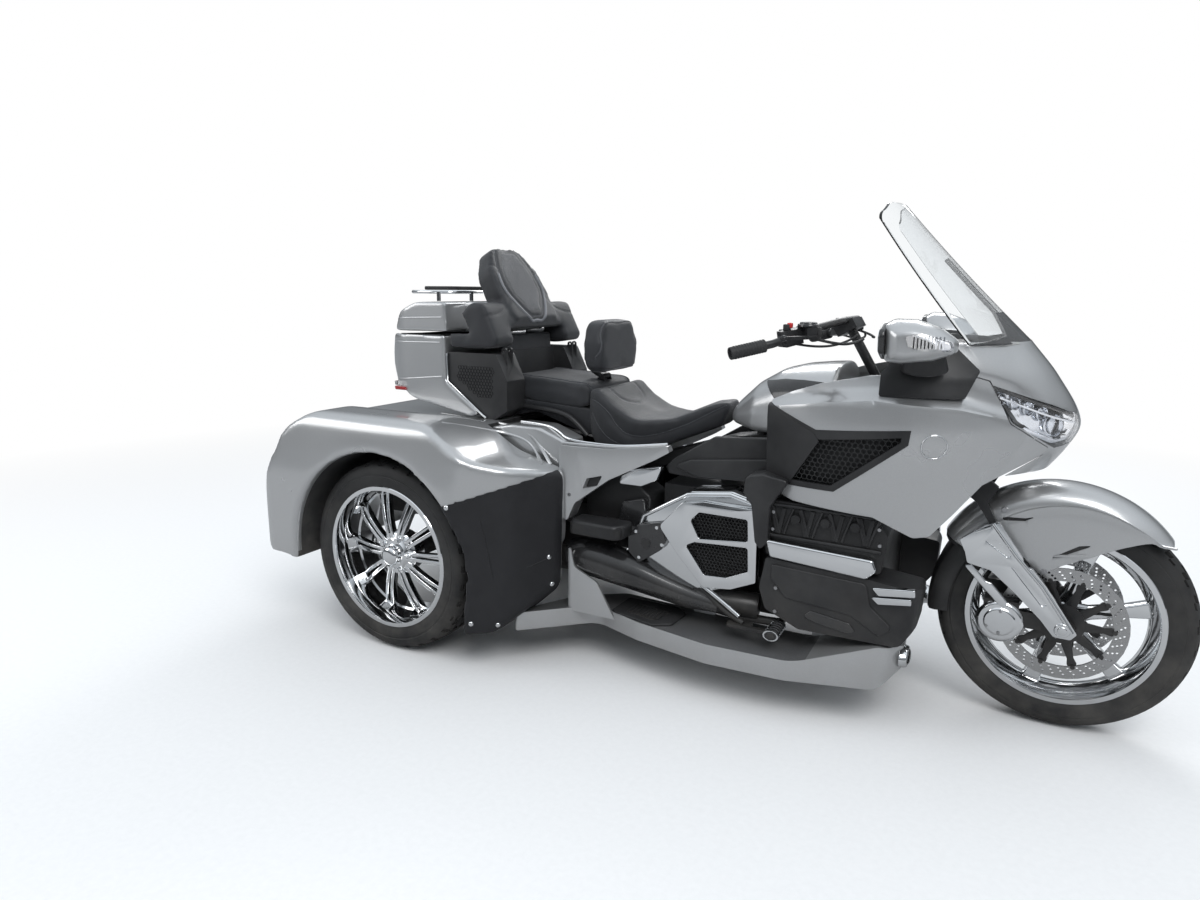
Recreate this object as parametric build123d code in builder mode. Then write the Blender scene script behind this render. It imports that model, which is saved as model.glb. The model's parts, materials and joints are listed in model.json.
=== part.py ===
import os
from math import cos, radians, sin, tan

from build123d import *

os.makedirs("parts", exist_ok=True)

# A motorized trike: two wheels behind under wide fenders, one steered wheel in front.
# X runs forward, Y to the rider's left and Z up, with the floor at Z 0. Millimetres.

# Wheels
wheelbase = 1970
front_axle_x = 1075
rear_axle_x = front_axle_x - wheelbase
front_tyre_radius = 320
front_tyre_width = 128
rear_tyre_radius = 325
rear_tyre_width = 214
rear_tyre_outer = 580
rim_radius = 236
rim_lip = 7
bead_gap = 0.3
bead_inset = 15
axle_radius = 12
axle_play = 0.05
spoke_pairs = 10
front_spokes = 6
hub_radius = 34
disc_radius = 158
disc_inner_radius = 104
disc_thickness = 5
disc_place = 76
moving_gap = 5
seat_gap = 0.4

# Steering
rake = 30.5
trail = 109
stem_radius = 18
stem_low = 738
stem_high = 838
leg_inner = 92
leg_thickness = 26
caliper_face = 119
bar_pivot_x = 500
bar_pivot_z = 1010
bar_radius = 11
grip_radius = 17

# Front fender
fender_centre_x = 1050
fender_centre_z = 375
fender_radius = 325
fender_half = 88
fender_wall = 4
guard_radius = 345
panel_reach = 91

# Rear body
body_front = -335
body_rear = -1435
bumper_radius = 11
bumper_height = 385
body_half = 636
deck_height = 768
shoulder_height = 798
crown_spare = 4
arch_radius = 360
arch_front = 348
tub_half = 345
tub_floor = 405
tub_wall = 8
skin = 5
wrap_skin = 3
door_half = 290
door_low = 420
door_high = 722
door_reach = 200
hinge_place = 200
hinge_radius = 4.5
hinge_pin = 2.5
tub_sill = -1370
tub_front = -640
rear_edge = body_rear - 20

# Top box, lid and seats
box_half = 288
box_seam = deck_height + 282
box_wall = 6
lid_top = box_seam + 110
rack_rise = 28
lid_pivot_x = -640
lid_pivot_z = box_seam - 50
lug_place = 220
lug_radius = 9
backrest_lean = 30
seat_half = 190
pillion_half = 168
post_pivot_x = -380
post_pivot_z = deck_height + 140.5
post_knuckle = 10
post_pin = 4

# Front cowl
cowl_wall = 4
cowl_seam = 0.3
screen_wall = 5

# Engine, frame rails and rear arms
engine_low = 230
engine_high = 600
engine_half = 190
rail_inner = 60
rail_outer = 100
arm_inner = 130

# Running boards
board_bottom = 130
board_top = 190
pad_height = 8


# It is drawn from the front axle back, and written with X 0 at the middle of its length
bumper_x = body_rear - bumper_radius - seat_gap
middle_x = (front_axle_x + front_tyre_radius + bumper_x - bumper_radius) / 2


def write(piece, name):
    """Label a finished piece and write it out, moved to the middle of the whole."""
    placed = piece.part.moved(Location((-middle_x, 0, 0)))
    placed.label = name
    export_step(placed, "parts/" + name + ".step")


def upright(distance):
    """The plane across Y at a distance to the rider's right, with X and Z as drawn."""
    return Plane.XZ.offset(distance)


def radial(x, z, angle):
    """A plane through a cross axle, with its own X pointing out at an angle."""
    turn = radians(angle)
    return Plane((x, 0, z), x_dir=(cos(turn), 0, sin(turn)), z_dir=(-sin(turn), 0, cos(turn)))


def cross_axis(x, z):
    """The axle line through a point, turning the front upwards."""
    return Axis((x, 0, z), (0, -1, 0))


# Tyres: crowned tread, bulged sidewalls, and beads that seat on the rim
def tyre(x, y, width, radius, crown):
    """A tyre round a cross axle at x and y, standing on the floor."""
    half = width / 2
    bead = rim_radius + bead_gap
    with BuildPart() as ring:
        with BuildSketch(Plane((x, y, radius))):
            with BuildLine():
                foot = Line((bead, half - bead_inset), (bead, bead_inset - half))
                near = ThreePointArc(foot @ 1, (bead + 42, -half), (bead + 64, 7 - half))
                tread = ThreePointArc(near @ 1, (radius - crown, 20 - half), (radius - 3, 40 - half))
                top = ThreePointArc(tread @ 1, (radius, 0), (radius - 3, half - 40))
                far = ThreePointArc(top @ 1, (radius - crown, half - 20), (bead + 64, half - 7))
                ThreePointArc(far @ 1, (bead + 42, half), foot @ 0)
            make_face()
        revolve(axis=Axis((x, y, radius), (0, 1, 0)))
    return ring


write(tyre(front_axle_x, 0, front_tyre_width, front_tyre_radius, 12), "front_tyre")


def rim_barrel(width):
    """Outline points of a rim's barrel as (radius, across), with a lip at each side."""
    edge = width / 2 - bead_inset + 0.6
    lip = edge + rim_lip
    well = edge - 30
    return [
        (rim_radius - 8, -lip - 5),
        (rim_radius + rim_lip, -lip - 5),
        (rim_radius + rim_lip, -lip),
        (rim_radius, -edge),
        (rim_radius - 16, -well),
        (rim_radius - 16, well),
        (rim_radius, edge),
        (rim_radius + rim_lip, lip),
        (rim_radius + rim_lip, lip + 5),
        (rim_radius - 8, lip + 5),
        (rim_radius - 24, well),
        (rim_radius - 24, -well),
    ]


with BuildPart() as front_rim:
    with BuildSketch(Plane((front_axle_x, 0, front_tyre_radius))):
        with BuildLine():
            Polyline(rim_barrel(front_tyre_width), close=True)
        make_face()
        with Locations(((axle_radius + axle_play + hub_radius) / 2, 0)):
            Rectangle(hub_radius - axle_radius - axle_play, 2 * disc_place)
    revolve(axis=Axis((front_axle_x, 0, front_tyre_radius), (0, 1, 0)))
    with BuildSketch(upright(0).shift_origin((front_axle_x, 0, front_tyre_radius))):
        with PolarLocations((hub_radius + rim_radius - 24) / 2, front_spokes, start_angle=15):
            Trapezoid(rim_radius - 24 - hub_radius + 8, 58, 84)
    extrude(amount=17, both=True)
write(front_rim, "front_rim")

with BuildPart() as front_discs:
    for side in (1, -1):
        face = side * disc_place
        with BuildSketch(Plane((front_axle_x, face, front_tyre_radius), x_dir=(1, 0, 0), z_dir=(0, side, 0))):
            Circle(disc_radius)
            Circle(disc_inner_radius, mode=Mode.SUBTRACT)
            with PolarLocations((disc_inner_radius + hub_radius) / 2, front_spokes):
                Rectangle(disc_inner_radius - axle_radius - 14, 18)
            Circle(hub_radius)
            Circle(axle_radius + 4, mode=Mode.SUBTRACT)
        extrude(amount=disc_thickness)
write(front_discs, "front_discs")

for side, name in ((1, "left"), (-1, "right")):
    centre = side * (rear_tyre_outer - rear_tyre_width / 2)
    write(tyre(rear_axle_x, centre, rear_tyre_width, rear_tyre_radius, 16), "rear_tyre_" + name)

    # Rear rim: deep outer lip, paired spokes and a long stepped cap
    with BuildPart() as rear_rim:
        with BuildSketch(Plane((rear_axle_x, centre, rear_tyre_radius))):
            with BuildLine():
                Polyline(rim_barrel(rear_tyre_width), close=True)
            make_face()
            with BuildLine():
                Polyline(
                    (0, side * 96),
                    (24, side * 94),
                    (32, side * 84),
                    (34, side * 60),
                    (66, side * 54),
                    (76, side * 44),
                    (76, side * 8),
                    (60, side * -20),
                    (axle_radius + axle_play, side * -20),
                    (axle_radius + axle_play, side * 50),
                    (0, side * 50),
                    close=True,
                )
            make_face()
        revolve(axis=Axis((rear_axle_x, centre, rear_tyre_radius), (0, 1, 0)))
        disc_face = Plane(
            (rear_axle_x, centre + side * 8, rear_tyre_radius), x_dir=(1, 0, 0), z_dir=(0, side, 0)
        )
        with BuildSketch(disc_face):
            with PolarLocations((60 + rim_radius - 20) / 2, spoke_pairs, start_angle=18):
                with GridLocations(0, 24, 1, 2):
                    Rectangle(rim_radius - 20 - 60, 13)
        extrude(amount=28)
    write(rear_rim, "rear_rim_" + name)

# Fork: two legs beside the wheel, joined over it, with the axle and the steering stem
steer_foot = front_axle_x + trail
steer_slope = tan(radians(rake))
stem_plane = Plane(
    (steer_foot - stem_low * steer_slope, 0, stem_low),
    x_dir=(cos(radians(rake)), 0, sin(radians(rake))),
    z_dir=(-sin(radians(rake)), 0, cos(radians(rake))),
)
leg_outline = [
    (1044, 290), (1106, 290), (1112, 352), (905, 672), (820, 738), (752, 736), (752, 700), (838, 640), (1010, 380),
]
with BuildPart() as fork:
    for place in (leg_inner, -leg_inner - leg_thickness):
        with BuildSketch(upright(place)):
            with BuildLine():
                FilletPolyline(leg_outline, radius=14, close=True)
            make_face()
        extrude(amount=leg_thickness)
    with BuildSketch(upright(-leg_inner)):
        with BuildLine():
            Polyline((752, 704), (752, 736), (812, 736), (824, 718), (806, 704), close=True)
        make_face()
    extrude(amount=2 * leg_inner)
    with BuildSketch(stem_plane.offset(-6)):
        Circle(stem_radius)
    extrude(amount=(stem_high - stem_low) / cos(radians(rake)) + 6)
    with BuildSketch(upright(-leg_inner - leg_thickness - 10)):
        with Locations((front_axle_x, front_tyre_radius)):
            Circle(axle_radius)
    extrude(amount=2 * (leg_inner + leg_thickness + 10))
    # Calipers straddle the discs behind the axle
    for side in (1, -1):
        with BuildSketch(Plane.XY.offset(front_tyre_radius - 40)):
            with Locations((front_axle_x - 150, side * (caliper_face - 31))):
                Rectangle(88, 62)
            with Locations((front_axle_x - 134, side * (disc_place + disc_thickness / 2))):
                Rectangle(60, disc_thickness + 2 * moving_gap, mode=Mode.SUBTRACT)
        extrude(amount=92)
        with BuildSketch(upright(-side * 105).offset(-10)):
            with Locations((front_axle_x - 88, front_tyre_radius + 6)):
                Rectangle(80, 46)
        extrude(amount=20)
write(fork, "fork")

# Chrome fork covers: a broad blade narrowing to the axle, with a recess, and a round cover on the caliper
cover_outline = [
    (804, 530), (826, 470), (889, 458), (947, 412), (1021, 340), (1058, 296), (1096, 298), (1108, 318), (1026, 432),
    (962, 505), (896, 596), (868, 584),
]
cover_recess = [(851, 524), (912, 522), (946, 490), (948, 472), (900, 476)]
with BuildPart() as fork_covers:
    with BuildSketch(upright(leg_inner + leg_thickness + seat_gap)):
        with BuildLine():
            FilletPolyline(cover_outline, radius=8, close=True)
        make_face()
    extrude(amount=16)
    with BuildSketch(upright(leg_inner + leg_thickness + 12)):
        with BuildLine():
            FilletPolyline(cover_recess, radius=5, close=True)
        make_face()
    extrude(amount=10, mode=Mode.SUBTRACT)
    with BuildSketch(upright(caliper_face + seat_gap)):
        with Locations((front_axle_x - 150, front_tyre_radius - 10)):
            Circle(64)
            Rectangle(64, 140, align=(Align.MAX, Align.CENTER), mode=Mode.SUBTRACT)
        with Locations((front_axle_x - 150, front_tyre_radius + 4)):
            Rectangle(40, 84, align=(Align.MAX, Align.CENTER))
    extrude(amount=9)
    mirror(about=Plane.XZ)
    with BuildSketch(upright(0)):
        with Locations((front_axle_x, front_tyre_radius)):
            Circle(axle_radius + 1)
    extrude(amount=leg_inner + leg_thickness + 11, both=True, mode=Mode.SUBTRACT)
write(fork_covers, "fork_covers")


def fender_ring(x, z, radius, half, skirt, start, arc):
    """A crowned fender shell round a cross axle, from a start angle over an arc."""
    with BuildPart() as shell:
        with BuildSketch(radial(x, z, start)):
            with BuildLine():
                crown = ThreePointArc((radius - 22, half), (radius, 0), (radius - 22, -half))
                right = Line(crown @ 1, (radius - skirt, -half))
                right_foot = Line(right @ 1, (radius - skirt, fender_wall - half))
                right_in = Line(right_foot @ 1, (radius - 22 - fender_wall, fender_wall - half))
                inner = ThreePointArc(
                    right_in @ 1, (radius - fender_wall, 0), (radius - 22 - fender_wall, half - fender_wall)
                )
                left_in = Line(inner @ 1, (radius - skirt, half - fender_wall))
                left_foot = Line(left_in @ 1, (radius - skirt, half))
                Line(left_foot @ 1, crown @ 0)
            make_face()
        revolve(axis=cross_axis(x, z), revolution_arc=arc)
    return shell


panel_outline = [(1252, 572), (1120, 514), (1014, 440), (944, 480), (876, 596), (930, 630), (1050, 652), (1180, 618)]
panel_vent = [(1026, 500), (1092, 546), (1120, 552), (1056, 510)]
front_shell = fender_ring(fender_centre_x, fender_centre_z, fender_radius, fender_half, 74, 38, 114)
rear_shell = fender_ring(
    front_axle_x, front_tyre_radius, guard_radius, fender_half - fender_wall - 0.3, 60, 128, 56
)
with BuildPart() as front_fender:
    add(front_shell.part)
    add(rear_shell.part)
    # A vented panel on each side reaches down to the fork, with a boss that bolts it to the leg
    for side in (1, -1):
        with BuildSketch(Plane((0, side * (fender_half - 2), 0), x_dir=(1, 0, 0), z_dir=(0, side, 0))):
            with BuildLine():
                FilletPolyline(
                    *[(x, side * -z) for x, z in panel_outline], radius=[8, 30, 20, 10, 6, 6, 6, 6], close=True
                )
            make_face()
            with BuildLine():
                Polyline([(x, side * -z) for x, z in panel_vent], close=True)
            make_face(mode=Mode.SUBTRACT)
        extrude(amount=panel_reach - fender_half + 2)
        with BuildSketch(Plane((908, side * (fender_half - 1), 600), x_dir=(1, 0, 0), z_dir=(0, side, 0))):
            Circle(13)
        extrude(amount=leg_inner - seat_gap - fender_half + 1)
write(front_fender, "front_fender")

# Handlebar: one bent tube on a short stem, with switch boxes and levers
bar_points = [
    (232, -452, 1042), (320, -376, 1066), (388, -262, 1100), (446, -110, 1122),
    (446, 110, 1122), (388, 262, 1100), (320, 376, 1066), (232, 452, 1042),
]
bar_direction = (-sin(radians(rake)), 0, cos(radians(rake)))
bar_plane = Plane(
    (bar_pivot_x, 0, bar_pivot_z), x_dir=(cos(radians(rake)), 0, sin(radians(rake))), z_dir=bar_direction
)
grip_plane = Plane(
    (232, -452, 1042), x_dir=(0, 0, 1), z_dir=(320 - 232, -376 + 452, 1066 - 1042)
)
with BuildPart() as handlebar:
    with BuildLine():
        path = FilletPolyline(bar_points, radius=60)
    with BuildSketch(grip_plane):
        Circle(bar_radius)
    sweep(path=path)
    with BuildSketch(bar_plane.offset(-110)):
        Circle(stem_radius - 4)
    extrude(amount=215)
    with BuildSketch(bar_plane.offset(92)):
        Rectangle(60, 150)
    extrude(amount=30)
    for side in (1, -1):
        with BuildSketch(Plane((352, side * 322, 1082), x_dir=(0, 0, 1), z_dir=(0.6, -side * 0.78, 0.2))):
            Rectangle(42, 38)
        extrude(amount=28, both=True)
        with BuildSketch(Plane.XY.offset(1080)):
            with BuildLine():
                Polyline(
                    (400, side * 318), (412, side * 300), (428, side * 330), (372, side * 432),
                    (356, side * 440), (362, side * 424), close=True,
                )
            make_face()
        extrude(amount=9)
        with BuildSketch(Plane.XY.offset(1078)):
            with BuildLine():
                Polyline(
                    (358, side * 290), (392, side * 262), (430, side * 300), (424, side * 322),
                    (398, side * 326), close=True,
                )
            make_face()
        extrude(amount=32)
write(handlebar, "handlebar")

with BuildPart() as grips:
    for side in (1, -1):
        with BuildSketch(
            Plane((232, side * 452, 1042), x_dir=(0, 0, 1), z_dir=(88, -side * 76, 24)).offset(-4)
        ):
            Circle(grip_radius)
            Circle(bar_radius + seat_gap / 4, mode=Mode.SUBTRACT)
        extrude(amount=100)
write(grips, "grips")


# Rear body: the side, plan and end profiles of one moulded tub with wide fenders
crown_top = shoulder_height + crown_spare
side_points = [
    (-1320, 285, 30), (body_rear + 22, 288, 40), (body_rear, 385, 90), (-1392, 560, 200), (-1300, crown_top - 70, 90),
    (-1180, crown_top, 150), (-705, crown_top, 170), (-520, 690, 130), (body_front, 640, 30),
    (body_front - 10, 262, 60), (-478, 142, 30), (-560, 142, 10),
]
plan_half = body_half + crown_spare
plan_points = [
    (body_front + crown_spare, -375, 70), (-430, -532, 120), (-572, -plan_half, 110), (body_rear - 2, -plan_half, 94),
]
end_points = [
    (-body_half, 120, 0), (-body_half, 600, 220), (26 - body_half, shoulder_height, 52),
    (-420, shoulder_height, 160), (-330, deck_height, 100),
]


def mirrored_outline(points):
    """Points down one side and back up the other, as (along, across, radius)."""
    return points + [(x, -y, r) for x, y, r in reversed(points)]


def body_solid(grow):
    """The whole rear body, with its profiles moved outwards by grow."""
    plan = mirrored_outline(plan_points)
    end = end_points + [(-y, z, r) for y, z, r in reversed(end_points)]
    with BuildPart() as solid:
        with BuildSketch(upright(0)):
            with BuildLine():
                FilletPolyline([p[:2] for p in side_points], radius=[p[2] for p in side_points], close=True)
            make_face()
            if grow:
                offset(amount=grow)
        extrude(amount=body_half + 20, both=True)
        with BuildSketch(Plane.XY):
            with BuildLine():
                FilletPolyline([p[:2] for p in plan], radius=[p[2] for p in plan], close=True)
            make_face()
            if grow:
                offset(amount=grow)
        extrude(amount=1000, mode=Mode.INTERSECT)
        with BuildSketch(Plane.YZ):
            with BuildLine():
                FilletPolyline([p[:2] for p in end], radius=[p[2] for p in end], close=True)
            make_face()
            if grow:
                offset(amount=grow)
        extrude(amount=2000, both=True, mode=Mode.INTERSECT)
    return solid.part


body_outer = body_solid(0)
body_inner = body_solid(-skin)
with BuildPart() as tub_space:
    add(body_solid(-tub_wall))
    with BuildSketch(Plane.XY.offset(tub_floor + tub_wall)):
        with Locations(((tub_sill + tub_front) / 2, 0)):
            Rectangle(tub_front - tub_sill, 2 * (tub_half - tub_wall))
    extrude(amount=500, mode=Mode.INTERSECT)
with BuildPart() as wells:
    add(body_inner)
    with BuildSketch(Plane.XY):
        Rectangle(4000, 2 * tub_half)
    extrude(amount=1000, mode=Mode.SUBTRACT)
door_pivot_z = door_high + moving_gap
door_pivot_x = (body_outer & Edge.make_line((rear_edge, 0, door_pivot_z), (0, 0, door_pivot_z))).bounding_box().min.X


def hinge_line(y):
    """A plane across the boot door's hinge, at a distance to the left."""
    return Plane((door_pivot_x, y, door_pivot_z), x_dir=(1, 0, 0), z_dir=(0, 1, 0))


with BuildPart() as rear_body:
    add(body_outer)
    add(wells.part, mode=Mode.SUBTRACT)
    # Wheel arches through each side
    for place in (tub_half, -body_half - 20):
        with BuildSketch(upright(place)):
            with Locations((rear_axle_x, rear_tyre_radius)):
                Circle(arch_radius)
            with Locations((rear_axle_x + (arch_front - arch_radius) / 2, rear_tyre_radius - 150)):
                Rectangle(arch_front + arch_radius, 300)
        extrude(amount=body_half + 20 - tub_half, mode=Mode.SUBTRACT)
    # Open below for the axle, and in front for the seat and frame
    with BuildSketch(Plane.XY):
        with Locations((-780, 0)):
            Rectangle(960, 2 * tub_half + 2)
    extrude(amount=tub_floor, mode=Mode.SUBTRACT)
    with BuildSketch(Plane.XY):
        with Locations((-440, 0)):
            Rectangle(400, 2 * (tub_half - skin))
    extrude(amount=1000, mode=Mode.SUBTRACT)
    add(tub_space.part, mode=Mode.SUBTRACT)
    with BuildSketch(Plane.YZ.offset(rear_edge)):
        with Locations((0, (door_low + door_high) / 2)):
            RectangleRounded(2 * (door_half + moving_gap), door_high - door_low + 2 * moving_gap, 26)
    extrude(amount=door_reach, mode=Mode.SUBTRACT)
    # Two hinges: a notch for the door's knuckle, between two ears
    for place in (hinge_place, -hinge_place):
        with BuildSketch(hinge_line(place - 10.5)):
            Circle(hinge_radius + 1)
        extrude(amount=21, mode=Mode.SUBTRACT)
        for ear in (place - 20, place + 10.5):
            with BuildSketch(hinge_line(ear)):
                Circle(hinge_radius)
                Circle(hinge_pin + axle_play, mode=Mode.SUBTRACT)
            extrude(amount=9.5)
            with BuildSketch(hinge_line(ear - 1)):
                Circle(hinge_pin + axle_play)
            extrude(amount=12, mode=Mode.SUBTRACT)
write(rear_body, "rear_body")

# Boot door: the tub's own rear skin, hinged along its top edge
with BuildPart() as boot_door:
    add(body_outer)
    add(body_solid(-tub_wall), mode=Mode.SUBTRACT)
    with BuildSketch(Plane.YZ.offset(rear_edge)):
        with Locations((0, (door_low + door_high) / 2)):
            RectangleRounded(2 * door_half, door_high - door_low, 22)
    extrude(amount=door_reach, mode=Mode.INTERSECT)
    for place in (hinge_place, -hinge_place):
        with BuildSketch(hinge_line(place - 10)):
            Circle(hinge_radius)
            with Locations((-2.5, 8)):
                Rectangle(4, 16)
        extrude(amount=20)
        with BuildSketch(hinge_line(place - 19)):
            Circle(hinge_pin)
        extrude(amount=38)
write(boot_door, "boot_door")

# Fender wraps: thin covers over the front of each fender
wrap_zone = [(-660, 535), (-560, 562), (-400, 628), (-250, 632), (-250, 100), (-660, 100)]
with BuildPart() as fender_wraps:
    add(body_solid(seat_gap + wrap_skin))
    add(body_solid(seat_gap), mode=Mode.SUBTRACT)
    with BuildSketch(upright(0)):
        with BuildLine():
            Polyline(wrap_zone, close=True)
        make_face()
        with Locations((rear_axle_x, rear_tyre_radius)):
            Circle(arch_radius, mode=Mode.SUBTRACT)
        with Locations((rear_axle_x + (arch_front - arch_radius) / 2, rear_tyre_radius - 150)):
            Rectangle(arch_front + arch_radius, 300, mode=Mode.SUBTRACT)
    extrude(amount=body_half + 20, both=True, mode=Mode.INTERSECT)
    with BuildSketch(Plane.XY):
        Rectangle(4000, 2 * (tub_half + 20))
    extrude(amount=1000, mode=Mode.SUBTRACT)
write(fender_wraps, "fender_wraps")

# Rear axle: housing across the car, its arms, and the spindles that carry the wheels
with BuildPart() as rear_axle:
    hub_face = rear_tyre_outer - rear_tyre_width / 2 - 20 - moving_gap
    with BuildSketch(upright(-hub_face)):
        with Locations((rear_axle_x, rear_tyre_radius)):
            Circle(42)
    extrude(amount=2 * hub_face)
    with BuildSketch(upright(-hub_face - 60)):
        with Locations((rear_axle_x, rear_tyre_radius)):
            Circle(axle_radius)
    extrude(amount=2 * hub_face + 120)
    with BuildSketch(upright(-110)):
        with Locations((rear_axle_x, rear_tyre_radius)):
            Circle(74)
    extrude(amount=220)
    for place in (arm_inner, -arm_inner - 60):
        with BuildSketch(upright(place)):
            with BuildLine():
                FilletPolyline(
                    (-930, 290), (-860, 290), (-300, 330), (-256, 350), (-256, 400), (-300, 416), (-860, 366), (-930, 360),
                    radius=18, close=True,
                )
            make_face()
        extrude(amount=60)
write(rear_axle, "rear_axle")

# Rear bumper: a tube across the tail on two stays, with ball ends
with BuildPart() as rear_bumper:
    with BuildSketch(upright(-520)):
        with Locations((bumper_x, bumper_height)):
            Circle(bumper_radius)
    extrude(amount=1040)
    for side in (1, -1):
        with Locations((bumper_x, side * 520, bumper_height)):
            Sphere(bumper_radius)
        with Locations((bumper_x + 20, side * 400, bumper_height - 6)):
            Box(40, 44, 24)
    add(body_solid(seat_gap), mode=Mode.SUBTRACT)
write(rear_bumper, "rear_bumper")

with BuildPart() as tail_lamps:
    add(body_solid(12))
    with BuildSketch(Plane.YZ.offset(rear_edge)):
        with Locations((-480, 590), (480, 590)):
            SlotOverall(190, 62, rotation=90)
    extrude(amount=110, mode=Mode.INTERSECT)
    add(body_solid(seat_gap), mode=Mode.SUBTRACT)
write(tail_lamps, "tail_lamps")

# Top box: a hollow base under a lid that carries the backrest


def above_deck(points):
    """Outline points with their heights counted from the deck."""
    return [(x, deck_height + height, radius) for x, height, radius in points]


box_front = -852
box_points = above_deck([
    (-1142, 182, 20), (-1104, 282, 8), (box_front, 282, 6), (box_front, 116, 20), (-706, 10, 8),
    (-748, seat_gap, 6), (-1000, 47, 120), (-1092, 100, 20),
])
lid_low = box_seam + moving_gap
lid_points = [(-1102, lid_low, 8), (-1066, lid_top - 32, 40), (-985, lid_top, 90), (-800, lid_top, 12), (-736, lid_low, 4)]


def box_solid(points, half, grow):
    """A top box section: its side outline, narrowed and rounded in plan."""
    plan = mirrored_outline([(-1148, -half + 60, 70), (-1060, -half, 120), (-600, -half + 8, 0)])
    with BuildPart() as solid:
        with BuildSketch(upright(0)):
            with BuildLine():
                FilletPolyline([p[:2] for p in points], radius=[p[2] for p in points], close=True)
            make_face()
            if grow:
                offset(amount=grow)
        extrude(amount=half + 10, both=True)
        with BuildSketch(Plane.XY):
            with BuildLine():
                FilletPolyline([p[:2] for p in plan], radius=[p[2] for p in plan], close=True)
            make_face()
            if grow:
                offset(amount=grow)
        extrude(amount=1400, mode=Mode.INTERSECT)
    return solid.part


def box_room(points, half, spare):
    """The room inside a top box section, left open where its outline is drawn past the seam by spare."""
    opened = [(x, z + spare if abs(z - box_seam) <= moving_gap else z, r) for x, z, r in points]
    with BuildPart() as room:
        add(box_solid(opened, half, -box_wall))
        with BuildSketch(Plane.XY.offset(deck_height - 68)):
            with Locations((box_front - box_wall, 0)):
                Rectangle(600, 2 * half, align=(Align.MAX, Align.CENTER))
        extrude(amount=600, mode=Mode.INTERSECT)
    return room.part


with BuildPart() as top_box:
    add(box_solid(box_points, box_half, 0))
    add(box_room(box_points, box_half, 4 * box_wall), mode=Mode.SUBTRACT)
write(top_box, "top_box")

with BuildPart() as box_lid:
    add(box_solid(lid_points, box_half - 4, 0))
    add(box_room(lid_points, box_half - 4, -4 * box_wall), mode=Mode.SUBTRACT)
    # The backrest wings pass on each side of the narrow front
    with BuildSketch(Plane.XY.offset(box_seam - 50)):
        with Locations((-740, 0)):
            Rectangle(208, 800)
            Rectangle(210, 2 * 168, mode=Mode.SUBTRACT)
    extrude(amount=300, mode=Mode.SUBTRACT)
write(box_lid, "box_lid")

lean = radians(backrest_lean)
back_plane = Plane((-714, 0, box_seam + 6), x_dir=(0, 1, 0), z_dir=(cos(lean), 0, sin(lean)))
with BuildPart() as backrest:
    with BuildSketch(back_plane.offset(seat_gap)):
        with BuildLine():
            FilletPolyline(
                (-140, 4), (-166, 120), (-158, 210), (-84, 306), (84, 306), (158, 210), (166, 120), (140, 4),
                radius=[20, 60, 60, 50, 50, 60, 60, 20], close=True,
            )
        make_face()
    extrude(amount=86)
    with BuildSketch(upright(0)):
        with BuildLine():
            FilletPolyline(
                (-838, box_seam + 34), (-838, box_seam - 46), (-642, box_seam - 46), (-628, box_seam - 20),
                (-690, lid_top + 4), (-742, lid_top + 6), radius=14, close=True,
            )
        make_face()
    extrude(amount=box_half + 8, both=True)
    with BuildSketch(Plane.XY.offset(box_seam - 150)):
        with Locations((-800, 0)):
            Rectangle(799, 2 * 170)
    extrude(amount=160, mode=Mode.SUBTRACT)
    add(box_solid(lid_points, box_half - 4, seat_gap), mode=Mode.SUBTRACT)
    # A notch in each wing, with the lug that turns on the pod's pin
    for side in (1, -1):
        with BuildSketch(Plane((lid_pivot_x, side * (lug_place - 20), lid_pivot_z), x_dir=(1, 0, 0), z_dir=(0, side, 0))):
            Circle(lug_radius + moving_gap)
        extrude(amount=40, mode=Mode.SUBTRACT)
        with BuildSketch(Plane((lid_pivot_x, side * (lug_place - 8), lid_pivot_z), x_dir=(1, 0, 0), z_dir=(0, side, 0))):
            Circle(lug_radius)
            with Locations(Location((-8, -side * 8), side * 45)):
                Rectangle(24, 12)
        extrude(amount=16)
        with BuildSketch(Plane((lid_pivot_x, side * (lug_place - 20), lid_pivot_z), x_dir=(1, 0, 0), z_dir=(0, side, 0))):
            Circle(post_pin)
        extrude(amount=40)
write(backrest, "backrest")

# Luggage rack: a tube ring on four feet, over the lid
with BuildPart() as luggage_rack:
    with BuildSketch(Plane.XY.offset(lid_top + rack_rise)):
        with Locations((-1012, 0)):
            RectangleRounded(250, 380, 60)
            RectangleRounded(226, 356, 48, mode=Mode.SUBTRACT)
        with Locations((-1012, -70), (-1012, 70)):
            Rectangle(230, 10)
    extrude(amount=12)
    with BuildSketch(Plane.XY.offset(lid_top + seat_gap)):
        with Locations((-960, -184), (-960, 184), (-900, -70), (-900, 70)):
            Circle(8)
    extrude(amount=rack_rise + 2 - seat_gap)
    with BuildSketch(Plane.XY.offset(lid_top + rack_rise + 12)):
        with Locations((-1012, 0)):
            RectangleRounded(150, 250, 30)
    extrude(amount=14)
write(luggage_rack, "luggage_rack")

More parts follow.
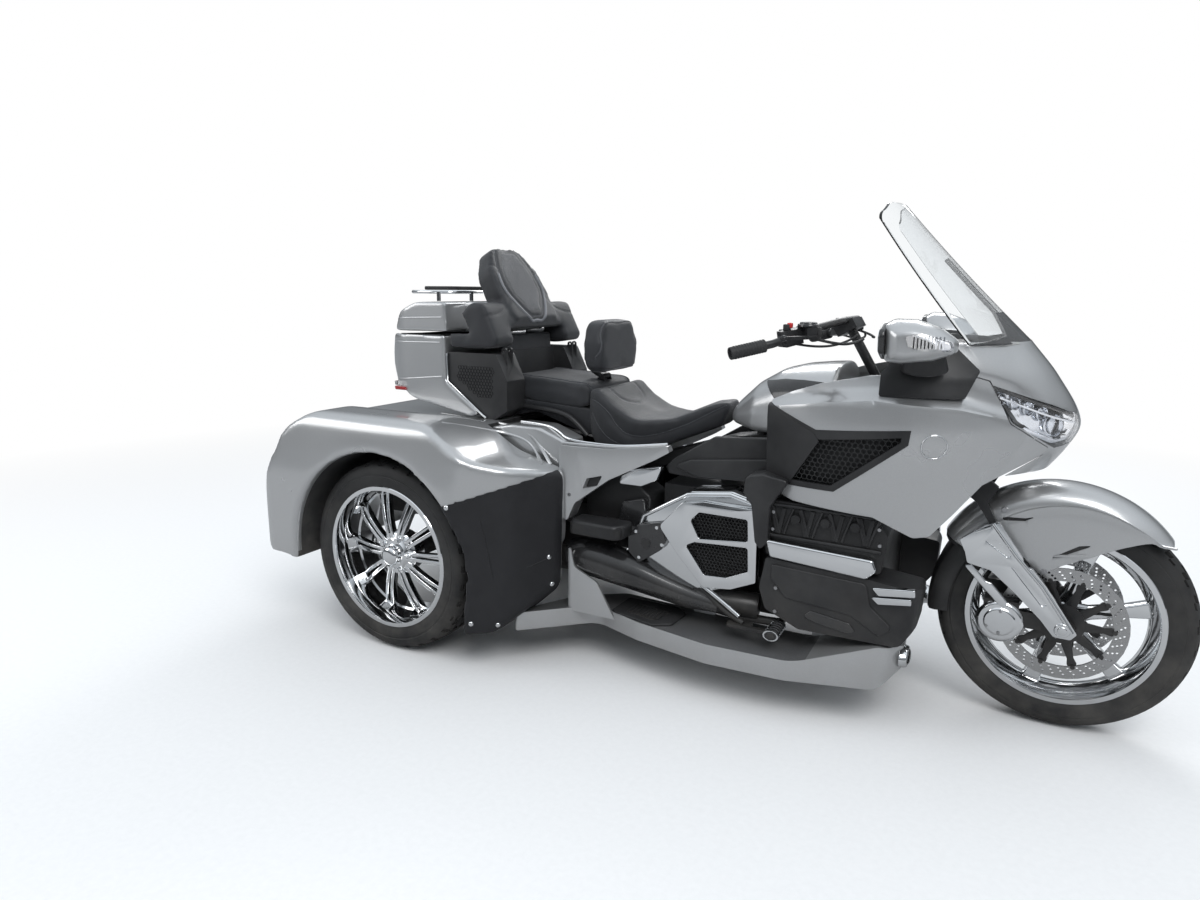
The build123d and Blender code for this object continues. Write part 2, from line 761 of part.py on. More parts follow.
# Black pods beside the pillion seat, joined behind it
with BuildPart() as pods:
    with BuildSketch(upright(0)):
        with BuildLine():
            FilletPolyline(
                (box_front + seat_gap, deck_height + 222), (box_front + seat_gap, deck_height + 116.3),
                (-705.6, deck_height + 10.4), (-690, deck_height + seat_gap), (-656, deck_height + seat_gap),
                (-606, deck_height + 32), (-604, deck_height + 132), (-648, deck_height + 222),
                radius=[10, 20, 3, 2, 4, 10, 10, 10], close=True,
            )
        make_face()
    extrude(amount=box_half - 12, both=True)
    with BuildSketch(Plane.XY.offset(deck_height - 68)):
        with Locations((-600, 0)):
            Rectangle(184, 2 * (pillion_half + seat_gap))
    extrude(amount=400, mode=Mode.SUBTRACT)
    # Two ears on each pod for the lid's pin
    for place in (lug_place - 20, lug_place + 12, -lug_place + 12, -lug_place - 20):
        with BuildSketch(upright(place)):
            with BuildLine():
                Polyline(
                    (lid_pivot_x - 12, lid_pivot_z - 16), (lid_pivot_x + 14, lid_pivot_z - 60),
                    (lid_pivot_x + lug_radius - 0.2, lid_pivot_z),
                    (lid_pivot_x - lug_radius + 0.2, lid_pivot_z), close=True,
                )
            make_face()
            with Locations((lid_pivot_x, lid_pivot_z)):
                Circle(lug_radius)
                Circle(post_pin + axle_play, mode=Mode.SUBTRACT)
        extrude(amount=8)
write(pods, "pods")

# Seat: low rider's saddle, stepped up to a wide pillion
seat_points = above_deck([
    (112, 98, 8), (58, 90, 60), (-70, 32, 120), (-185, 28, 120), (-275, 78, 60), (-335, 124, 60), (-690, 150, 20),
    (-690, seat_gap, 4), (-652, seat_gap, 4), (-560, 22, 40), (-350, -46, 40),
    (-300, -100, 30), (-180, -106, 30), (-90, -64, 60), (80, 8, 20),
])
with BuildPart() as seat:
    with BuildSketch(upright(0)):
        with BuildLine():
            FilletPolyline([p[:2] for p in seat_points], radius=[p[2] for p in seat_points], close=True)
        make_face()
    extrude(amount=seat_half + 10, both=True)
    with BuildSketch(Plane.XY):
        with BuildLine():
            FilletPolyline(
                (114, -60), (60, -78), (-60, -110), (-160, -seat_half), (-330, -seat_half), (-420, -pillion_half),
                (-700, -pillion_half), (-700, pillion_half), (-420, pillion_half), (-330, seat_half), (-160, seat_half),
                (-60, 110), (60, 78), (114, 60), radius=[20, 60, 60, 60, 60, 40, 10, 10, 40, 60, 60, 60, 60, 20], close=True,
            )
        make_face()
    extrude(amount=1000, mode=Mode.INTERSECT)
write(seat, "seat")

# Rider's backrest: a pad on a bent post that folds forward on a pin
with BuildPart() as backrest_post:
    with BuildSketch(upright(-20)):
        with Locations((post_pivot_x, post_pivot_z)):
            Circle(post_knuckle)
        with BuildLine():
            FilletPolyline(
                (post_pivot_x - 8, post_pivot_z - 5.5), (post_pivot_x + 4, post_pivot_z + 7.5),
                (-403, post_pivot_z + 21.5), (-408, post_pivot_z + 71.5), (-405, post_pivot_z + 131.5),
                (-424, post_pivot_z + 133.5), (-430, post_pivot_z + 75.5), (-424, post_pivot_z + 13.5),
                (-404, post_pivot_z + 1.5), radius=[0, 0, 8, 20, 4, 4, 20, 12, 8], close=True,
            )
        make_face()
    extrude(amount=40)
    with BuildSketch(upright(-30)):
        with Locations((post_pivot_x, post_pivot_z)):
            Circle(post_pin)
    extrude(amount=60)
write(backrest_post, "backrest_post")
with BuildPart() as rider_pad:
    with BuildSketch(Plane((-397, 0, post_pivot_z + 99.5), x_dir=(0, 1, 0), z_dir=(1, 0, 0.06))):
        with BuildLine():
            FilletPolyline(
                (-138, -84), (138, -84), (146, 20), (112, 96), (-112, 96), (-146, 20), radius=[50, 50, 60, 50, 50, 60], close=True
            )
        make_face()
    extrude(amount=84)
write(rider_pad, "rider_pad")

# Front cowl: plan sections of one moulded shell, from its lower edge up to the screen
cowl_rear = 295
cowl_rows = [
    # height, rear half width, widest x, half width, corner x, half width, tip x
    (560, 268, 620, 318, 800, 262, 890),
    (700, 282, 640, 338, 862, 232, 972),
    (800, 288, 660, 350, 915, 205, 1040),
    (872, 288, 660, 350, 935, 200, 1064),
    (988, 262, 650, 325, 850, 252, 1000),
    (1074, 235, 640, 290, 790, 262, 931),
]


def cowl_solid(inwards, open_rear):
    """The cowl's solid form with its outline moved inwards, and its rear end moved back."""
    with BuildPart() as solid:
        for height, rear, wide_x, wide, corner_x, corner, tip in cowl_rows:
            with BuildSketch(Plane.XY.offset(height)):
                with BuildLine():
                    right = ThreePointArc(
                        (cowl_rear, inwards - rear), (wide_x, inwards - wide),
                        (corner_x - inwards * 0.7, inwards * 0.7 - corner),
                    )
                    nose = ThreePointArc(
                        right @ 1, (tip - inwards, 0), (corner_x - inwards * 0.7, corner - inwards * 0.7)
                    )
                    left = ThreePointArc(nose @ 1, (wide_x, wide - inwards), (cowl_rear, rear - inwards))
                    if open_rear:
                        Polyline(
                            left @ 1, (cowl_rear - open_rear, rear - inwards),
                            (cowl_rear - open_rear, inwards - rear), right @ 0,
                        )
                    else:
                        Line(left @ 1, right @ 0)
                make_face()
        loft(ruled=True)
    return solid.part


cowl_outer = cowl_solid(0, 0)
cowl_inner = cowl_solid(cowl_wall, 60)
fairing_outline = [
    (300, 903), (700, 986), (826, 986), (900, 876), (1000, 806), (850, 722), (790, 640), (712, 565), (600, 618),
    (380, 628), (300, 655), (308, 688), (488, 690), (658, 830), (664, 850), (450, 862), (300, 890),
]
lamp_outline = [(834, 976), (986, 926), (1070, 882), (1070, 822), (1004, 815), (908, 874)]
nose_outline = [
    (640, 1074), (940, 1074), (1100, 980), (1100, 760), (900, 740), (1002, 806), (901.4, 877), (826.5, 987.4),
    (700, 987.4), (640, 975),
]


def lamp_zone(grow):
    """The space the two headlamps take, each side of the nose."""
    with BuildPart() as zone:
        with BuildSketch(upright(0)):
            with BuildLine():
                FilletPolyline(lamp_outline, radius=8, close=True)
            make_face()
            if grow:
                offset(amount=grow)
        extrude(amount=400, both=True)
        with BuildSketch(Plane.XY):
            Rectangle(3000, 2 * (46 - grow))
        extrude(amount=2000, mode=Mode.SUBTRACT)
    return zone.part


with BuildPart() as side_fairings:
    add(cowl_outer)
    add(cowl_inner, mode=Mode.SUBTRACT)
    with BuildSketch(upright(0)):
        with BuildLine():
            Polyline(fairing_outline, close=True)
        make_face()
    extrude(amount=500, both=True, mode=Mode.INTERSECT)
    with BuildSketch(Plane.XY):
        with Locations((1000, 0)):
            Rectangle(600, 2 * 150)
    extrude(amount=2000, mode=Mode.SUBTRACT)
    add(lamp_zone(cowl_seam), mode=Mode.SUBTRACT)
write(side_fairings, "side_fairings")

with BuildPart() as nose_fairing:
    add(cowl_outer)
    add(cowl_inner, mode=Mode.SUBTRACT)
    with BuildPart(mode=Mode.PRIVATE) as zone:
        with BuildSketch(upright(0)):
            with BuildLine():
                Polyline(nose_outline, close=True)
            make_face()
        extrude(amount=500, both=True)
        with BuildSketch(upright(0)):
            with BuildLine():
                Polyline((860, 745), (1100, 745), (1100, 900), (860, 900), close=True)
            make_face()
        extrude(amount=150 - cowl_seam, both=True)
    add(zone.part, mode=Mode.INTERSECT)
    add(lamp_zone(cowl_seam), mode=Mode.SUBTRACT)
write(nose_fairing, "nose_fairing")

with BuildPart() as headlamps:
    add(cowl_solid(1, 0))
    add(cowl_solid(30, 60), mode=Mode.SUBTRACT)
    add(lamp_zone(0), mode=Mode.INTERSECT)
write(headlamps, "headlamps")

# Black grilles: slanted bars in the cowl's side intakes
grille_slot = [(0, 0), (28, 0), (62, 96), (34, 96)]
intake = [(302, 680), (492, 680), (668, 824), (674, 858), (452, 872), (302, 880)]
with BuildPart() as grilles:
    add(cowl_solid(cowl_wall + 2 * seat_gap, 0))
    add(cowl_solid(cowl_wall + 5, 60), mode=Mode.SUBTRACT)
    with BuildSketch(upright(0)):
        with BuildLine():
            Polyline(intake, close=True)
        make_face()
        # Slanted openings between the bars
        for row in range(6):
            with BuildLine():
                Polyline([(372 + row * 44 + x, 712 + row * 22 + z) for x, z in grille_slot], close=True)
            make_face(mode=Mode.SUBTRACT)
    extrude(amount=400, both=True, mode=Mode.INTERSECT)
write(grilles, "grilles")

# Tall clear screen: flat-fronted below, rounded at the top corners
with BuildPart() as windscreen:
    for grow in (0, screen_wall):
        with BuildPart(mode=Mode.PRIVATE) as sheet:
            for height, edge_x, edge, tip in ((1074 + seat_gap, 790, 262, 931), (1450, 505, 190, 573)):
                with BuildSketch(Plane.XY.offset(height)):
                    with BuildLine():
                        face = ThreePointArc((edge_x - grow, -edge), (tip - grow * 1.4, 0), (edge_x - grow, edge))
                        Line(face @ 1, face @ 0)
                    make_face()
            loft(ruled=True)
        add(sheet.part, mode=Mode.SUBTRACT if grow else Mode.ADD)
    with BuildSketch(Plane.YZ):
        with BuildLine():
            FilletPolyline(
                (-300, 1000), (-300, 1074), (-222, 1330), (-196, 1404), (-120, 1445), (120, 1445), (196, 1404), (222, 1330),
                (300, 1074), (300, 1000), radius=[0, 20, 200, 50, 60, 60, 50, 200, 20, 0], close=True,
            )
        make_face()
    extrude(amount=2000, both=True, mode=Mode.INTERSECT)
write(windscreen, "windscreen")

# Dash: fills the cowl under the screen, with a hood for the clocks
with BuildPart() as dash:
    add(cowl_solid(cowl_wall + seat_gap, 60))
    with BuildSketch(upright(0)):
        with BuildLine():
            FilletPolyline(
                (592, 940), (592, 1000), (640, 1064), (764, 1064), (820, 1010), (792, 940), radius=8, close=True
            )
        make_face()
    extrude(amount=400, both=True, mode=Mode.INTERSECT)
write(dash, "dash")

# Tank shelter: rounded cross-sections from the seat's nose up to the bars
shelter_rows = [
    # x, half width, lower edge, shoulder height, top
    (120, 96, 800, 826, 884),
    (200, 152, 784, 850, 950),
    (320, 196, 790, 880, 986),
    (452, 214, 812, 890, 998),
]
with BuildPart() as tank_shelter:
    for x, half, low, shoulder, top in shelter_rows:
        with BuildSketch(Plane.YZ.offset(x)):
            with BuildLine():
                foot = Line((-half * 0.94, low), (half * 0.94, low))
                left = Line(foot @ 1, (half, shoulder))
                over = ThreePointArc(left @ 1, (0, top), (-half, shoulder))
                Line(over @ 1, foot @ 0)
            make_face()
    loft(ruled=True)
write(tank_shelter, "tank_shelter")

# Mirrors: shells on the cowl's shoulders
with BuildPart() as mirrors:
    for distance, x, z, length, height in (
        (334, 690, 1058, 54, 26), (372, 692, 1084, 82, 54), (430, 694, 1086, 84, 56), (478, 702, 1084, 52, 34)
    ):
        with BuildSketch(upright(distance)):
            with Locations((x, z)):
                Ellipse(length, height)
    loft(ruled=True)
    with BuildSketch(Plane.XY.offset(1018)):
        with Locations((690, -322)):
            SlotOverall(90, 34)
    extrude(amount=38)
    add(cowl_solid(-seat_gap, 0), mode=Mode.SUBTRACT)
    with BuildSketch(Plane.XY.offset(900)):
        with Locations((690, -200)):
            Rectangle(400, 200)
    extrude(amount=400, mode=Mode.SUBTRACT)
    mirror(about=Plane.XZ)
write(mirrors, "mirrors")

# Engine: one block with a head on each side, ribbed on its outer face
with BuildPart() as engine:
    with BuildSketch(Plane.XY.offset(engine_low)):
        with Locations((280, 0)):
            Rectangle(680, 2 * engine_half)
    extrude(amount=engine_high - engine_low)
    with BuildSketch(upright(engine_half)):
        with BuildLine():
            FilletPolyline((312, 460), (628, 452), (640, 560), (600, 618), (320, 622), (300, 560), radius=12, close=True)
        make_face()
    extrude(amount=118)
    with BuildSketch(upright(308)):
        for x in (350, 430, 510, 590):
            with BuildLine():
                Polyline(
                    (x - 30, 604), (x - 12, 530), (x + 2, 530), (x + 16, 604), (x + 4, 604), (x - 5, 556), (x - 18, 604),
                    close=True,
                )
            make_face()
    extrude(amount=8)
    mirror(about=Plane.XZ)
write(engine, "engine")

with BuildPart() as rocker_guards:
    with BuildSketch(upright(318)):
        with BuildLine():
            FilletPolyline((316, 522), (326, 470), (596, 442), (622, 468), (612, 500), radius=8, close=True)
        make_face()
    extrude(amount=18)
    with BuildSketch(upright(308 + seat_gap)):
        with Locations((366, 490), (566, 478)):
            Rectangle(24, 30)
    extrude(amount=12)
    with BuildSketch(upright(332 + seat_gap)):
        with BuildLine():
            FilletPolyline((610, 398), (616, 372), (690, 358), (706, 376), (690, 396), radius=5, close=True)
        make_face()
    extrude(amount=8)
    mirror(about=Plane.XZ)
write(rocker_guards, "rocker_guards")

cover_window = [(-6, 556), (30, 564), (214, 552), (228, 518), (40, 510), (-24, 522)]
cover_window_low = [(-16, 486), (40, 486), (222, 492), (196, 436), (60, 420), (8, 430)]
with BuildPart() as engine_covers:
    with BuildSketch(upright(296)):
        with BuildLine():
            FilletPolyline(
                (-98, 500), (-44, 596), (226, 600), (272, 556), (270, 466), (206, 394), (22, 384), (-60, 430),
                radius=16, close=True,
            )
        make_face()
        for window in (cover_window, cover_window_low):
            with BuildLine():
                FilletPolyline(window, radius=8, close=True)
            make_face(mode=Mode.SUBTRACT)
    extrude(amount=26)
    with BuildSketch(upright(engine_half + seat_gap)):
        with Locations((90, 490)):
            Rectangle(250, 160)
    extrude(amount=296 - engine_half - seat_gap + 8)
    mirror(about=Plane.XZ)
write(engine_covers, "engine_covers")

with BuildPart() as lower_cowls:
    with BuildSketch(upright(engine_half + seat_gap)):
        with BuildLine():
            FilletPolyline(
                (306, 262), (690, 262), (728, 320), (734, 420), (600, 432), (310, 452), (292, 360), radius=14, close=True
            )
        make_face()
    extrude(amount=332 - engine_half - seat_gap)
    with BuildSketch(Plane.XY):
        with BuildLine():
            FilletPolyline(
                (200, -150), (200, -318), (640, -336), (716, -322), (748, -240), (748, -150),
                radius=[0, 20, 60, 30, 30, 0], close=True,
            )
        make_face()
    extrude(amount=1000, mode=Mode.INTERSECT)
    mirror(about=Plane.XZ)
write(lower_cowls, "lower_cowls")

with BuildPart() as side_covers:
    with BuildSketch(upright(200)):
        with BuildLine():
            FilletPolyline(
                (-350, 700), (-350, 560), (-300, 546), (-200, 636), (-60, 694), (-26, 722), (-44, 732), (-200, 716),
                radius=6, close=True,
            )
        make_face()
    extrude(amount=200)
    with BuildSketch(Plane.XY):
        with BuildLine():
            Polyline((-350, -318), (-350, -352), (-180, -312), (-20, -254), (-20, -226), (-180, -286), close=True)
        make_face()
    extrude(amount=1000, mode=Mode.INTERSECT)
    add(body_solid(seat_gap), mode=Mode.SUBTRACT)
    mirror(about=Plane.XZ)
write(side_covers, "side_covers")

with BuildPart() as side_struts:
    with BuildSketch(upright(256)):
        with BuildLine():
            FilletPolyline(
                (300, 884), (436, 854), (330, 706), (306, 650), (292, 628), (286, 604), (232, 608), (250, 690),
                radius=6, close=True,
            )
        make_face()
    extrude(amount=16)
    with BuildSketch(upright(194)):
        with BuildLine():
            FilletPolyline(
                (-24, 700), (110, 772), (420, 786), (300, 700), (290, 640), (60, 636), (-20, 664), radius=8, close=True
            )
        make_face()
    extrude(amount=18)
    with BuildSketch(upright(200)):
        with Locations((300, 740)):
            Rectangle(40, 36)
    extrude(amount=60)
    mirror(about=Plane.XZ)
write(side_struts, "side_struts")

# Running boards: moulded shells that rise and close in front
board_plan = [
    (-452, -470, 10), (-440, -488, 10), (-240, -300, 60), (-70, -362, 160), (170, -410, 160), (400, -402, 140),
    (660, -330, 60), (700, -276, 20), (700, -200, 20), (330, -196, 60), (-200, -160, 40), (-330, -250, 40),
]
with BuildPart() as running_boards:
    with BuildSketch(Plane.XY.offset(board_bottom)):
        with BuildLine():
            FilletPolyline([p[:2] for p in board_plan], radius=[p[2] for p in board_plan], close=True)
        make_face()
    extrude(amount=160)
    with BuildSketch(upright(0)):
        with BuildLine():
            FilletPolyline(
                (-600, board_bottom), (640, board_bottom), (702, 190), (702, 252), (640, 256), (430, board_top), (-600, board_top),
                radius=[0, 50, 30, 10, 40, 200, 0], close=True,
            )
        make_face()
    extrude(amount=600, both=True, mode=Mode.INTERSECT)
    add(body_solid(seat_gap + wrap_skin + seat_gap), mode=Mode.SUBTRACT)
    with BuildSketch(upright(352)):
        with BuildLine():
            FilletPolyline((-318, 180), (-318, 420), (-296, 330), (-214, 292), (-150, 180), radius=[0, 4, 20, 20, 0], close=True)
        make_face()
    extrude(amount=8)
    # Brackets up to the engine's underside
    with BuildSketch(Plane.XY.offset(board_top - 6)):
        with Locations((90, -186), (470, -194)):
            Rectangle(70, 16)
    extrude(amount=engine_low - seat_gap - board_top + 6)
    mirror(about=Plane.XZ)
write(running_boards, "running_boards")

with BuildPart() as board_pads:
    with BuildSketch(Plane.XY.offset(board_top + seat_gap)):
        with BuildLine():
            FilletPolyline(
                (-176, -330), (-16, -372), (38, -340), (46, -240), (4, -206), (-170, -206), radius=14, close=True
            )
        make_face()
    extrude(amount=pad_height)
    mirror(about=Plane.XZ)
write(board_pads, "board_pads")

# Exhausts: a pipe from each side of the engine back under the tub
with BuildPart() as exhausts:
    with BuildLine():
        pipe = FilletPolyline((284, -250, 272), (60, -284, 280), (-340, -284, 330), (-720, -284, 330), radius=160)
    with BuildSketch(Plane((284, -250, 272), x_dir=(0, 0, 1), z_dir=(-224, -34, 8))):
        Circle(40)
    sweep(path=pipe)
    with BuildSketch(upright(engine_half + seat_gap)):
        with Locations((250, 272)):
            Rectangle(44, 36)
    extrude(amount=40)
    with BuildSketch(Plane.XY.offset(350)):
        with Locations((-680, -284)):
            Rectangle(24, 20)
    extrude(amount=tub_floor - seat_gap - 350)
    mirror(about=Plane.XZ)
write(exhausts, "exhausts")

# Foot rests: pillion boards, rider's pegs and the two pedals
with BuildPart() as foot_rests:
    with BuildSketch(Plane.XY.offset(452)):
        with Locations((-212, -340)):
            RectangleRounded(180, 100, 20)
    extrude(amount=34)
    with BuildSketch(upright(rail_outer + seat_gap)):
        with Locations((-215, 464)):
            Rectangle(60, 18)
    extrude(amount=205)
    with BuildSketch(upright(engine_half + seat_gap)):
        with Locations((356, 244)):
            Circle(11)
    extrude(amount=194)
    with BuildSketch(Plane.XY.offset(234)):
        with Locations((250, -330)):
            RectangleRounded(70, 46, 8)
        with Locations((304, -346)):
            Rectangle(90, 14)
    extrude(amount=10)
    mirror(about=Plane.XZ)
write(foot_rests, "foot_rests")

# Frame: a spine over the engine, the steering head, and arms back to the tub
with BuildPart() as cowl_bar:
    with BuildSketch(upright(-400)):
        with Locations((640, 876)):
            Circle(9)
    extrude(amount=800)
    add(cowl_solid(cowl_wall + seat_gap, 0), mode=Mode.INTERSECT)
with BuildPart() as frame:
    with BuildSketch(upright(-48)):
        with BuildLine():
            FilletPolyline(
                (690, 776), (742, 800), (700, 872), (590, 912), (520, 900), (472, 796), (110, 745), (-60, 690), (-180, 650), (-300, 630),
                (-330, 600), (-330, 560),
                (-200, 604), (120, 690), (450, 716), radius=12, close=True,
            )
        make_face()
    extrude(amount=96)
    with BuildSketch(stem_plane.offset(32)):
        Rectangle(64, 96)
    extrude(amount=76)
    with BuildSketch(bar_plane.offset(-112)):
        Rectangle(60, 90)
    extrude(amount=46)
    for x in (100, 480):
        with BuildSketch(Plane.XY.offset(engine_high + seat_gap)):
            with Locations((x, 0)):
                Rectangle(50, 90)
        extrude(amount=100)
    with BuildSketch(Plane.XY.offset(740)):
        with Locations((202, 0)):
            Rectangle(24, 80)
    extrude(amount=784 - seat_gap - 740)
    # Cross bars that hold the side panels
    for x, z, half in ((90, 716, 194), (370, 768, 194)):
        with BuildSketch(upright(seat_gap - half)):
            with Locations((x, z)):
                Circle(10)
        extrude(amount=2 * (half - seat_gap))
    add(cowl_bar.part)
    # Ears on the seat for the rider's backrest pin
    for place in (21, -29):
        with BuildSketch(upright(place)):
            with BuildLine():
                Polyline(
                    (post_pivot_x - 14, post_pivot_z - 11.8), (post_pivot_x + 14, post_pivot_z - 13.8),
                    (post_pivot_x + 9.8, post_pivot_z), (post_pivot_x - 9.8, post_pivot_z), close=True,
                )
            make_face()
            with Locations((post_pivot_x, post_pivot_z)):
                Circle(post_knuckle)
                Circle(post_pin + axle_play, mode=Mode.SUBTRACT)
        extrude(amount=8)
    for place in (rail_inner, -rail_outer):
        with BuildSketch(upright(place)):
            with BuildLine():
                FilletPolyline(
                    (-200, 640), (-300, 650), (body_front - 304.4, 700), (body_front - 304.4, 560), (-340, 540), (-300, 330), (-215, 330),
                    (-180, 560), radius=10, close=True,
                )
            make_face()
        extrude(amount=rail_outer - rail_inner)
    for z, half in ((590, rail_inner + 1), (372, arm_inner - seat_gap)):
        with BuildSketch(upright(-half)):
            with Locations((-251, z)):
                Rectangle(60, 56)
        extrude(amount=2 * half)
    with BuildSketch(stem_plane):
        Circle(stem_radius + axle_play)
    extrude(amount=160, mode=Mode.SUBTRACT)
    with BuildSketch(bar_plane.offset(-140)):
        Circle(stem_radius - 4 + axle_play)
    extrude(amount=200, mode=Mode.SUBTRACT)
write(frame, "frame")
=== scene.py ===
# Motorized trike: the looks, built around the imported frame
import json
import math
import random

import bmesh
import bpy
from mathutils import Matrix, Vector
from mathutils.bvhtree import BVHTree
from mathutils.kdtree import KDTree

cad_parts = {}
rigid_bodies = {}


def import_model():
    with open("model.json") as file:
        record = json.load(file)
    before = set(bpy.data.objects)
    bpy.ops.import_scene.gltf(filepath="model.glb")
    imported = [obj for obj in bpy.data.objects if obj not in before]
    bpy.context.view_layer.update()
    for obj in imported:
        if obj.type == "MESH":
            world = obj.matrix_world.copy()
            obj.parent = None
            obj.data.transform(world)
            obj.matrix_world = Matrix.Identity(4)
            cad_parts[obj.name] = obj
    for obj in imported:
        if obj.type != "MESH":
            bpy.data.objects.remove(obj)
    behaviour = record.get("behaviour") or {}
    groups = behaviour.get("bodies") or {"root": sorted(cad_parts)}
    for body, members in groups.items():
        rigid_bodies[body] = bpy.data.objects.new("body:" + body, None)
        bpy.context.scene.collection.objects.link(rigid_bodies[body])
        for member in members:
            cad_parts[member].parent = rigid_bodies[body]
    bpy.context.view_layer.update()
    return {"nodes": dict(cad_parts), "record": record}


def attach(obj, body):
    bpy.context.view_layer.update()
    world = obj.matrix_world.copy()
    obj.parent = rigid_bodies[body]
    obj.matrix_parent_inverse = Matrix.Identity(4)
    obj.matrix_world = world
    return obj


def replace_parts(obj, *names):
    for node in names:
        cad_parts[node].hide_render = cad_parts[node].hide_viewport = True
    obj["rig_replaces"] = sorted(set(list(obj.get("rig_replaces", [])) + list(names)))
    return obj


random.seed(11)
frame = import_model()
cadNodes = frame["nodes"]
print("frame loaded")

drawingShift = 31.2  # the drawing's X 0 lies this far behind the middle, in mm


def at(x, y, z):
    return Vector(((x + drawingShift) / 1000, y / 1000, z / 1000))


# shader groups
def newGroup(name, inputs, outputs):
    group = bpy.data.node_groups.new(name, "ShaderNodeTree")
    for label, kind, value in inputs:
        socket = group.interface.new_socket(label, in_out="INPUT", socket_type=kind)
        if value is not None:
            socket.default_value = value
    for label, kind in outputs:
        group.interface.new_socket(label, in_out="OUTPUT", socket_type=kind)
    given = group.nodes.new("NodeGroupInput")
    made = group.nodes.new("NodeGroupOutput")
    return group, given.outputs, made.inputs


def mathNode(nodes, links, operation, first, second=None, clamp=False):
    node = nodes.new("ShaderNodeMath")
    node.operation = operation
    node.use_clamp = clamp
    for place, value in enumerate((first, second)):
        if value is None:
            continue
        if isinstance(value, (int, float)):
            node.inputs[place].default_value = value
        else:
            links.new(value, node.inputs[place])
    return node.outputs[0]


def rangeNode(nodes, links, value, low, high, toLow=0.0, toHigh=1.0):
    node = nodes.new("ShaderNodeMapRange")
    links.new(value, node.inputs["Value"])
    for label, number in (("From Min", low), ("From Max", high), ("To Min", toLow), ("To Max", toHigh)):
        if isinstance(number, (int, float)):
            node.inputs[label].default_value = number
        else:
            links.new(number, node.inputs[label])
    return node.outputs["Result"]


def mixColour(nodes, links, factor, first, second, blend="MIX"):
    node = nodes.new("ShaderNodeMix")
    node.data_type = "RGBA"
    node.blend_type = blend
    for socket, value in ((node.inputs[0], factor), (node.inputs[6], first), (node.inputs[7], second)):
        if isinstance(value, (int, float, tuple)):
            socket.default_value = value
        else:
            links.new(value, socket)
    return node.outputs[2]


def noiseNode(nodes, links, vector, scale, detail=2.0, roughness=0.5):
    node = nodes.new("ShaderNodeTexNoise")
    links.new(vector, node.inputs["Vector"])
    if isinstance(scale, (int, float)):
        node.inputs["Scale"].default_value = scale
    else:
        links.new(scale, node.inputs["Scale"])
    node.inputs["Detail"].default_value = detail
    node.inputs["Roughness"].default_value = roughness
    return node.outputs["Fac"]


def makeRoadDust():
    # pale dust that gathers low down and in patches
    group, given, made = newGroup("roadDust", [
        ("Vector", "NodeSocketVector", None), ("Color", "NodeSocketColor", (0.5, 0.5, 0.5, 1)),
        ("Roughness", "NodeSocketFloat", 0.4), ("Dust Color", "NodeSocketColor", (0.32, 0.29, 0.25, 1)),
        ("Amount", "NodeSocketFloat", 0.3), ("Top", "NodeSocketFloat", 0.5),
    ], [("Color", "NodeSocketColor"), ("Roughness", "NodeSocketFloat")])
    nodes, links = group.nodes, group.links
    split = nodes.new("ShaderNodeSeparateXYZ")
    links.new(given["Vector"], split.inputs[0])
    low = rangeNode(nodes, links, split.outputs["Z"], given["Top"], 0.02)
    patches = rangeNode(nodes, links, noiseNode(nodes, links, given["Vector"], 9.0, 6.0, 0.62), 0.35, 0.75)
    mask = mathNode(nodes, links, "MULTIPLY", low, patches)
    mask = mathNode(nodes, links, "MULTIPLY", mask, given["Amount"], True)
    links.new(mixColour(nodes, links, mask, given["Color"], given["Dust Color"]), made["Color"])
    links.new(mathNode(nodes, links, "MULTIPLY_ADD", mask, 0.35), made["Roughness"])
    add = nodes[-1]
    links.new(given["Roughness"], add.inputs[2])
    return group


def makeMouldGrain():
    # fine pebbled grain of moulded plastic and rubber
    group, given, made = newGroup("mouldGrain", [
        ("Vector", "NodeSocketVector", None), ("Scale", "NodeSocketFloat", 900.0),
        ("Color", "NodeSocketColor", (0.03, 0.03, 0.03, 1)),
        ("Roughness", "NodeSocketFloat", 0.5),
    ], [("Color", "NodeSocketColor"), ("Roughness", "NodeSocketFloat"), ("Height", "NodeSocketFloat")])
    nodes, links = group.nodes, group.links
    grain = noiseNode(nodes, links, given["Vector"], given["Scale"], 3.0, 0.6)
    broad = noiseNode(nodes, links, given["Vector"], 7.0, 4.0, 0.6)
    lighter = mixColour(nodes, links, 0.12, given["Color"], (0.3, 0.3, 0.3, 1))
    links.new(
        mixColour(
            nodes, links, rangeNode(nodes, links, broad, 0.3, 0.7, 0.0, 0.5), given["Color"], lighter,
        ),
        made["Color"],
    )
    links.new(
        mathNode(
            nodes, links, "ADD", given["Roughness"], rangeNode(nodes, links, broad, 0.3, 0.7, -0.06, 0.06),
        ),
        made["Roughness"],
    )
    links.new(grain, made["Height"])
    return group


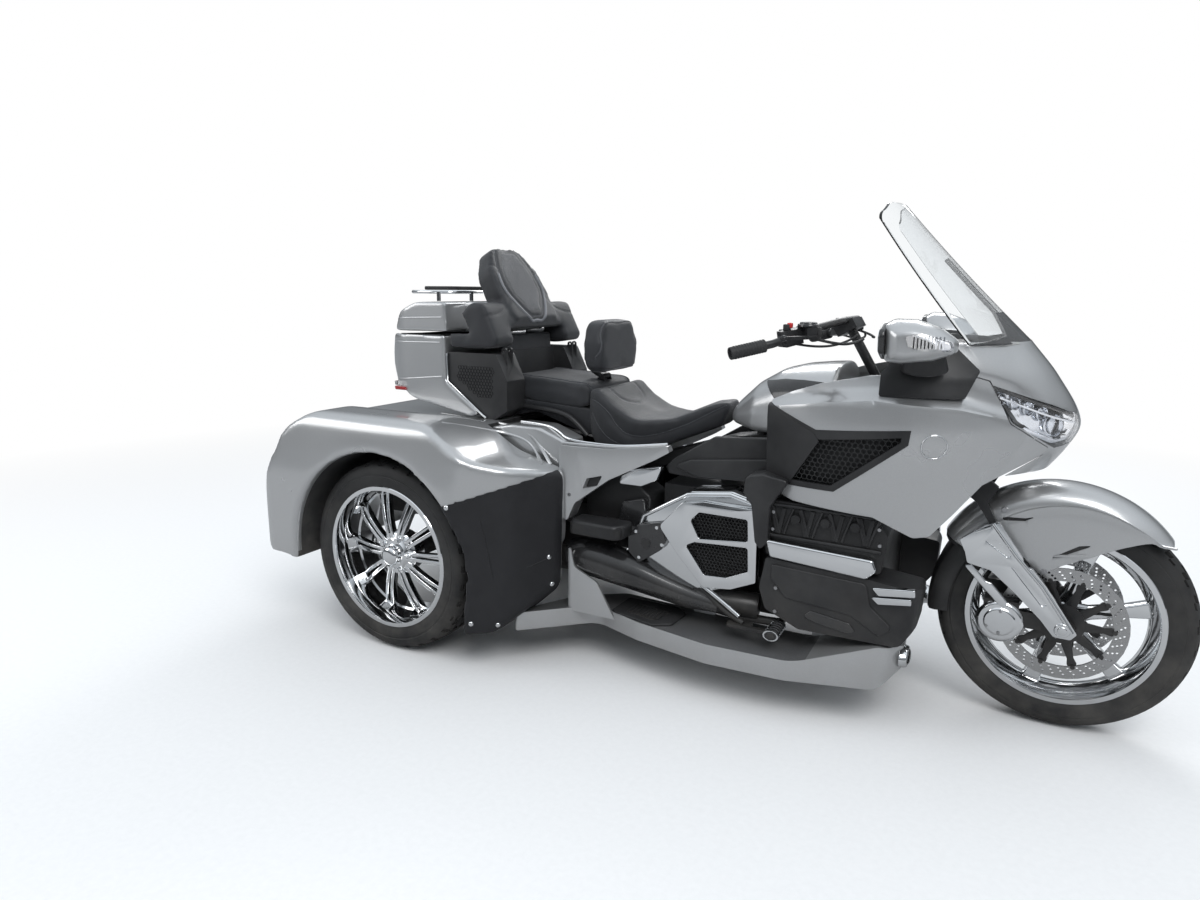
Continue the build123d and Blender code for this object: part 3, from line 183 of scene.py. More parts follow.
def makeLeatherGrain():
    # small closed cells with shallow creases between them
    group, given, made = newGroup("leatherGrain", [
        ("Vector", "NodeSocketVector", None), ("Scale", "NodeSocketFloat", 420.0),
        ("Color", "NodeSocketColor", (0.03, 0.03, 0.03, 1)),
        ("Rubbed Color", "NodeSocketColor", (0.08, 0.08, 0.08, 1)), ("Rubbing", "NodeSocketFloat", 0.3),
    ], [("Color", "NodeSocketColor"), ("Roughness", "NodeSocketFloat"), ("Height", "NodeSocketFloat")])
    nodes, links = group.nodes, group.links
    cells = nodes.new("ShaderNodeTexVoronoi")
    cells.feature = "DISTANCE_TO_EDGE"
    links.new(given["Vector"], cells.inputs["Vector"])
    links.new(given["Scale"], cells.inputs["Scale"])
    crease = rangeNode(nodes, links, cells.outputs["Distance"], 0.0, 0.16)
    broad = noiseNode(nodes, links, given["Vector"], 6.0, 5.0, 0.6)
    worn = mathNode(
        nodes, links, "MULTIPLY", rangeNode(nodes, links, broad, 0.42, 0.72), given["Rubbing"], True,
    )
    links.new(mixColour(nodes, links, worn, given["Color"], given["Rubbed Color"]), made["Color"])
    links.new(rangeNode(nodes, links, broad, 0.3, 0.7, 0.62, 0.46), made["Roughness"])
    links.new(crease, made["Height"])
    return group


def makeMetalFlake():
    # aluminium flake under a clear coat
    group, given, made = newGroup("metalFlake", [
        ("Vector", "NodeSocketVector", None), ("Color", "NodeSocketColor", (0.6, 0.6, 0.6, 1)),
        ("Roughness", "NodeSocketFloat", 0.3),
        ("Flake", "NodeSocketFloat", 0.12),
    ], [("Color", "NodeSocketColor"), ("Roughness", "NodeSocketFloat"), ("Height", "NodeSocketFloat")])
    nodes, links = group.nodes, group.links
    cells = nodes.new("ShaderNodeTexVoronoi")
    links.new(given["Vector"], cells.inputs["Vector"])
    cells.inputs["Scale"].default_value = 1400.0
    tone = nodes.new("ShaderNodeSeparateColor")
    links.new(cells.outputs["Color"], tone.inputs[0])
    broad = noiseNode(nodes, links, given["Vector"], 3.0, 3.0, 0.5)
    spark = mathNode(nodes, links, "MULTIPLY", tone.outputs[0], given["Flake"])
    bright = mixColour(nodes, links, 0.5, given["Color"], (1, 1, 1, 1))
    links.new(mixColour(nodes, links, spark, given["Color"], bright), made["Color"])
    links.new(
        mathNode(
            nodes, links, "ADD", given["Roughness"], rangeNode(nodes, links, broad, 0.3, 0.7, -0.03, 0.03),
        ),
        made["Roughness"],
    )
    links.new(tone.outputs[1], made["Height"])
    return group


def makeSmudge():
    # faint wipe marks on polished metal and glass
    group, given, made = newGroup("wipeMarks", [
        ("Vector", "NodeSocketVector", None), ("Color", "NodeSocketColor", (0.8, 0.8, 0.8, 1)),
        ("Roughness", "NodeSocketFloat", 0.06),
        ("Amount", "NodeSocketFloat", 0.08),
    ], [("Color", "NodeSocketColor"), ("Roughness", "NodeSocketFloat")])
    nodes, links = group.nodes, group.links
    broad = rangeNode(nodes, links, noiseNode(nodes, links, given["Vector"], 14.0, 6.0, 0.7), 0.45, 0.8)
    mark = mathNode(nodes, links, "MULTIPLY", broad, given["Amount"])
    links.new(mathNode(nodes, links, "ADD", given["Roughness"], mark), made["Roughness"])
    dull = mixColour(nodes, links, 0.35, given["Color"], (0.3, 0.3, 0.3, 1))
    links.new(mixColour(nodes, links, mark, given["Color"], dull), made["Color"])
    return group


roadDust = makeRoadDust()
mouldGrain = makeMouldGrain()
leatherGrain = makeLeatherGrain()
metalFlake = makeMetalFlake()
wipeMarks = makeSmudge()


# materials
def finish(name, settings, group, values, bump=0.0, distance=0.0004, dust=None):
    material = bpy.data.materials.new(name)
    material.use_nodes = True
    nodes, links = material.node_tree.nodes, material.node_tree.links
    shader = nodes["Principled BSDF"]
    for socket, value in settings.items():
        shader.inputs[socket].default_value = value
    place = nodes.new("ShaderNodeTexCoord").outputs["Object"]
    effect = nodes.new("ShaderNodeGroup")
    effect.node_tree = group
    links.new(place, effect.inputs["Vector"])
    for socket, value in values.items():
        effect.inputs[socket].default_value = value
    colour, rough = effect.outputs["Color"], effect.outputs["Roughness"]
    if dust:
        layer = nodes.new("ShaderNodeGroup")
        layer.node_tree = roadDust
        links.new(place, layer.inputs["Vector"])
        links.new(colour, layer.inputs["Color"])
        links.new(rough, layer.inputs["Roughness"])
        layer.inputs["Amount"].default_value, layer.inputs["Top"].default_value = dust
        colour, rough = layer.outputs["Color"], layer.outputs["Roughness"]
    links.new(colour, shader.inputs["Base Color"])
    links.new(rough, shader.inputs["Roughness"])
    if bump:
        relief = nodes.new("ShaderNodeBump")
        relief.inputs["Strength"].default_value = bump
        relief.inputs["Distance"].default_value = distance
        links.new(effect.outputs["Height"], relief.inputs["Height"])
        links.new(relief.outputs["Normal"], shader.inputs["Normal"])
    return material


silverPaint = finish(
    "silverPaint", {"Metallic": 0.7, "Coat Weight": 1.0, "Coat Roughness": 0.03},
    metalFlake, {"Color": (0.47, 0.475, 0.48, 1), "Roughness": 0.3, "Flake": 0.22}, 0.0, 0.0002,
    (0.25, 0.42),
)
chrome = finish(
    "polishedChrome", {"Metallic": 1.0}, wipeMarks, {"Color": (0.82, 0.83, 0.84, 1), "Roughness": 0.05},
    dust=(0.3, 0.4),
)
satinMetal = finish(
    "satinMetal", {"Metallic": 1.0}, wipeMarks, {"Color": (0.42, 0.42, 0.43, 1), "Roughness": 0.3},
    dust=(0.4, 0.5),
)
discSteel = finish(
    "discSteel", {"Metallic": 1.0}, wipeMarks, {"Color": (0.5, 0.5, 0.5, 1), "Roughness": 0.24},
    dust=(0.3, 0.5),
)
blackPlastic = finish(
    "blackPlastic", {}, mouldGrain, {"Color": (0.011, 0.011, 0.012, 1), "Roughness": 0.44, "Scale": 700.0},
    0.35, 0.0004, (0.16, 0.5),
)
glossBlack = finish(
    "glossBlack", {"Coat Weight": 0.5, "Coat Roughness": 0.05},
    mouldGrain, {"Color": (0.012, 0.012, 0.013, 1), "Roughness": 0.22, "Scale": 300.0}, 0.05, 0.0003,
    (0.3, 0.4),
)
blackSteel = finish(
    "blackSteel", {"Metallic": 0.2}, mouldGrain,
    {"Color": (0.013, 0.013, 0.014, 1), "Roughness": 0.36, "Scale": 500.0}, 0.15, 0.0003, (0.22, 0.6),
)
engineBlack = finish(
    "engineBlack", {"Metallic": 0.4}, mouldGrain,
    {"Color": (0.015, 0.015, 0.016, 1), "Roughness": 0.42, "Scale": 420.0}, 0.4, 0.0006, (0.22, 0.6),
)
tyreRubber = finish(
    "tyreRubber", {"Specular IOR Level": 0.35}, mouldGrain,
    {"Color": (0.012, 0.012, 0.0125, 1), "Roughness": 0.6, "Scale": 380.0},
    0.3, 0.0005, (0.2, 0.66),
)
gripRubber = finish(
    "gripRubber", {"Specular IOR Level": 0.35}, mouldGrain,
    {"Color": (0.02, 0.02, 0.021, 1), "Roughness": 0.6, "Scale": 800.0}, 0.5, 0.0004,
)
seatVinyl = finish(
    "seatVinyl", {"Sheen Weight": 0.15, "Specular IOR Level": 0.4},
    leatherGrain,
    {"Color": (0.017, 0.018, 0.021, 1), "Rubbed Color": (0.038, 0.04, 0.046, 1), "Scale": 520.0}, 0.35,
    0.0004,
)
seatPanel = finish(
    "seatPanel", {"Sheen Weight": 0.2, "Specular IOR Level": 0.35},
    leatherGrain,
    {"Color": (0.045, 0.047, 0.053, 1), "Rubbed Color": (0.075, 0.078, 0.086, 1), "Scale": 900.0}, 0.5,
    0.0004,
)
pipingGrey = finish(
    "pipingGrey", {"Specular IOR Level": 0.4},
    leatherGrain, {"Color": (0.16, 0.165, 0.18, 1), "Rubbed Color": (0.22, 0.22, 0.24, 1), "Scale": 900.0},
    0.3, 0.0003,
)
wrapVinyl = finish(
    "wrapVinyl", {"Specular IOR Level": 0.4},
    leatherGrain,
    {"Color": (0.013, 0.013, 0.015, 1), "Rubbed Color": (0.03, 0.03, 0.034, 1), "Scale": 380.0}, 0.5,
    0.0005,
)
screenGlass = finish(
    "screenGlass", {"Transmission Weight": 1.0, "IOR": 1.45}, wipeMarks,
    {"Color": (0.93, 0.95, 0.96, 1), "Roughness": 0.0, "Amount": 0.05},
)
smokeStrip = finish(
    "smokeStrip", {"Coat Weight": 0.3}, wipeMarks,
    {"Color": (0.02, 0.02, 0.022, 1), "Roughness": 0.2, "Amount": 0.1},
)
lampGlass = finish(
    "lampGlass", {"Transmission Weight": 1.0, "IOR": 1.4}, wipeMarks,
    {"Color": (0.97, 0.98, 1.0, 1), "Roughness": 0.0, "Amount": 0.02},
)
lampMirror = finish(
    "lampMirror", {"Metallic": 1.0}, wipeMarks, {"Color": (0.78, 0.8, 0.83, 1), "Roughness": 0.16},
)
redLens = finish(
    "redLens", {"Coat Weight": 1.0, "Coat Roughness": 0.02}, wipeMarks,
    {"Color": (0.35, 0.01, 0.012, 1), "Roughness": 0.15},
)
signalRed = finish("signalRed", {}, wipeMarks, {"Color": (0.5, 0.02, 0.02, 1), "Roughness": 0.35})
mirrorGlass = finish(
    "mirrorGlass", {"Metallic": 1.0}, wipeMarks, {"Color": (0.85, 0.87, 0.9, 1), "Roughness": 0.02},
)
print("materials made")


# mesh helpers
acrossTurn = Matrix.Rotation(math.pi / 2, 4, "X")  # lays a round along the cross axis


def linked(name, data):
    thing = bpy.data.objects.new(name, data)
    bpy.context.scene.collection.objects.link(thing)
    return thing


def newObject(name, bm):
    mesh = bpy.data.meshes.new(name)
    bm.to_mesh(mesh)
    bm.free()
    return linked(name, mesh)


def turnTo(normal):
    return normal.to_track_quat("Z", "Y").to_matrix().to_4x4()


def onlyVerts(made):
    return [v for v in made["geom"] if isinstance(v, bmesh.types.BMVert)]


def pushOut(bm, move):
    # gives the flat face a thickness
    made = bmesh.ops.extrude_face_region(bm, geom=bm.faces[:])
    bmesh.ops.translate(bm, verts=onlyVerts(made), vec=move)
    bmesh.ops.recalc_face_normals(bm, faces=bm.faces)


def addOtherSide(bm):
    # copies everything across Y 0
    made = bmesh.ops.duplicate(bm, geom=bm.verts[:] + bm.edges[:] + bm.faces[:])
    bmesh.ops.scale(bm, verts=onlyVerts(made), vec=(1, -1, 1))
    bmesh.ops.reverse_faces(bm, faces=[f for f in made["geom"] if isinstance(f, bmesh.types.BMFace)])


def addRound(bm, segments, base, tip, deep, matrix):
    bmesh.ops.create_cone(
        bm, segments=segments, radius1=base, radius2=tip, depth=deep, cap_ends=True, matrix=matrix,
    )


def applyAll(piece):
    graph = bpy.context.evaluated_depsgraph_get()
    made = bpy.data.meshes.new_from_object(piece.evaluated_get(graph))
    old = piece.data
    piece.modifiers.clear()
    piece.data = made
    bpy.data.meshes.remove(old)
    return piece


def smoothed(piece, degrees=32):
    piece.data.shade_smooth()
    piece.data.set_sharp_from_angle(angle=math.radians(degrees))
    return piece


def dress(piece, material, body="chassis", replaced=(), degrees=32):
    piece.data.materials.clear()
    piece.data.materials.append(material)
    if degrees:
        smoothed(piece, degrees)
    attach(piece, body)
    if replaced:
        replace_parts(piece, *replaced)
    return piece


def bevelled(piece, width, segments=2, degrees=30):
    edge = piece.modifiers.new("edge", "BEVEL")
    edge.width = width
    edge.segments = segments
    edge.limit_method = "ANGLE"
    edge.angle_limit = math.radians(degrees)
    edge.harden_normals = False
    return applyAll(piece)


def walled(piece, thickness, offset=-1):
    wall = piece.modifiers.new("wall", "SOLIDIFY")
    wall.thickness = thickness
    wall.offset = offset
    return applyAll(piece)


def cleanCopy(node, name=None):
    bm = bmesh.new()
    bm.from_mesh(cadNodes[node].data)
    bmesh.ops.remove_doubles(bm, verts=bm.verts, dist=0.00002)
    bmesh.ops.dissolve_limit(bm, angle_limit=math.radians(0.5), verts=bm.verts, edges=bm.edges)
    return newObject(name or node + "Shape", bm)


def roundedFace(bm, places, radii):
    # a flat face, each corner rounded by its own radius in metres
    verts = [bm.verts.new(place) for place in places]
    bm.faces.new(verts)
    spots = [v.co.copy() for v in verts]
    for i, (vertex, radius) in enumerate(zip(verts, radii)):
        if not radius:
            continue
        before, after = spots[i - 1] - vertex.co, spots[(i + 1) % len(spots)] - vertex.co
        turn = math.pi - before.normalized().angle(after.normalized())
        if turn < 0.02:
            continue
        reach = min(radius * math.tan(turn / 2), 0.49 * before.length, 0.49 * after.length)
        bmesh.ops.bevel(
            bm, geom=[vertex], offset=reach, offset_type="OFFSET", segments=max(2, int(turn / 0.12)),
            profile=0.5, affect="VERTICES", material=-1,
        )


def outlineFace(bm, points, axis, level, radius=0.0):
    # points in the drawing's mm: (x, z) across y, (y, z) across x, (x, y) across z; a third number is a
    # corner radius
    def placed(a, b):
        return {"y": at(a, level, b), "x": at(level, a, b), "z": at(a, b, level)}[axis]

    radii = [(p[2] if len(p) > 2 else radius) / 1000 for p in points]
    roundedFace(bm, [placed(p[0], p[1]) for p in points], radii)
    return bm


def prism(name, points, axis, low, high, radius=0.0):
    bm = outlineFace(bmesh.new(), points, axis, low, radius)
    heading = {"y": Vector((0, 1, 0)), "x": Vector((1, 0, 0)), "z": Vector((0, 0, 1))}[axis]
    pushOut(bm, heading * (high - low) / 1000)
    return newObject(name, bm)


def combine(piece, tool, operation, solver="EXACT"):
    cutter = piece.modifiers.new("cut", "BOOLEAN")
    cutter.operation = operation
    cutter.object = tool
    cutter.solver = solver
    applyAll(piece)
    bpy.data.objects.remove(tool)
    return piece


def carved(piece, tool):
    return combine(piece, tool, "DIFFERENCE", solver="MANIFOLD")


def keptIn(piece, tool):
    return combine(piece, tool, "INTERSECT", solver="MANIFOLD")


def joined(name, parts):
    bm = bmesh.new()
    for part in parts:
        bm.from_mesh(part.data)
        bpy.data.objects.remove(part)
    return newObject(name, bm)


def mirroredPair(piece):
    # adds the other side across Y 0
    bm = bmesh.new()
    bm.from_mesh(piece.data)
    addOtherSide(bm)
    bm.to_mesh(piece.data)
    bm.free()
    return piece


def remeshed(piece, size, smooth=8, factor=0.5):
    net = piece.modifiers.new("net", "REMESH")
    net.mode = "VOXEL"
    net.voxel_size = size
    if smooth:
        ease = piece.modifiers.new("ease", "SMOOTH")
        ease.factor = factor
        ease.iterations = smooth
    return applyAll(piece)


def spun(name, profile, centre, steps, axisY=1.0):
    # profile is (radius, across) in mm, turned round the cross axle at centre
    bm = bmesh.new()
    verts = [bm.verts.new(centre + Vector((r / 1000, across / 1000, 0))) for r, across in profile]
    for i, vert in enumerate(verts):
        bm.edges.new((vert, verts[(i + 1) % len(verts)]))
    bmesh.ops.spin(
        bm, geom=bm.verts[:] + bm.edges[:], cent=centre, axis=(0, axisY, 0), angle=2 * math.pi, steps=steps,
        use_merge=True,
    )
    bmesh.ops.remove_doubles(bm, verts=bm.verts, dist=0.00001)
    bmesh.ops.recalc_face_normals(bm, faces=bm.faces)
    return newObject(name, bm)


def curveMesh(name, curve):
    curve.use_fill_caps = True
    shape = linked(name + "Line", curve)
    graph = bpy.context.evaluated_depsgraph_get()
    mesh = bpy.data.meshes.new_from_object(shape.evaluated_get(graph))
    bpy.data.objects.remove(shape)
    return linked(name, mesh)


def tube(name, points, radius, smooth=True, closed=False, resolution=4, order=3):
    curve = bpy.data.curves.new(name, "CURVE")
    curve.dimensions = "3D"
    line = curve.splines.new("NURBS" if smooth else "POLY")
    line.points.add(len(points) - 1)
    for spot, point in zip(line.points, points):
        spot.co = (*point, 1)
    if smooth:
        line.order_u = order
        line.use_endpoint_u = not closed
        line.resolution_u = 8
    line.use_cyclic_u = closed
    curve.bevel_depth = radius / 1000
    curve.bevel_resolution = resolution
    return curveMesh(name, curve)


# stage and camera
viewpoint = {"place": (0.9422, -2.461, 1.2), "turn": -0.4884, "down": 0.198, "roll": 0.0078, "lens": 23.75}


def makeCamera():
    lens = bpy.data.cameras.new("camera")
    lens.sensor_width = 36
    lens.lens = viewpoint["lens"]
    lens.clip_end = 200
    eye = linked("camera", lens)
    turn = Matrix.Rotation(-viewpoint["turn"], 4, "Z")
    tip = Matrix.Rotation(math.pi / 2 - viewpoint["down"], 4, "X")
    roll = Matrix.Rotation(viewpoint["roll"], 4, "Z")
    eye.matrix_world = Matrix.Translation(viewpoint["place"]) @ turn @ tip @ roll
    bpy.context.scene.camera = eye


def makeFloor():
    bm = bmesh.new()
    bmesh.ops.create_grid(bm, x_segments=2, y_segments=2, size=40)
    floor = newObject("floor", bm)
    material = bpy.data.materials.new("paleFloor")
    material.use_nodes = True
    nodes, links = material.node_tree.nodes, material.node_tree.links
    shader = nodes["Principled BSDF"]
    shader.inputs["Roughness"].default_value = 0.8
    shader.inputs["Specular IOR Level"].default_value = 0.2
    place = nodes.new("ShaderNodeTexCoord").outputs["Object"]
    speck = rangeNode(nodes, links, noiseNode(nodes, links, place, 60.0, 6.0, 0.7), 0.3, 0.7, 0.86, 0.9)
    tint = nodes.new("ShaderNodeCombineColor")
    for socket in tint.inputs:
        links.new(speck, socket)
    path = nodes.new("ShaderNodeLightPath")
    # the polished parts see a darker floor than the camera does
    dark = mathNode(nodes, links, "MULTIPLY", path.outputs["Is Glossy Ray"], 0.55)
    links.new(
        mixColour(nodes, links, dark, tint.outputs[0], (0.05, 0.05, 0.055, 1)), shader.inputs["Base Color"],
    )
    far = nodes.new("ShaderNodeVectorMath")
    far.operation = "LENGTH"
    links.new(place, far.inputs[0])
    fade = rangeNode(nodes, links, far.outputs["Value"], 2.2, 5.5)
    seen = mathNode(
        nodes, links, "MAXIMUM", path.outputs["Is Camera Ray"], path.outputs["Is Transmission Ray"],
    )
    glow = nodes.new("ShaderNodeEmission")
    glow.inputs["Strength"].default_value = 1.0
    choice = nodes.new("ShaderNodeMixShader")
    links.new(mathNode(nodes, links, "MULTIPLY", seen, fade), choice.inputs[0])
    links.new(shader.outputs[0], choice.inputs[1])
    links.new(glow.outputs[0], choice.inputs[2])
    links.new(choice.outputs[0], nodes["Material Output"].inputs["Surface"])
    floor.data.materials.append(material)


def makeLight(name, place, target, size, power, colour=(1, 1, 1)):
    lamp = bpy.data.lights.new(name, "AREA")
    lamp.shape = "RECTANGLE"
    lamp.size, lamp.size_y = size
    lamp.energy = power
    lamp.color = colour
    holder = linked(name, lamp)
    aim = (Vector(target) - Vector(place)).to_track_quat("-Z", "Y")
    holder.matrix_world = Matrix.Translation(place) @ aim.to_matrix().to_4x4()


def makeWorld():
    world = bpy.data.worlds.new("studio")
    bpy.context.scene.world = world
    world.use_nodes = True
    nodes, links = world.node_tree.nodes, world.node_tree.links
    nodes.clear()
    path = nodes.new("ShaderNodeLightPath")
    seen = mathNode(
        nodes, links, "MAXIMUM", path.outputs["Is Camera Ray"], path.outputs["Is Transmission Ray"],
    )
    split = nodes.new("ShaderNodeSeparateXYZ")
    links.new(nodes.new("ShaderNodeTexCoord").outputs["Generated"], split.inputs[0])
    # dim round the horizon, so that the chrome has something dark to show
    soft = nodes.new("ShaderNodeBackground")
    soft.inputs["Color"].default_value = (0.88, 0.94, 1.0, 1)
    links.new(rangeNode(nodes, links, split.outputs["Z"], 0.05, 0.75, 0.07, 0.95), soft.inputs["Strength"])
    white = nodes.new("ShaderNodeBackground")
    white.inputs["Strength"].default_value = 1.0
    white.inputs["Color"].default_value = (1, 1, 1, 1)
    choice = nodes.new("ShaderNodeMixShader")
    out = nodes.new("ShaderNodeOutputWorld")
    links.new(seen, choice.inputs[0])
    links.new(soft.outputs[0], choice.inputs[1])
    links.new(white.outputs[0], choice.inputs[2])
    links.new(choice.outputs[0], out.inputs["Surface"])


makeCamera()
makeFloor()
makeWorld()
makeLight("keyLight", (2.6, -3.4, 4.6), (0, 0, 0.5), (2.6, 2.6), 135)
makeLight("fillLight", (-4.2, -2.8, 2.6), (-0.2, 0, 0.5), (2.4, 2.4), 46)
makeLight("backLight", (-0.5, 4.4, 3.6), (0, 0, 0.6), (3.2, 2.0), 90)
bpy.context.scene.view_settings.view_transform = "Standard"
print("stage and camera ready")


# wheels
record = frame["record"]
bodyOf = {node: body for body, nodes in record["behaviour"]["bodies"].items() for node in nodes}
slotOf = {entry["node"]: entry["material_slot"] for entry in record["subparts"]}
frontAxle = at(1075, 0, 320)
rearAxles = {"left": at(-895, 473, 325), "right": at(-895, -473, 325)}


def ringSpread(bm, count, start=None):
    # repeats what is in the bmesh round the cross axle at the origin
    bmesh.ops.spin(
        bm, geom=start or bm.verts[:] + bm.edges[:] + bm.faces[:], cent=(0, 0, 0), axis=(0, 1, 0),
        angle=2 * math.pi * (count - 1) / count, steps=count - 1, use_duplicate=True,
    )


def radialPlate(outline, low, high, rounding=0.0, segments=3):
    # outline is (out along the radius, sideways) in mm; the plate lies between two places across
    bm = bmesh.new()
    bm.faces.new([bm.verts.new((r / 1000, low / 1000, t / 1000)) for r, t in outline])
    pushOut(bm, (0, (high - low) / 1000, 0))
    if rounding:
        bmesh.ops.bevel(
            bm, geom=bm.edges[:], offset=rounding / 1000, offset_type="OFFSET", segments=segments,
            profile=0.5,
            affect="EDGES", clamp_overlap=True, material=-1,
        )
    return bm


def wheelRing(name, profile, steps=96):
    return spun(name, profile, Vector((0, 0, 0)), steps)


def settle(piece, centre):
    piece.data.transform(Matrix.Translation(centre))
    return piece


frontTyre = {
    "steps": 90, "lean": 1.5, "groove": 5.0,
    "profile": [
        (236.3, 49), (238, 55), (246, 60), (262, 63.2), (280, 64), (282, 62.6), (285, 62.8), (290, 62.4),
        (300, 57), (304, 53.5),
        (309, 46), (313, 37), (316.5, 26), (319, 13), (320, 0),
    ],
}
rearTyre = {
    "steps": 96, "lean": 0.0, "groove": 5.0,
    "profile": [
        (236.3, 92), (238, 98), (246, 103), (258, 106), (264, 107), (276, 107), (278, 105.5), (282, 105.7),
        (284, 107), (290, 106.4),
        (300, 103.5), (309, 98), (314, 92), (318, 84), (320.5, 70), (322, 58), (316, 56), (316, 48),
        (323, 46), (324, 24), (318, 22),
        (318, 14), (325, 12), (325, 0),
    ],
}


def makeTyre(name, form, centre, body, node):
    upper = form["profile"]
    profile = upper + [(r, -across) for r, across in reversed(upper[:-1])]
    tyre = wheelRing(name, profile, form["steps"])
    bm = bmesh.new()
    bm.from_mesh(tyre.data)
    outer = upper[-1][0] / 1000
    turn = form["lean"]
    for vert in bm.verts:  # the tread's slots lean back from the middle
        radius = math.hypot(vert.co.x, vert.co.z)
        if turn and radius > outer * 0.94:
            spin = Matrix.Rotation(-turn * abs(vert.co.y), 3, "Y")
            vert.co = spin @ vert.co
    bm.faces.ensure_lookup_table()
    slots = []
    for face in bm.faces:
        middle = face.calc_center_median()
        radius = math.hypot(middle.x, middle.z)
        place = round(
            (math.atan2(middle.z, middle.x) + (turn * abs(middle.y))) / (2 * math.pi) * form["steps"]
        )
        shoulder = outer * 0.955 < radius < outer * 0.999
        if shoulder and place % 3 == 0 and face.calc_area() > 4e-5:
            slots.append(face)
    bmesh.ops.inset_individual(
        bm, faces=slots, thickness=0.0016, depth=-form["groove"] / 1000, use_even_offset=True,
    )
    bm.to_mesh(tyre.data)
    bm.free()
    settle(tyre, centre)
    return dress(tyre, tyreRubber, body, (node,), 28)


makeTyre("frontTyre", frontTyre, frontAxle, "front_wheel", "front_tyre")
for side in ("left", "right"):
    makeTyre("rearTyre_" + side, rearTyre, rearAxles[side], "rear_wheel_" + side, "rear_tyre_" + side)

rearRim = {
    "spokes": 10, "ribHalf": 6.2, "hubReach": 54, "rimReach": 219, "hubSpread": 8, "rimSpread": 13.5,
    "crown": 57, "drop": 34,
    "barrel": [
        (228, 104), (232, 104.6), (241, 104.6), (243, 102.5), (243, 99.8), (236.0, 92.6), (220, 62.6),
        (220, -62.6), (236, -92.6), (243, -99.8),
        (243, -104.6), (232, -104.6), (226, -98), (212, -62), (212, 2), (219, 6), (221, 18), (222.5, 60),
        (225, 92),
    ],
    "hub": [
        (14, -20), (60, -20), (72, -8), (76, 14), (76, 40), (70, 48), (60, 52), (50, 58), (46, 62),
        (36, 63), (34, 70), (33, 84), (28, 91),
        (20, 94.5), (12, 95.6), (0.01, 96), (0.01, 52), (14, 50),
    ],
}


def makeRearRim(name, side, centre, body, node):
    form = rearRim
    parts = [wheelRing("barrel", form["barrel"], 128), wheelRing("hub", form["hub"], 40)]
    for lean in (1, -1):
        inner, outer, half = lean * form["hubSpread"], lean * form["rimSpread"], form["ribHalf"]
        steps = 7
        reach = [
            form["hubReach"] + (form["rimReach"] - form["hubReach"]) * i / steps for i in range(steps + 1)
        ]
        spread = [inner + (outer - inner) * i / steps for i in range(steps + 1)]
        outline = [(r, t - half) for r, t in zip(reach, spread)] + [
            (r, t + half) for r, t in zip(reversed(reach), reversed(spread))
        ]
        bm = radialPlate(outline, form["crown"] - 24, form["crown"], 2.6, 3)
        ringSpread(bm, form["spokes"])
        parts.append(newObject("rib", bm))
    for reach, width in ((form["hubReach"] + 8, 13), (form["rimReach"] - 6, 19)):  # webs close each slot
        bm = radialPlate(
            [(reach - 11, -width), (reach + 9, -width), (reach + 9, width), (reach - 11, width)],
            form["crown"] - 22, form["crown"] - 2, 2,
        )
        ringSpread(bm, form["spokes"])
        parts.append(newObject("web", bm))
    wells = bmesh.new()
    bmesh.ops.create_cone(wells, segments=24, radius1=0.008, radius2=0.0065, depth=0.03, cap_ends=True)
    bmesh.ops.rotate(wells, cent=(0, 0, 0), matrix=Matrix.Rotation(math.pi / 2, 3, "X"), verts=wells.verts)
    bmesh.ops.translate(wells, verts=wells.verts, vec=(0.055, 0.058, 0))
    ringSpread(wells, 5)
    rim = joined(name, parts)
    for vert in rim.data.vertices:  # the spokes fall away from the hub towards the barrel
        radius = math.hypot(vert.co.x, vert.co.z) * 1000
        if 78 < radius < 219.5 and vert.co.y > 0.02:
            ease = (radius - 78) / (219 - 78)
            vert.co.y -= form["drop"] / 1000 * ease ** 1.6
    nuts = newObject("nuts", wells)
    rim = joined(name, [rim, nuts])
    rim.data.name = name
    if side < 0:
        rim.data.transform(Matrix.Scale(-1, 4, (0, 1, 0)))
        rim.data.flip_normals()
    settle(rim, centre)
    return dress(rim, chrome, body, (node,), 34)


makeRearRim("rearRim_left", 1, rearAxles["left"], "rear_wheel_left", "rear_rim_left")
makeRearRim("rearRim_right", -1, rearAxles["right"], "rear_wheel_right", "rear_rim_right")

frontRim = {
    "spokes": 6, "reach": (30, 219), "halfWidth": (27, 17, 24),
    "barrel": [
        (228, 61.6), (241, 61.6), (243, 60), (243, 56.8), (236, 49.6), (220, 19.6), (220, -19.6),
        (236, -49.6), (243, -56.8), (243, -60),
        (241, -61.6), (228, -61.6), (224, -56), (212, -24), (206, -14), (206, 14), (212, 24), (224, 56),
    ],
    "hub": [
        (12.1, -76), (34, -76), (34, -40), (40, -20), (42, 0), (40, 20), (34, 40), (34, 76), (12.1, 76),
    ],
}


def makeFrontRim():
    form = frontRim
    parts = [wheelRing("barrel", form["barrel"], 128), wheelRing("hub", form["hub"], 48)]
    near, far = form["reach"]
    wide, waist, flare = form["halfWidth"]
    outline = [
        (near, -wide), (near + 40, -waist), (far - 60, -waist), (far, -flare), (far, flare),
        (far - 60, waist), (near + 40, waist), (near, wide),
    ]
    bm = radialPlate(outline, -17, 17, 5, 4)
    ringSpread(bm, form["spokes"])
    bmesh.ops.rotate(bm, cent=(0, 0, 0), matrix=Matrix.Rotation(math.radians(-15), 3, "Y"), verts=bm.verts)
    parts.append(newObject("spokes", bm))
    rim = joined("frontRim", parts)
    settle(rim, frontAxle)
    return dress(rim, chrome, "front_wheel", ("front_rim",), 34)


makeFrontRim()

frontDiscs = {
    "outer": 158, "inner": 122, "thick": 5, "place": 76, "sectors": 36, "arms": 10,
    "holes": (129, 137.5, 146),
}


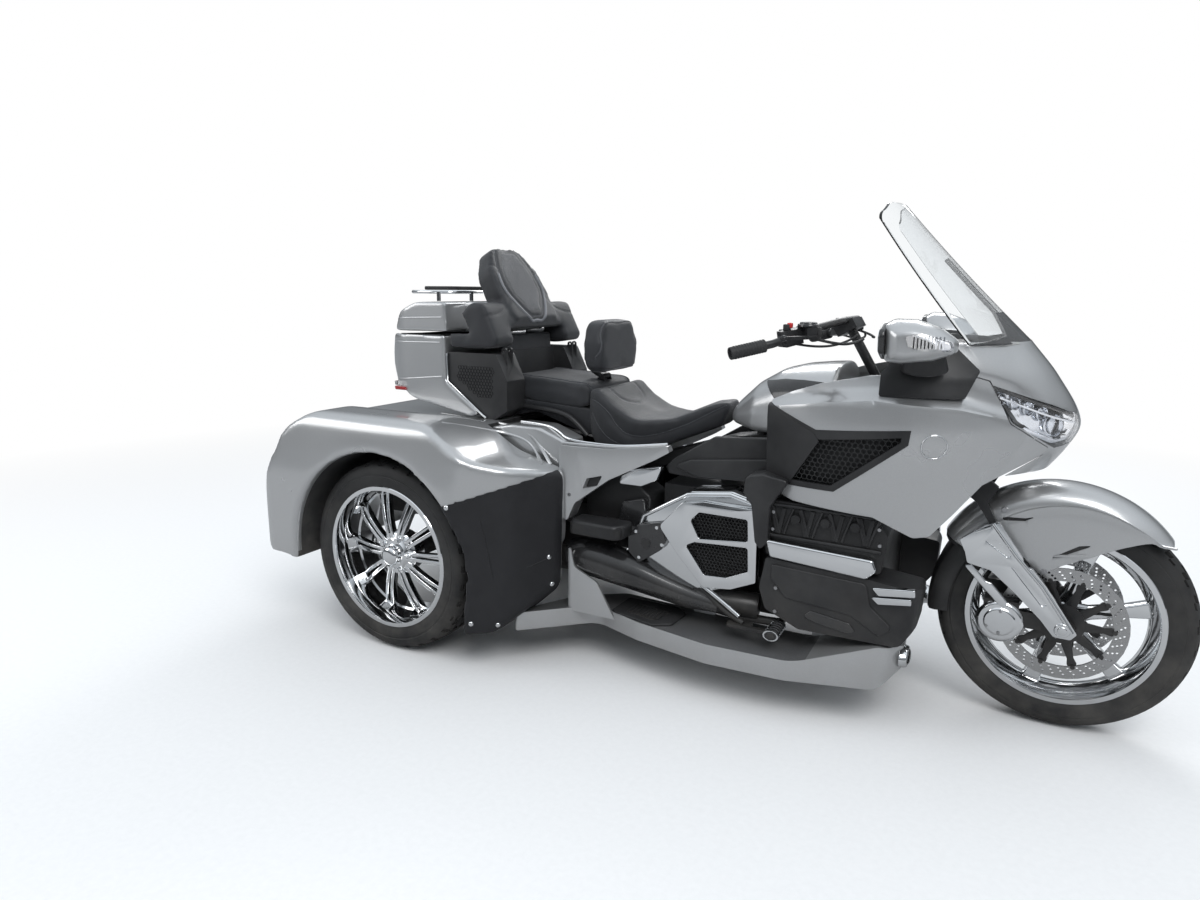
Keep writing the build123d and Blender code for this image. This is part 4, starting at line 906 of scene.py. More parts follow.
def makeDiscs():
    form = frontDiscs
    low, high = form["place"], form["place"] + form["thick"]
    step = 2 * math.pi / form["sectors"]
    sector = wheelRing(
        "sector",
        [(form["inner"], low), (form["outer"], low), (form["outer"], high), (form["inner"], high)],
        form["sectors"],
    )
    bm = bmesh.new()
    bm.from_mesh(sector.data)
    bpy.data.objects.remove(sector)
    keep = [
        f for f in bm.faces
        if abs(math.atan2(f.calc_center_median().z, f.calc_center_median().x) - step / 2) < step / 4
    ]
    bmesh.ops.delete(bm, geom=[f for f in bm.faces if f not in keep], context="FACES")
    bmesh.ops.holes_fill(bm, edges=bm.edges, sides=0)
    bmesh.ops.recalc_face_normals(bm, faces=bm.faces)
    sector = newObject("sector", bm)
    drills = bmesh.new()
    for place, reach in enumerate(form["holes"]):
        turn = step * (0.25 + 0.25 * place)
        spot = Matrix.Rotation(
            -turn, 4, "Y",
        ) @ Matrix.Translation((reach / 1000, (low + high) / 2000, 0)) @ acrossTurn
        addRound(drills, 12, 0.0031, 0.0031, 0.012, spot)
    combine(sector, newObject("drills", drills), "DIFFERENCE")
    bm = bmesh.new()
    bm.from_mesh(sector.data)
    bpy.data.objects.remove(sector)
    walls = []  # the two flat ends of the sector
    for face in bm.faces:
        lengthwise = abs(face.normal.dot(face.calc_center_median().normalized())) < 0.5
        if lengthwise and abs(face.normal.y) < 0.5 and len(face.verts) > 3 and face.calc_area() > 1e-4:
            walls.append(face)
    bmesh.ops.delete(bm, geom=walls, context="FACES")
    ringSpread(bm, form["sectors"])
    bmesh.ops.remove_doubles(bm, verts=bm.verts, dist=0.00002)
    bmesh.ops.recalc_face_normals(bm, faces=bm.faces)
    ring = mirroredPair(newObject("discRing", bm))
    settle(ring, frontAxle)
    dress(ring, discSteel, "front_wheel", replaced=("front_discs",), degrees=30)
    carrier = radialPlate(
        [
            (34, -9), (60, -13), (100, -8), (116, -12), (131, -7), (131, 7), (116, 12), (100, 8), (60, 13),
            (34, 9),
        ],
        low - 3, low + 4, 1.5, 2,
    )
    ringSpread(carrier, form["arms"])
    arms = newObject("carrierArms", carrier)
    collar = wheelRing("collar", [(16, low - 4), (56, low - 4), (56, low + 5), (16, low + 5)], 48)
    bolts = bmesh.new()
    bolt = Matrix.Translation((0.124, (high + 1.5) / 1000, 0)) @ acrossTurn
    addRound(bolts, 12, 0.006, 0.0052, 0.004, bolt)
    ringSpread(bolts, form["arms"])
    carriers = mirroredPair(joined("discCarriers", [arms, collar, newObject("bolts", bolts)]))
    settle(carriers, frontAxle)
    dress(carriers, blackSteel, "front_wheel", degrees=30)


makeDiscs()
print("wheels made")


# rear body: three outlines meet in one solid, softened by a remesh
bodyForm = {
    "side": [
        (-1320, 285, 30), (-1413, 288, 40), (-1435, 385, 90), (-1392, 560, 200), (-1300, 732, 90),
        (-1180, 802, 150),
        (-705, 802, 170), (-520, 690, 130), (-335, 640, 30), (-345, 262, 60), (-478, 142, 30),
        (-560, 142, 10),
    ],
    "plan": [(-331, -375, 70), (-430, -532, 120), (-572, -640, 110), (-1437, -640, 94)],
    "end": [(-636, 120, 0), (-636, 600, 220), (-610, 798, 52), (-420, 798, 160), (-330, 768, 100)],
    "axle": (-895, 325), "arch": 360, "wellFrom": 345, "underside": 405, "voxel": 0.009, "ease": 16,
    "boot": [(-1370, 413), (-640, 413), (-640, 756), (-1240, 756), (-1372, 600)],
}


def bothWays(points):
    return points + [(x, -y, r) for x, y, r in reversed(points)]


def blockAt(name, low, high):
    bm = bmesh.new()
    bmesh.ops.create_cube(bm, size=1)
    first, last = at(*low), at(*high)
    bmesh.ops.scale(bm, verts=bm.verts, vec=last - first)
    bmesh.ops.translate(bm, verts=bm.verts, vec=(first + last) / 2)
    return newObject(name, bm)


def barrelAt(name, x, z, radius, low, high, segments=96):
    bm = bmesh.new()
    addRound(
        bm, segments, radius / 1000, radius / 1000, (high - low) / 1000,
        Matrix.Translation(at(x, (low + high) / 2, z)) @ acrossTurn,
    )
    return newObject(name, bm)


def makeBodyForm():
    form = bodyForm
    shape = prism("bodyForm", form["side"], "y", -660, 660)
    combine(shape, prism("planCut", bothWays(form["plan"]), "z", 60, 900), "INTERSECT")
    ends = form["end"] + [(-y, z, r) for y, z, r in reversed(form["end"])]
    combine(shape, prism("endCut", ends, "x", -1600, -200), "INTERSECT")
    x, z = form["axle"]
    for low, high in ((form["wellFrom"], 700), (-700, -form["wellFrom"])):
        combine(shape, barrelAt("arch", x, z, form["arch"], low, high), "DIFFERENCE")
        combine(shape, blockAt("archFoot", (x - 360, low, -20), (x + 348, high, z)), "DIFFERENCE")
    half = form["wellFrom"] + 1
    combine(shape, blockAt("axleSpace", (-1260, -half, 0), (-200, half, form["underside"])), "DIFFERENCE")
    return remeshed(shape, form["voxel"], form["ease"])


bodyShape = makeBodyForm()
print("body form", len(bodyShape.data.polygons))


def copyOf(piece, name):
    bm = bmesh.new()
    bm.from_mesh(piece.data)
    return newObject(name, bm)


def cutAway(bm, place, normal):
    # drops everything on the side that the normal points to
    bmesh.ops.bisect_plane(
        bm, geom=bm.verts[:] + bm.edges[:] + bm.faces[:], dist=1e-6, plane_co=place, plane_no=normal,
        clear_outer=True,
    )


def inArch(spot, spare=0.0):
    x, z = bodyForm["axle"]
    centre = at(x, 0, z)
    across = abs(spot.y) > bodyForm["wellFrom"] / 1000 - 0.004
    near = math.hypot(spot.x - centre.x, spot.z - centre.z) < (bodyForm["arch"] + spare) / 1000
    foot = spot.z < centre.z and centre.x - 0.362 - spare / 1000 < spot.x < centre.x + 0.350 + spare / 1000
    return across and (near or foot)


def makeRearBody():
    body = copyOf(bodyShape, "rearBody")
    carved(body, blockAt("seatWell", (-640, -340, 0), (-240, 340, 1000)))
    carved(body, prism("bootSpace", bodyForm["boot"], "y", -337, 337, 12))
    doorway = [(-295, 415), (295, 415), (295, 727), (-295, 727)]
    carved(body, prism("doorway", doorway, "x", -1500, -1255, 26))
    dress(body, silverPaint, replaced=("rear_body",), degrees=36)
    body.data.materials.append(wellBlack)
    for face in body.data.polygons:
        lip = 0.028 if face.center.z > 0.30 else 0.012
        inside = inArch(face.center, 3.0) and abs(face.center.y) < 0.6335 - lip
        under = face.center.z < 0.5 and abs(face.center.y) < 0.344
        boot = abs(face.center.y) < 0.3385 and 0.41 < face.center.z < 0.7575 and at(
            -1385, 0, 0,
        ).x < face.center.x < at(-600, 0, 0).x
        if inside or boot or (under and abs(face.normal.x) < 0.8):
            face.material_index = 1
    return body


wellBlack = finish(
    "wellBlack", {}, mouldGrain, {"Color": (0.016, 0.016, 0.017, 1), "Roughness": 0.75, "Scale": 300.0},
    0.4, 0.0006, (0.5, 0.6),
)
makeRearBody()
print("rear body made")


def makeBootDoor():
    bm = bmesh.new()
    bm.from_mesh(bodyShape.data)
    for side in (1, -1):
        cutAway(bm, Vector((0, 0.290 * side, 0)), (0, side, 0))
        for height, up in ((0.420, -1), (0.722, 1)):
            corner = Vector((0, 0.290 * side, height)) - Vector((0, side * 0.0055, up * 0.0055))
            cutAway(bm, corner, Vector((0, side, up)).normalized())
    cutAway(bm, Vector((0, 0, 0.420)), (0, 0, -1))
    cutAway(bm, Vector((0, 0, 0.722)), (0, 0, 1))
    cutAway(bm, at(-1200, 0, 0), (1, 0, 0))
    door = newObject("bootDoor", bm)
    walled(door, 0.008)
    hinge = bmesh.new()
    hinge.from_mesh(cadNodes["boot_door"].data)
    bmesh.ops.remove_doubles(hinge, verts=hinge.verts, dist=0.00002)
    for side in (1, -1):
        cutAway(hinge, Vector((0, 0.222 * side, 0)), (0, side, 0))
    bmesh.ops.delete(
        hinge,
        geom=[
            v for v in hinge.verts if abs(v.co.y) < 0.178 or v.co.z < 0.7185 or v.co.x < at(-1306, 0, 0).x
        ],
        context="VERTS",
    )
    knuckles = newObject("bootHinges", hinge)
    dress(knuckles, blackSteel, "boot_hatch", degrees=30)
    latch = prism("bootHandle", [(-46, 560), (46, 560), (40, 584), (-40, 584)], "x", -1415, -1380, 6)
    bevelled(latch, 0.003, 3)
    latch.data.transform(Matrix.Translation((0.018, 0, 0)))
    dress(latch, chrome, "boot_hatch", degrees=30)
    return dress(door, silverPaint, "boot_hatch", replaced=("boot_door",), degrees=36)


makeBootDoor()

eyePlace = Vector(viewpoint["place"])


def sightLine(u, v):
    # the ray through a place in the photograph's 1200 x 900 frame
    reach = viewpoint["lens"] / 36 * 1200
    turn = bpy.context.scene.camera.matrix_world.to_3x3()
    return (turn @ Vector((u - 600, 450 - v, -reach))).normalized()


def treeOf(*pieces):
    bm = bmesh.new()
    for piece in pieces:
        bm.from_mesh(piece.data)
    tree = BVHTree.FromBMesh(bm)
    bm.free()
    return tree


def seenOn(tree, spots):
    hits = []
    for u, v in spots:
        place, normal, _, _ = tree.ray_cast(eyePlace, sightLine(u, v))
        if place:
            hits.append((place, normal))
    return hits


def beadLine(name, tree, spots, radius, material, body="chassis", sunk=0.3):
    hits = seenOn(tree, spots)
    if len(hits) < 2:
        return None
    line = [place - normal * radius / 1000 * sunk for place, normal in hits]
    bead = tube(name, line, radius, resolution=2)
    return dress(mirroredPair(bead), material, body, degrees=40)


def between(first, last, steps):
    return [
        (first[0] + (last[0] - first[0]) * i / steps, first[1] + (last[1] - first[1]) * i / steps)
        for i in range(steps + 1)
    ]


fenderWrap = {
    "from": (-660, 535), "to": (-400, 628), "inner": 365, "thick": 3.4,
    "snaps": [
        (446, 508), (527, 476), (466, 580), (466, 588), (471, 624), (498, 625), (549, 557), (552, 584),
    ],
    "seam": [(474, 497), (480, 520), (487, 546), (493, 578)],
    "piping": [(468, 583), (493, 581), (520, 571), (549, 558)],
}


def makeWraps():
    form = fenderWrap
    bm = bmesh.new()
    bm.from_mesh(bodyShape.data)
    first, last = at(form["from"][0], 0, form["from"][1]), at(form["to"][0], 0, form["to"][1])
    along = (last - first).normalized()
    cutAway(bm, first, (-along.z, 0, along.x))
    cutAway(bm, at(-700, 0, 0), (-1, 0, 0))
    inner = [
        f for f in bm.faces
        if abs(f.calc_center_median().y) < form["inner"] / 1000 or inArch(f.calc_center_median(), 0.5)
    ]
    bmesh.ops.delete(bm, geom=inner, context="FACES")
    loose = [v for v in bm.verts if not v.link_faces]
    bmesh.ops.delete(bm, geom=loose, context="VERTS")
    rim = [e for e in bm.edges if e.is_boundary]
    for _ in range(3):
        bmesh.ops.smooth_vert(
            bm, verts=list({v for e in rim for v in e.verts}), factor=0.5, use_axis_x=True, use_axis_y=True,
            use_axis_z=True,
        )
    wrap = newObject("fenderWraps", bm)
    walled(wrap, form["thick"] / 1000, 1)
    dress(wrap, wrapVinyl, replaced=("fender_wraps",), degrees=40)
    tree = treeOf(wrap)
    beadLine("wrapSeam", tree, form["seam"], 1.6, wrapVinyl, sunk=0.2)
    beadLine("wrapPiping", tree, form["piping"], 3.2, wrapVinyl, sunk=0.2)
    beadLine("wrapHem", tree, between((449, 509), (526, 478), 8), 1.5, wrapVinyl, sunk=0.1)
    studs = bmesh.new()
    for place, normal in seenOn(tree, form["snaps"]):
        turn = turnTo(normal)
        bmesh.ops.create_uvsphere(
            studs, u_segments=20, v_segments=12, radius=0.0085,
            matrix=Matrix.Translation(place) @ turn @ Matrix.Diagonal((1, 1, 0.62, 1)),
        )
    snaps = mirroredPair(newObject("wrapSnaps", studs))
    dress(snaps, chrome, degrees=60)
    return wrap


makeWraps()
print("wraps made")
bpy.data.objects.remove(bodyShape)


# front cowl: one moulded surface, cut into its panels
cowlForm = {
    "rear": 295, "wall": 4, "across": 150, "below": 30, "above": 22,
    "rows": [  # height, rear half width, widest x, half width, corner x, half width, tip x
        (560, 268, 620, 318, 800, 262, 890), (700, 282, 640, 338, 862, 232, 972),
        (800, 288, 660, 350, 915, 205, 1040),
        (872, 288, 660, 350, 935, 200, 1064), (988, 262, 650, 325, 850, 252, 1000),
        (1074, 235, 640, 290, 790, 262, 931),
    ],
    "ridge": [
        (250, 884), (327, 893), (473, 918), (598, 930), (788, 916), (900, 886), (966, 863), (1066, 850),
    ],
    "strength": [(295, 0.5), (420, 1.0), (760, 1.0), (900, 0.6), (980, 0.0), (1100, 0.0)],
    "shelf": 36, "shelfHeight": 34,
}
fairingOutline = [
    (300, 906), (360, 934), (440, 962), (560, 989), (700, 1002), (790, 1000), (842, 984), (900, 878),
    (1000, 806),
    (930, 764), (850, 716), (790, 636), (738, 572, 18), (700, 566, 18), (640, 596, 20), (600, 616, 30),
    (380, 630, 10),
    (300, 655), (308, 686, 6), (490, 689, 14), (662, 826, 14), (664, 846, 10), (440, 828, 10),
    (300, 888, 4),
]
noseOutline = [
    (640, 1079), (940, 1079), (1100, 980), (1100, 760), (900, 740), (1002, 807), (902, 880), (844, 986),
    (790, 1002.5),
    (700, 1004.5), (640, 998),
]
lampOutline = [(834, 980), (986, 926), (1074, 884), (1074, 822), (1004, 811), (904, 881)]


def readTable(table, x):
    # straight interpolation in a table of pairs
    if x <= table[0][0]:
        return table[0][1]
    for (a, first), (b, last) in zip(table, table[1:]):
        if x <= b:
            return first + (last - first) * (x - a) / (b - a)
    return table[-1][1]


def cowlRow(z):
    # the plan's measures at a height, eased through the rows
    rows = cowlForm["rows"]
    z = min(max(z, rows[0][0] - 6), rows[-1][0] + 6)
    place = 0
    while place < len(rows) - 2 and z > rows[place + 1][0]:
        place += 1
    low, high = rows[place], rows[place + 1]
    before, after = rows[max(place - 1, 0)], rows[min(place + 2, len(rows) - 1)]
    reach = high[0] - low[0]
    t = (z - low[0]) / reach
    made = []
    for k in range(1, 7):
        slopeLow = (high[k] - before[k]) / (high[0] - before[0])
        slopeHigh = (after[k] - low[k]) / (after[0] - low[0])
        made.append(
            (2 * t**3 - 3 * t**2 + 1) * low[k] + (t**3 - 2 * t**2 + t) * slopeLow * reach
            + (3 * t**2 - 2 * t**3) * high[k] + (t**3 - t**2) * slopeHigh * reach
        )
    return made


def arcPlace(first, middle, last, t):
    # a place on the circle through three plan points, from first (0) to last (1)
    ax, ay = first
    bx, by = middle
    cx, cy = last
    d = 2 * (ax * (by - cy) + bx * (cy - ay) + cx * (ay - by))
    ux = ((ax**2 + ay**2) * (by - cy) + (bx**2 + by**2) * (cy - ay) + (cx**2 + cy**2) * (ay - by)) / d
    uy = ((ax**2 + ay**2) * (cx - bx) + (bx**2 + by**2) * (ax - cx) + (cx**2 + cy**2) * (bx - ax)) / d
    start = math.atan2(ay - uy, ax - ux)
    halfway = (math.atan2(by - uy, bx - ux) - start) % (2 * math.pi)
    turn = (math.atan2(cy - uy, cx - ux) - start) % (2 * math.pi)
    if halfway > turn:
        turn -= 2 * math.pi
    angle = start + turn * t
    radius = math.hypot(ax - ux, ay - uy)
    normal = (math.cos(angle), math.sin(angle))
    return (ux + radius * normal[0], uy + radius * normal[1]), normal


def cowlSpot(u, z):
    # u runs from the rear edge (0) over the corner (0.7) to the middle of the nose (1), on the rider's
    # right
    rear, wideX, wide, cornerX, corner, tip = cowlRow(z)
    if u < 0.7:
        return arcPlace((cowlForm["rear"], -rear), (wideX, -wide), (cornerX, -corner), u / 0.7)
    return arcPlace((cornerX, -corner), (tip, 0), (cornerX, corner), (u - 0.7) / 0.6)


def ridgeHeight(x):
    return readTable(cowlForm["ridge"], x)


def ridgeOffset(x, z):
    rise = z - ridgeHeight(x)
    strength = readTable(cowlForm["strength"], x)
    if rise <= 0:
        return strength * 9 * math.exp(rise / 60)
    step = min(rise / cowlForm["shelfHeight"], 1)
    back = max(0.0, min((rise - 46) / 50, 1))
    return strength * (9 - cowlForm["shelf"] * (step * (2 - step)) + 13 * back * back)


def cowlShell(name, inward, thick):
    form = cowlForm
    total = form["below"] + form["above"]
    bm = bmesh.new()
    bmesh.ops.create_grid(bm, x_segments=form["across"], y_segments=total, size=0.5)
    for vert in bm.verts:
        u = vert.co.x + 0.5
        row = round((vert.co.y + 0.5) * total)
        middle = ridgeHeight(cowlSpot(u, 900)[0][0])
        if row <= form["below"]:
            z = 554 + (middle - 554) * row / form["below"]
        else:
            step = (row - form["below"]) / form["above"]
            z = middle + (1080 - middle) * step
        (x, y), (nx, ny) = cowlSpot(u, z)
        if nx * (x - 600) + ny * y < 0:
            nx, ny = -nx, -ny
        out = ridgeOffset(x, z) * min(1, max(0, (abs(y) - 120) / 60)) - inward
        y = y + ny * out if u < 0.9995 else 0.0
        vert.co = at(x + nx * out, min(y, 0.0), z)
    addOtherSide(bm)
    bmesh.ops.remove_doubles(bm, verts=bm.verts, dist=0.00005)
    bmesh.ops.recalc_face_normals(bm, faces=bm.faces)
    if sum(f.normal.dot(f.calc_center_median() - at(600, 0, 850)) for f in bm.faces) < 0:
        bmesh.ops.reverse_faces(bm, faces=bm.faces)
    shell = newObject(name, bm)
    return walled(shell, thick / 1000)


def slab(name, points, low=-420, high=420):
    return prism(name, points, "y", low, high)


def makeCowl():
    shell = cowlShell("cowlShell", 0, cowlForm["wall"])
    side = copyOf(shell, "sideFairings")
    keptIn(side, slab("fairingCut", fairingOutline))
    carved(side, blockAt("noseGap", (700, -150, 0), (1300, 150, 2000)))
    bevelled(side, 0.0012, 2, 50)
    dress(side, silverPaint, replaced=("side_fairings",), degrees=22)
    nose = copyOf(shell, "noseFairing")
    chin = blockAt("chin", (860, -149, 745), (1100, 149, 910))
    zone = combine(slab("noseCut", noseOutline), chin, "UNION")
    keptIn(nose, zone)
    for low, high in ((45.5, 420), (-420, -45.5)):
        carved(nose, slab("lampHole", lampOutline, low, high))
    bevelled(nose, 0.0012, 2, 50)
    dress(nose, silverPaint, replaced=("nose_fairing",), degrees=30)
    glass = cowlShell("lampShell", 1.2, 3)
    lens = keptIn(glass, slab("lampCut", [(x + (2 if x < 950 else -2), z) for x, z in lampOutline]))
    carved(lens, blockAt("lampGap", (700, -47, 0), (1300, 47, 2000)))
    lens.name = "headlampGlass"
    dress(lens, lampGlass, replaced=("headlamps",), degrees=30)
    pan = cowlShell("lampPan", 34, 3)
    pan = keptIn(
        pan, slab("panCut", [(846, 972), (986, 920), (1060, 880), (1060, 828), (1006, 818), (912, 880)]),
    )
    carved(pan, blockAt("panGap", (700, -50, 0), (1300, 50, 2000)))
    dress(pan, lampMirror, degrees=30)
    for name, inward, points, material in (
        (
            "lampBrow", 10, [(846, 974), (986, 923), (1062, 886), (1062, 876), (986, 912), (850, 962)],
            glossBlack,
        ),
        (
            "lampShelf", 12, [(930, 866), (1004, 832), (1060, 838), (1060, 828), (1004, 818), (924, 862)],
            lampMirror,
        ),
        ("lampLine", 8, [(868, 944), (1052, 872), (1052, 867), (870, 938)], lampMirror),
    ):
        strip = cowlShell(name, inward, 16)
        keptIn(strip, slab("stripCut", points))
        carved(strip, blockAt("stripGap", (700, -50, 0), (1300, 50, 2000)))
        bevelled(strip, 0.001, 2, 40)
        dress(
            strip, material,
            degrees=30,
        )
    return shell, treeOf(shell)


def sideReach(tree, x, z):
    # how far out the cowl's surface lies at a place of the side view
    place, _, _, _ = tree.ray_cast(at(x, -600, z), Vector((0, 1, 0)))
    return place.y if place else None


cowlSolid, cowlTree = makeCowl()
print("cowl panels cut")


def makeLampUnits():
    bm = bmesh.new()
    rings = bmesh.new()
    for x, z, size in ((884, 938, 13), (914, 926, 14), (945, 913, 15), (978, 899, 16), (1010, 868, 24)):
        reach = sideReach(cowlTree, x, z)
        if reach is None:
            continue
        spot = at(x - 14, reach * 1000 + 26, z)
        turn = turnTo(Vector((0.8, -0.55, 0.1)))
        bmesh.ops.create_uvsphere(
            bm, u_segments=24, v_segments=14, radius=size / 1000, matrix=Matrix.Translation(spot) @ turn,
        )
        bmesh.ops.create_cone(
            rings, segments=32, radius1=(size - 3) / 1000, radius2=(size + 5) / 1000, depth=0.012,
            cap_ends=False,
            matrix=Matrix.Translation(spot) @ turn,
        )
    units = mirroredPair(newObject("lampUnits", bm))
    dress(units, lampGlass, degrees=60)
    collar = newObject("lampCollars", rings)
    walled(collar, 0.0015)
    mirroredPair(collar)
    dress(collar, lampMirror, degrees=50)


makeLampUnits()

intakeMesh = {"pitch": 15.0, "wire": 2.0, "deep": 17, "thick": 5}


def addCell(bm, spot, pitch):
    turn = acrossTurn @ Matrix.Rotation(math.pi / 6, 4, "Z")
    bmesh.ops.create_circle(
        bm, segments=6, radius=pitch * 0.577 / 1000, cap_ends=True, matrix=Matrix.Translation(spot) @ turn,
    )


def netOf(name, bm, wire, thick):
    # opens the cells, and leaves the wires between them
    cells = bm.faces[:]
    bmesh.ops.inset_individual(bm, faces=cells, thickness=wire / 2000, use_even_offset=True)
    bmesh.ops.delete(bm, geom=cells, context="FACES_ONLY")
    return walled(newObject(name, bm), thick / 1000)


def makeIntakes():
    shell = cowlShell("intakeRimShell", -1.5, 9)
    rim = keptIn(
        shell, slab("rimCut", [(294, 674), (496, 676), (676, 821), (680, 860), (442, 842), (294, 900)]),
    )
    carved(rim, slab("rimHole", [(200, 690), (488, 692), (658, 828), (660, 840), (444, 816), (200, 860)]))
    bevelled(rim, 0.0016, 3, 40)
    rim.name = "intakeRims"
    dress(rim, blackPlastic, degrees=30)
    form = intakeMesh
    bm = bmesh.new()
    pitch = form["pitch"]
    outline = [
        Vector((x, z)) for x, z in [(306, 692), (486, 694), (654, 829), (655, 838), (446, 814), (306, 740)]
    ]
    rows, columns = int(190 / (pitch * 0.866)), int(360 / pitch)
    for row in range(rows):
        for column in range(columns):
            x = 312 + column * pitch + (row % 2) * pitch / 2
            z = 690 + row * pitch * 0.866
            if not all(
                (b - a).cross(Vector((x, z)) - a) > -4 * (b - a).length
                for a, b in zip(outline, outline[1:] + outline[:1])
            ):
                continue
            reach = sideReach(cowlTree, x, z)
            if reach is None:
                continue
            spot = at(x, reach * 1000 + form["deep"], z)
            addCell(bm, spot, pitch)
    net = mirroredPair(netOf("intakeMesh", bm, form["wire"], form["thick"]))
    dress(net, glossBlack, replaced=("grilles",), degrees=30)
    back = cowlShell("intakeBack", 34, 3)
    keptIn(back, slab("backCut", [(300, 668), (500, 670), (690, 820), (690, 870), (455, 884), (300, 900)]))
    dress(back, wellBlack, degrees=30)


makeIntakes()


def makeNoseTrim():
    # a bare round boss with a thin ring on each side
    place, normal, _, _ = cowlTree.ray_cast(at(735, -600, 820), Vector((0, 1, 0)))
    boss = bmesh.new()
    turn = turnTo(normal)
    addRound(boss, 64, 0.0305, 0.0295, 0.004, Matrix.Translation(place) @ turn)
    disc = bevelled(newObject("sideBosses", boss), 0.0012, 3, 40)
    mirroredPair(disc)
    dress(disc, silverPaint, degrees=30)
    ring = bmesh.new()
    bmesh.ops.create_circle(
        ring, segments=64, radius=0.0312, matrix=Matrix.Translation(place + normal * 0.0012) @ turn,
    )
    line = [v.co.copy() for v in ring.verts]
    ring.free()
    bead = mirroredPair(tube("bossRings", line, 1.6, closed=True, resolution=3))
    dress(bead, chrome, degrees=50)


makeNoseTrim()
bpy.data.objects.remove(cowlSolid)
print("cowl made")

screenForm = {
    "low": (1074, 790, 262, 931), "high": (1450, 505, 190, 573), "thick": 4.6,
    "edge": [
        (-300, 1000, 0), (-300, 1074, 20), (-222, 1330, 200), (-196, 1404, 50), (-120, 1444, 60),
        (120, 1444, 60),
        (196, 1404, 50), (222, 1330, 200), (300, 1074, 20), (300, 1000, 0),
    ],
}


def screenSpot(t, z, inward=0.0):
    low, high = screenForm["low"], screenForm["high"]
    part = (z - low[0]) / (high[0] - low[0])
    edgeX, edge, tip = (low[k] + (high[k] - low[k]) * part for k in (1, 2, 3))
    x, y = arcPlace((edgeX, -edge), (tip, 0), (edgeX, edge), t)[0]
    bow = -7 * math.sin(math.pi * min(max(part, 0), 1))
    return x + bow - inward, y, z


def screenSheet(name, outline, inward, thick):
    bm = bmesh.new()
    bmesh.ops.create_grid(bm, x_segments=60, y_segments=44, size=0.5)
    for vert in bm.verts:
        vert.co = at(*screenSpot(vert.co.x + 0.5, 1068 + (vert.co.y + 0.5) * 386, inward))
    bmesh.ops.recalc_face_normals(bm, faces=bm.faces)
    if bm.faces[:][0].normal.x < 0:
        bmesh.ops.reverse_faces(bm, faces=bm.faces)
    sheet = newObject(name, bm)
    walled(sheet, thick / 1000)
    return keptIn(sheet, prism("screenCut", outline, "x", 300, 1100))


def makeScreen():
    glass = screenSheet(
        "windscreen", [(y, max(z, 1074.6), r) for y, z, r in screenForm["edge"]][1:-1], 0.3,
        screenForm["thick"],
    )
    bevelled(glass, 0.0012, 2, 50)
    dress(glass, screenGlass, replaced=("windscreen",), degrees=30)
    foot = screenSheet(
        "screenFoot", [(-250, 1075), (-150, 1092), (-96, 1150), (96, 1150), (150, 1092), (250, 1075)], 6, 6,
    )
    bevelled(foot, 0.0015, 2, 40)
    dress(foot, smokeStrip, degrees=30)
    rails = []
    for side in (-1, 1):
        rails.append(
            tube(
                "rail", [at(*screenSpot(0.5 + side * 0.13, z, 13)) for z in (1080, 1150, 1230, 1290)], 6,
                resolution=3,
            )
        )
    dress(joined("screenRails", rails), blackPlastic, degrees=50)


makeScreen()
print("screen made")


# soft pieces: swollen a little by cloth, then seamed
softRig = {"pressure": 4.0, "frames": 20, "stiffness": 14.0, "bending": 0.6}


def swollen(piece, voxel, cap, held=None, ease=4):
    remeshed(piece, voxel, ease)
    start = [v.co.copy() for v in piece.data.vertices]
    if held:
        group = piece.vertex_groups.new(name="held")
        group.add([i for i, co in enumerate(start) if held(co)], 1.0, "ADD")
    cloth = piece.modifiers.new("cloth", "CLOTH")
    rig = cloth.settings
    rig.mass = 0.25
    rig.use_pressure = True
    rig.uniform_pressure_force = softRig["pressure"]
    rig.tension_stiffness = rig.compression_stiffness = softRig["stiffness"]
    rig.shear_stiffness = 6
    rig.bending_stiffness = softRig["bending"]
    rig.effector_weights.gravity = 0
    rig.quality = 5
    if held:
        rig.vertex_group_mass = "held"
    cloth.collision_settings.use_collision = False
    cloth.point_cache.frame_end = softRig["frames"]
    for step in range(1, softRig["frames"] + 1):
        bpy.context.scene.frame_set(step)
    graph = bpy.context.evaluated_depsgraph_get()
    shaped = piece.evaluated_get(graph).to_mesh()
    ends = [v.co.copy() for v in shaped.vertices]
    piece.evaluated_get(graph).to_mesh_clear()
    piece.modifiers.clear()
    piece.vertex_groups.clear()
    limit = cap / 1000
    for vert, first, last in zip(piece.data.vertices, start, ends):
        move = last - first
        if move.length > limit:
            move = move.normalized() * limit
        vert.co = first + move
    bpy.context.scene.frame_set(1)
    ease = piece.modifiers.new("ease", "SMOOTH")
    ease.factor = 0.5
    ease.iterations = 14
    return applyAll(piece)


def lineOn(tree, spots, origin, heading, closed=False, steps=10):
    # casts a smoothed run of spots on a piece; origin and heading turn a spot into a ray
    count = len(spots)
    run = []
    for i in range(count if closed else count - 1):
        p0, p1, p2, p3 = (
            spots[(i + k) % count] if closed else spots[min(max(i + k, 0), count - 1)]
            for k in (-1, 0, 1, 2)
        )
        for k in range(steps):
            t = k / steps
            run.append(tuple(
                0.5 * (
                    2 * b + (c - a) * t + (2 * a - 5 * b + 4 * c - d) * t * t
                    + (3 * b - a - 3 * c + d) * t**3
                )
                for a, b, c, d in zip(p0, p1, p2, p3)
            ))
    if not closed:
        run.append(tuple(spots[-1]))
    hits = []
    for spot in run:
        place, normal, _, _ = tree.ray_cast(origin(*spot), heading)
        if place:
            hits.append((place, normal))
    return hits


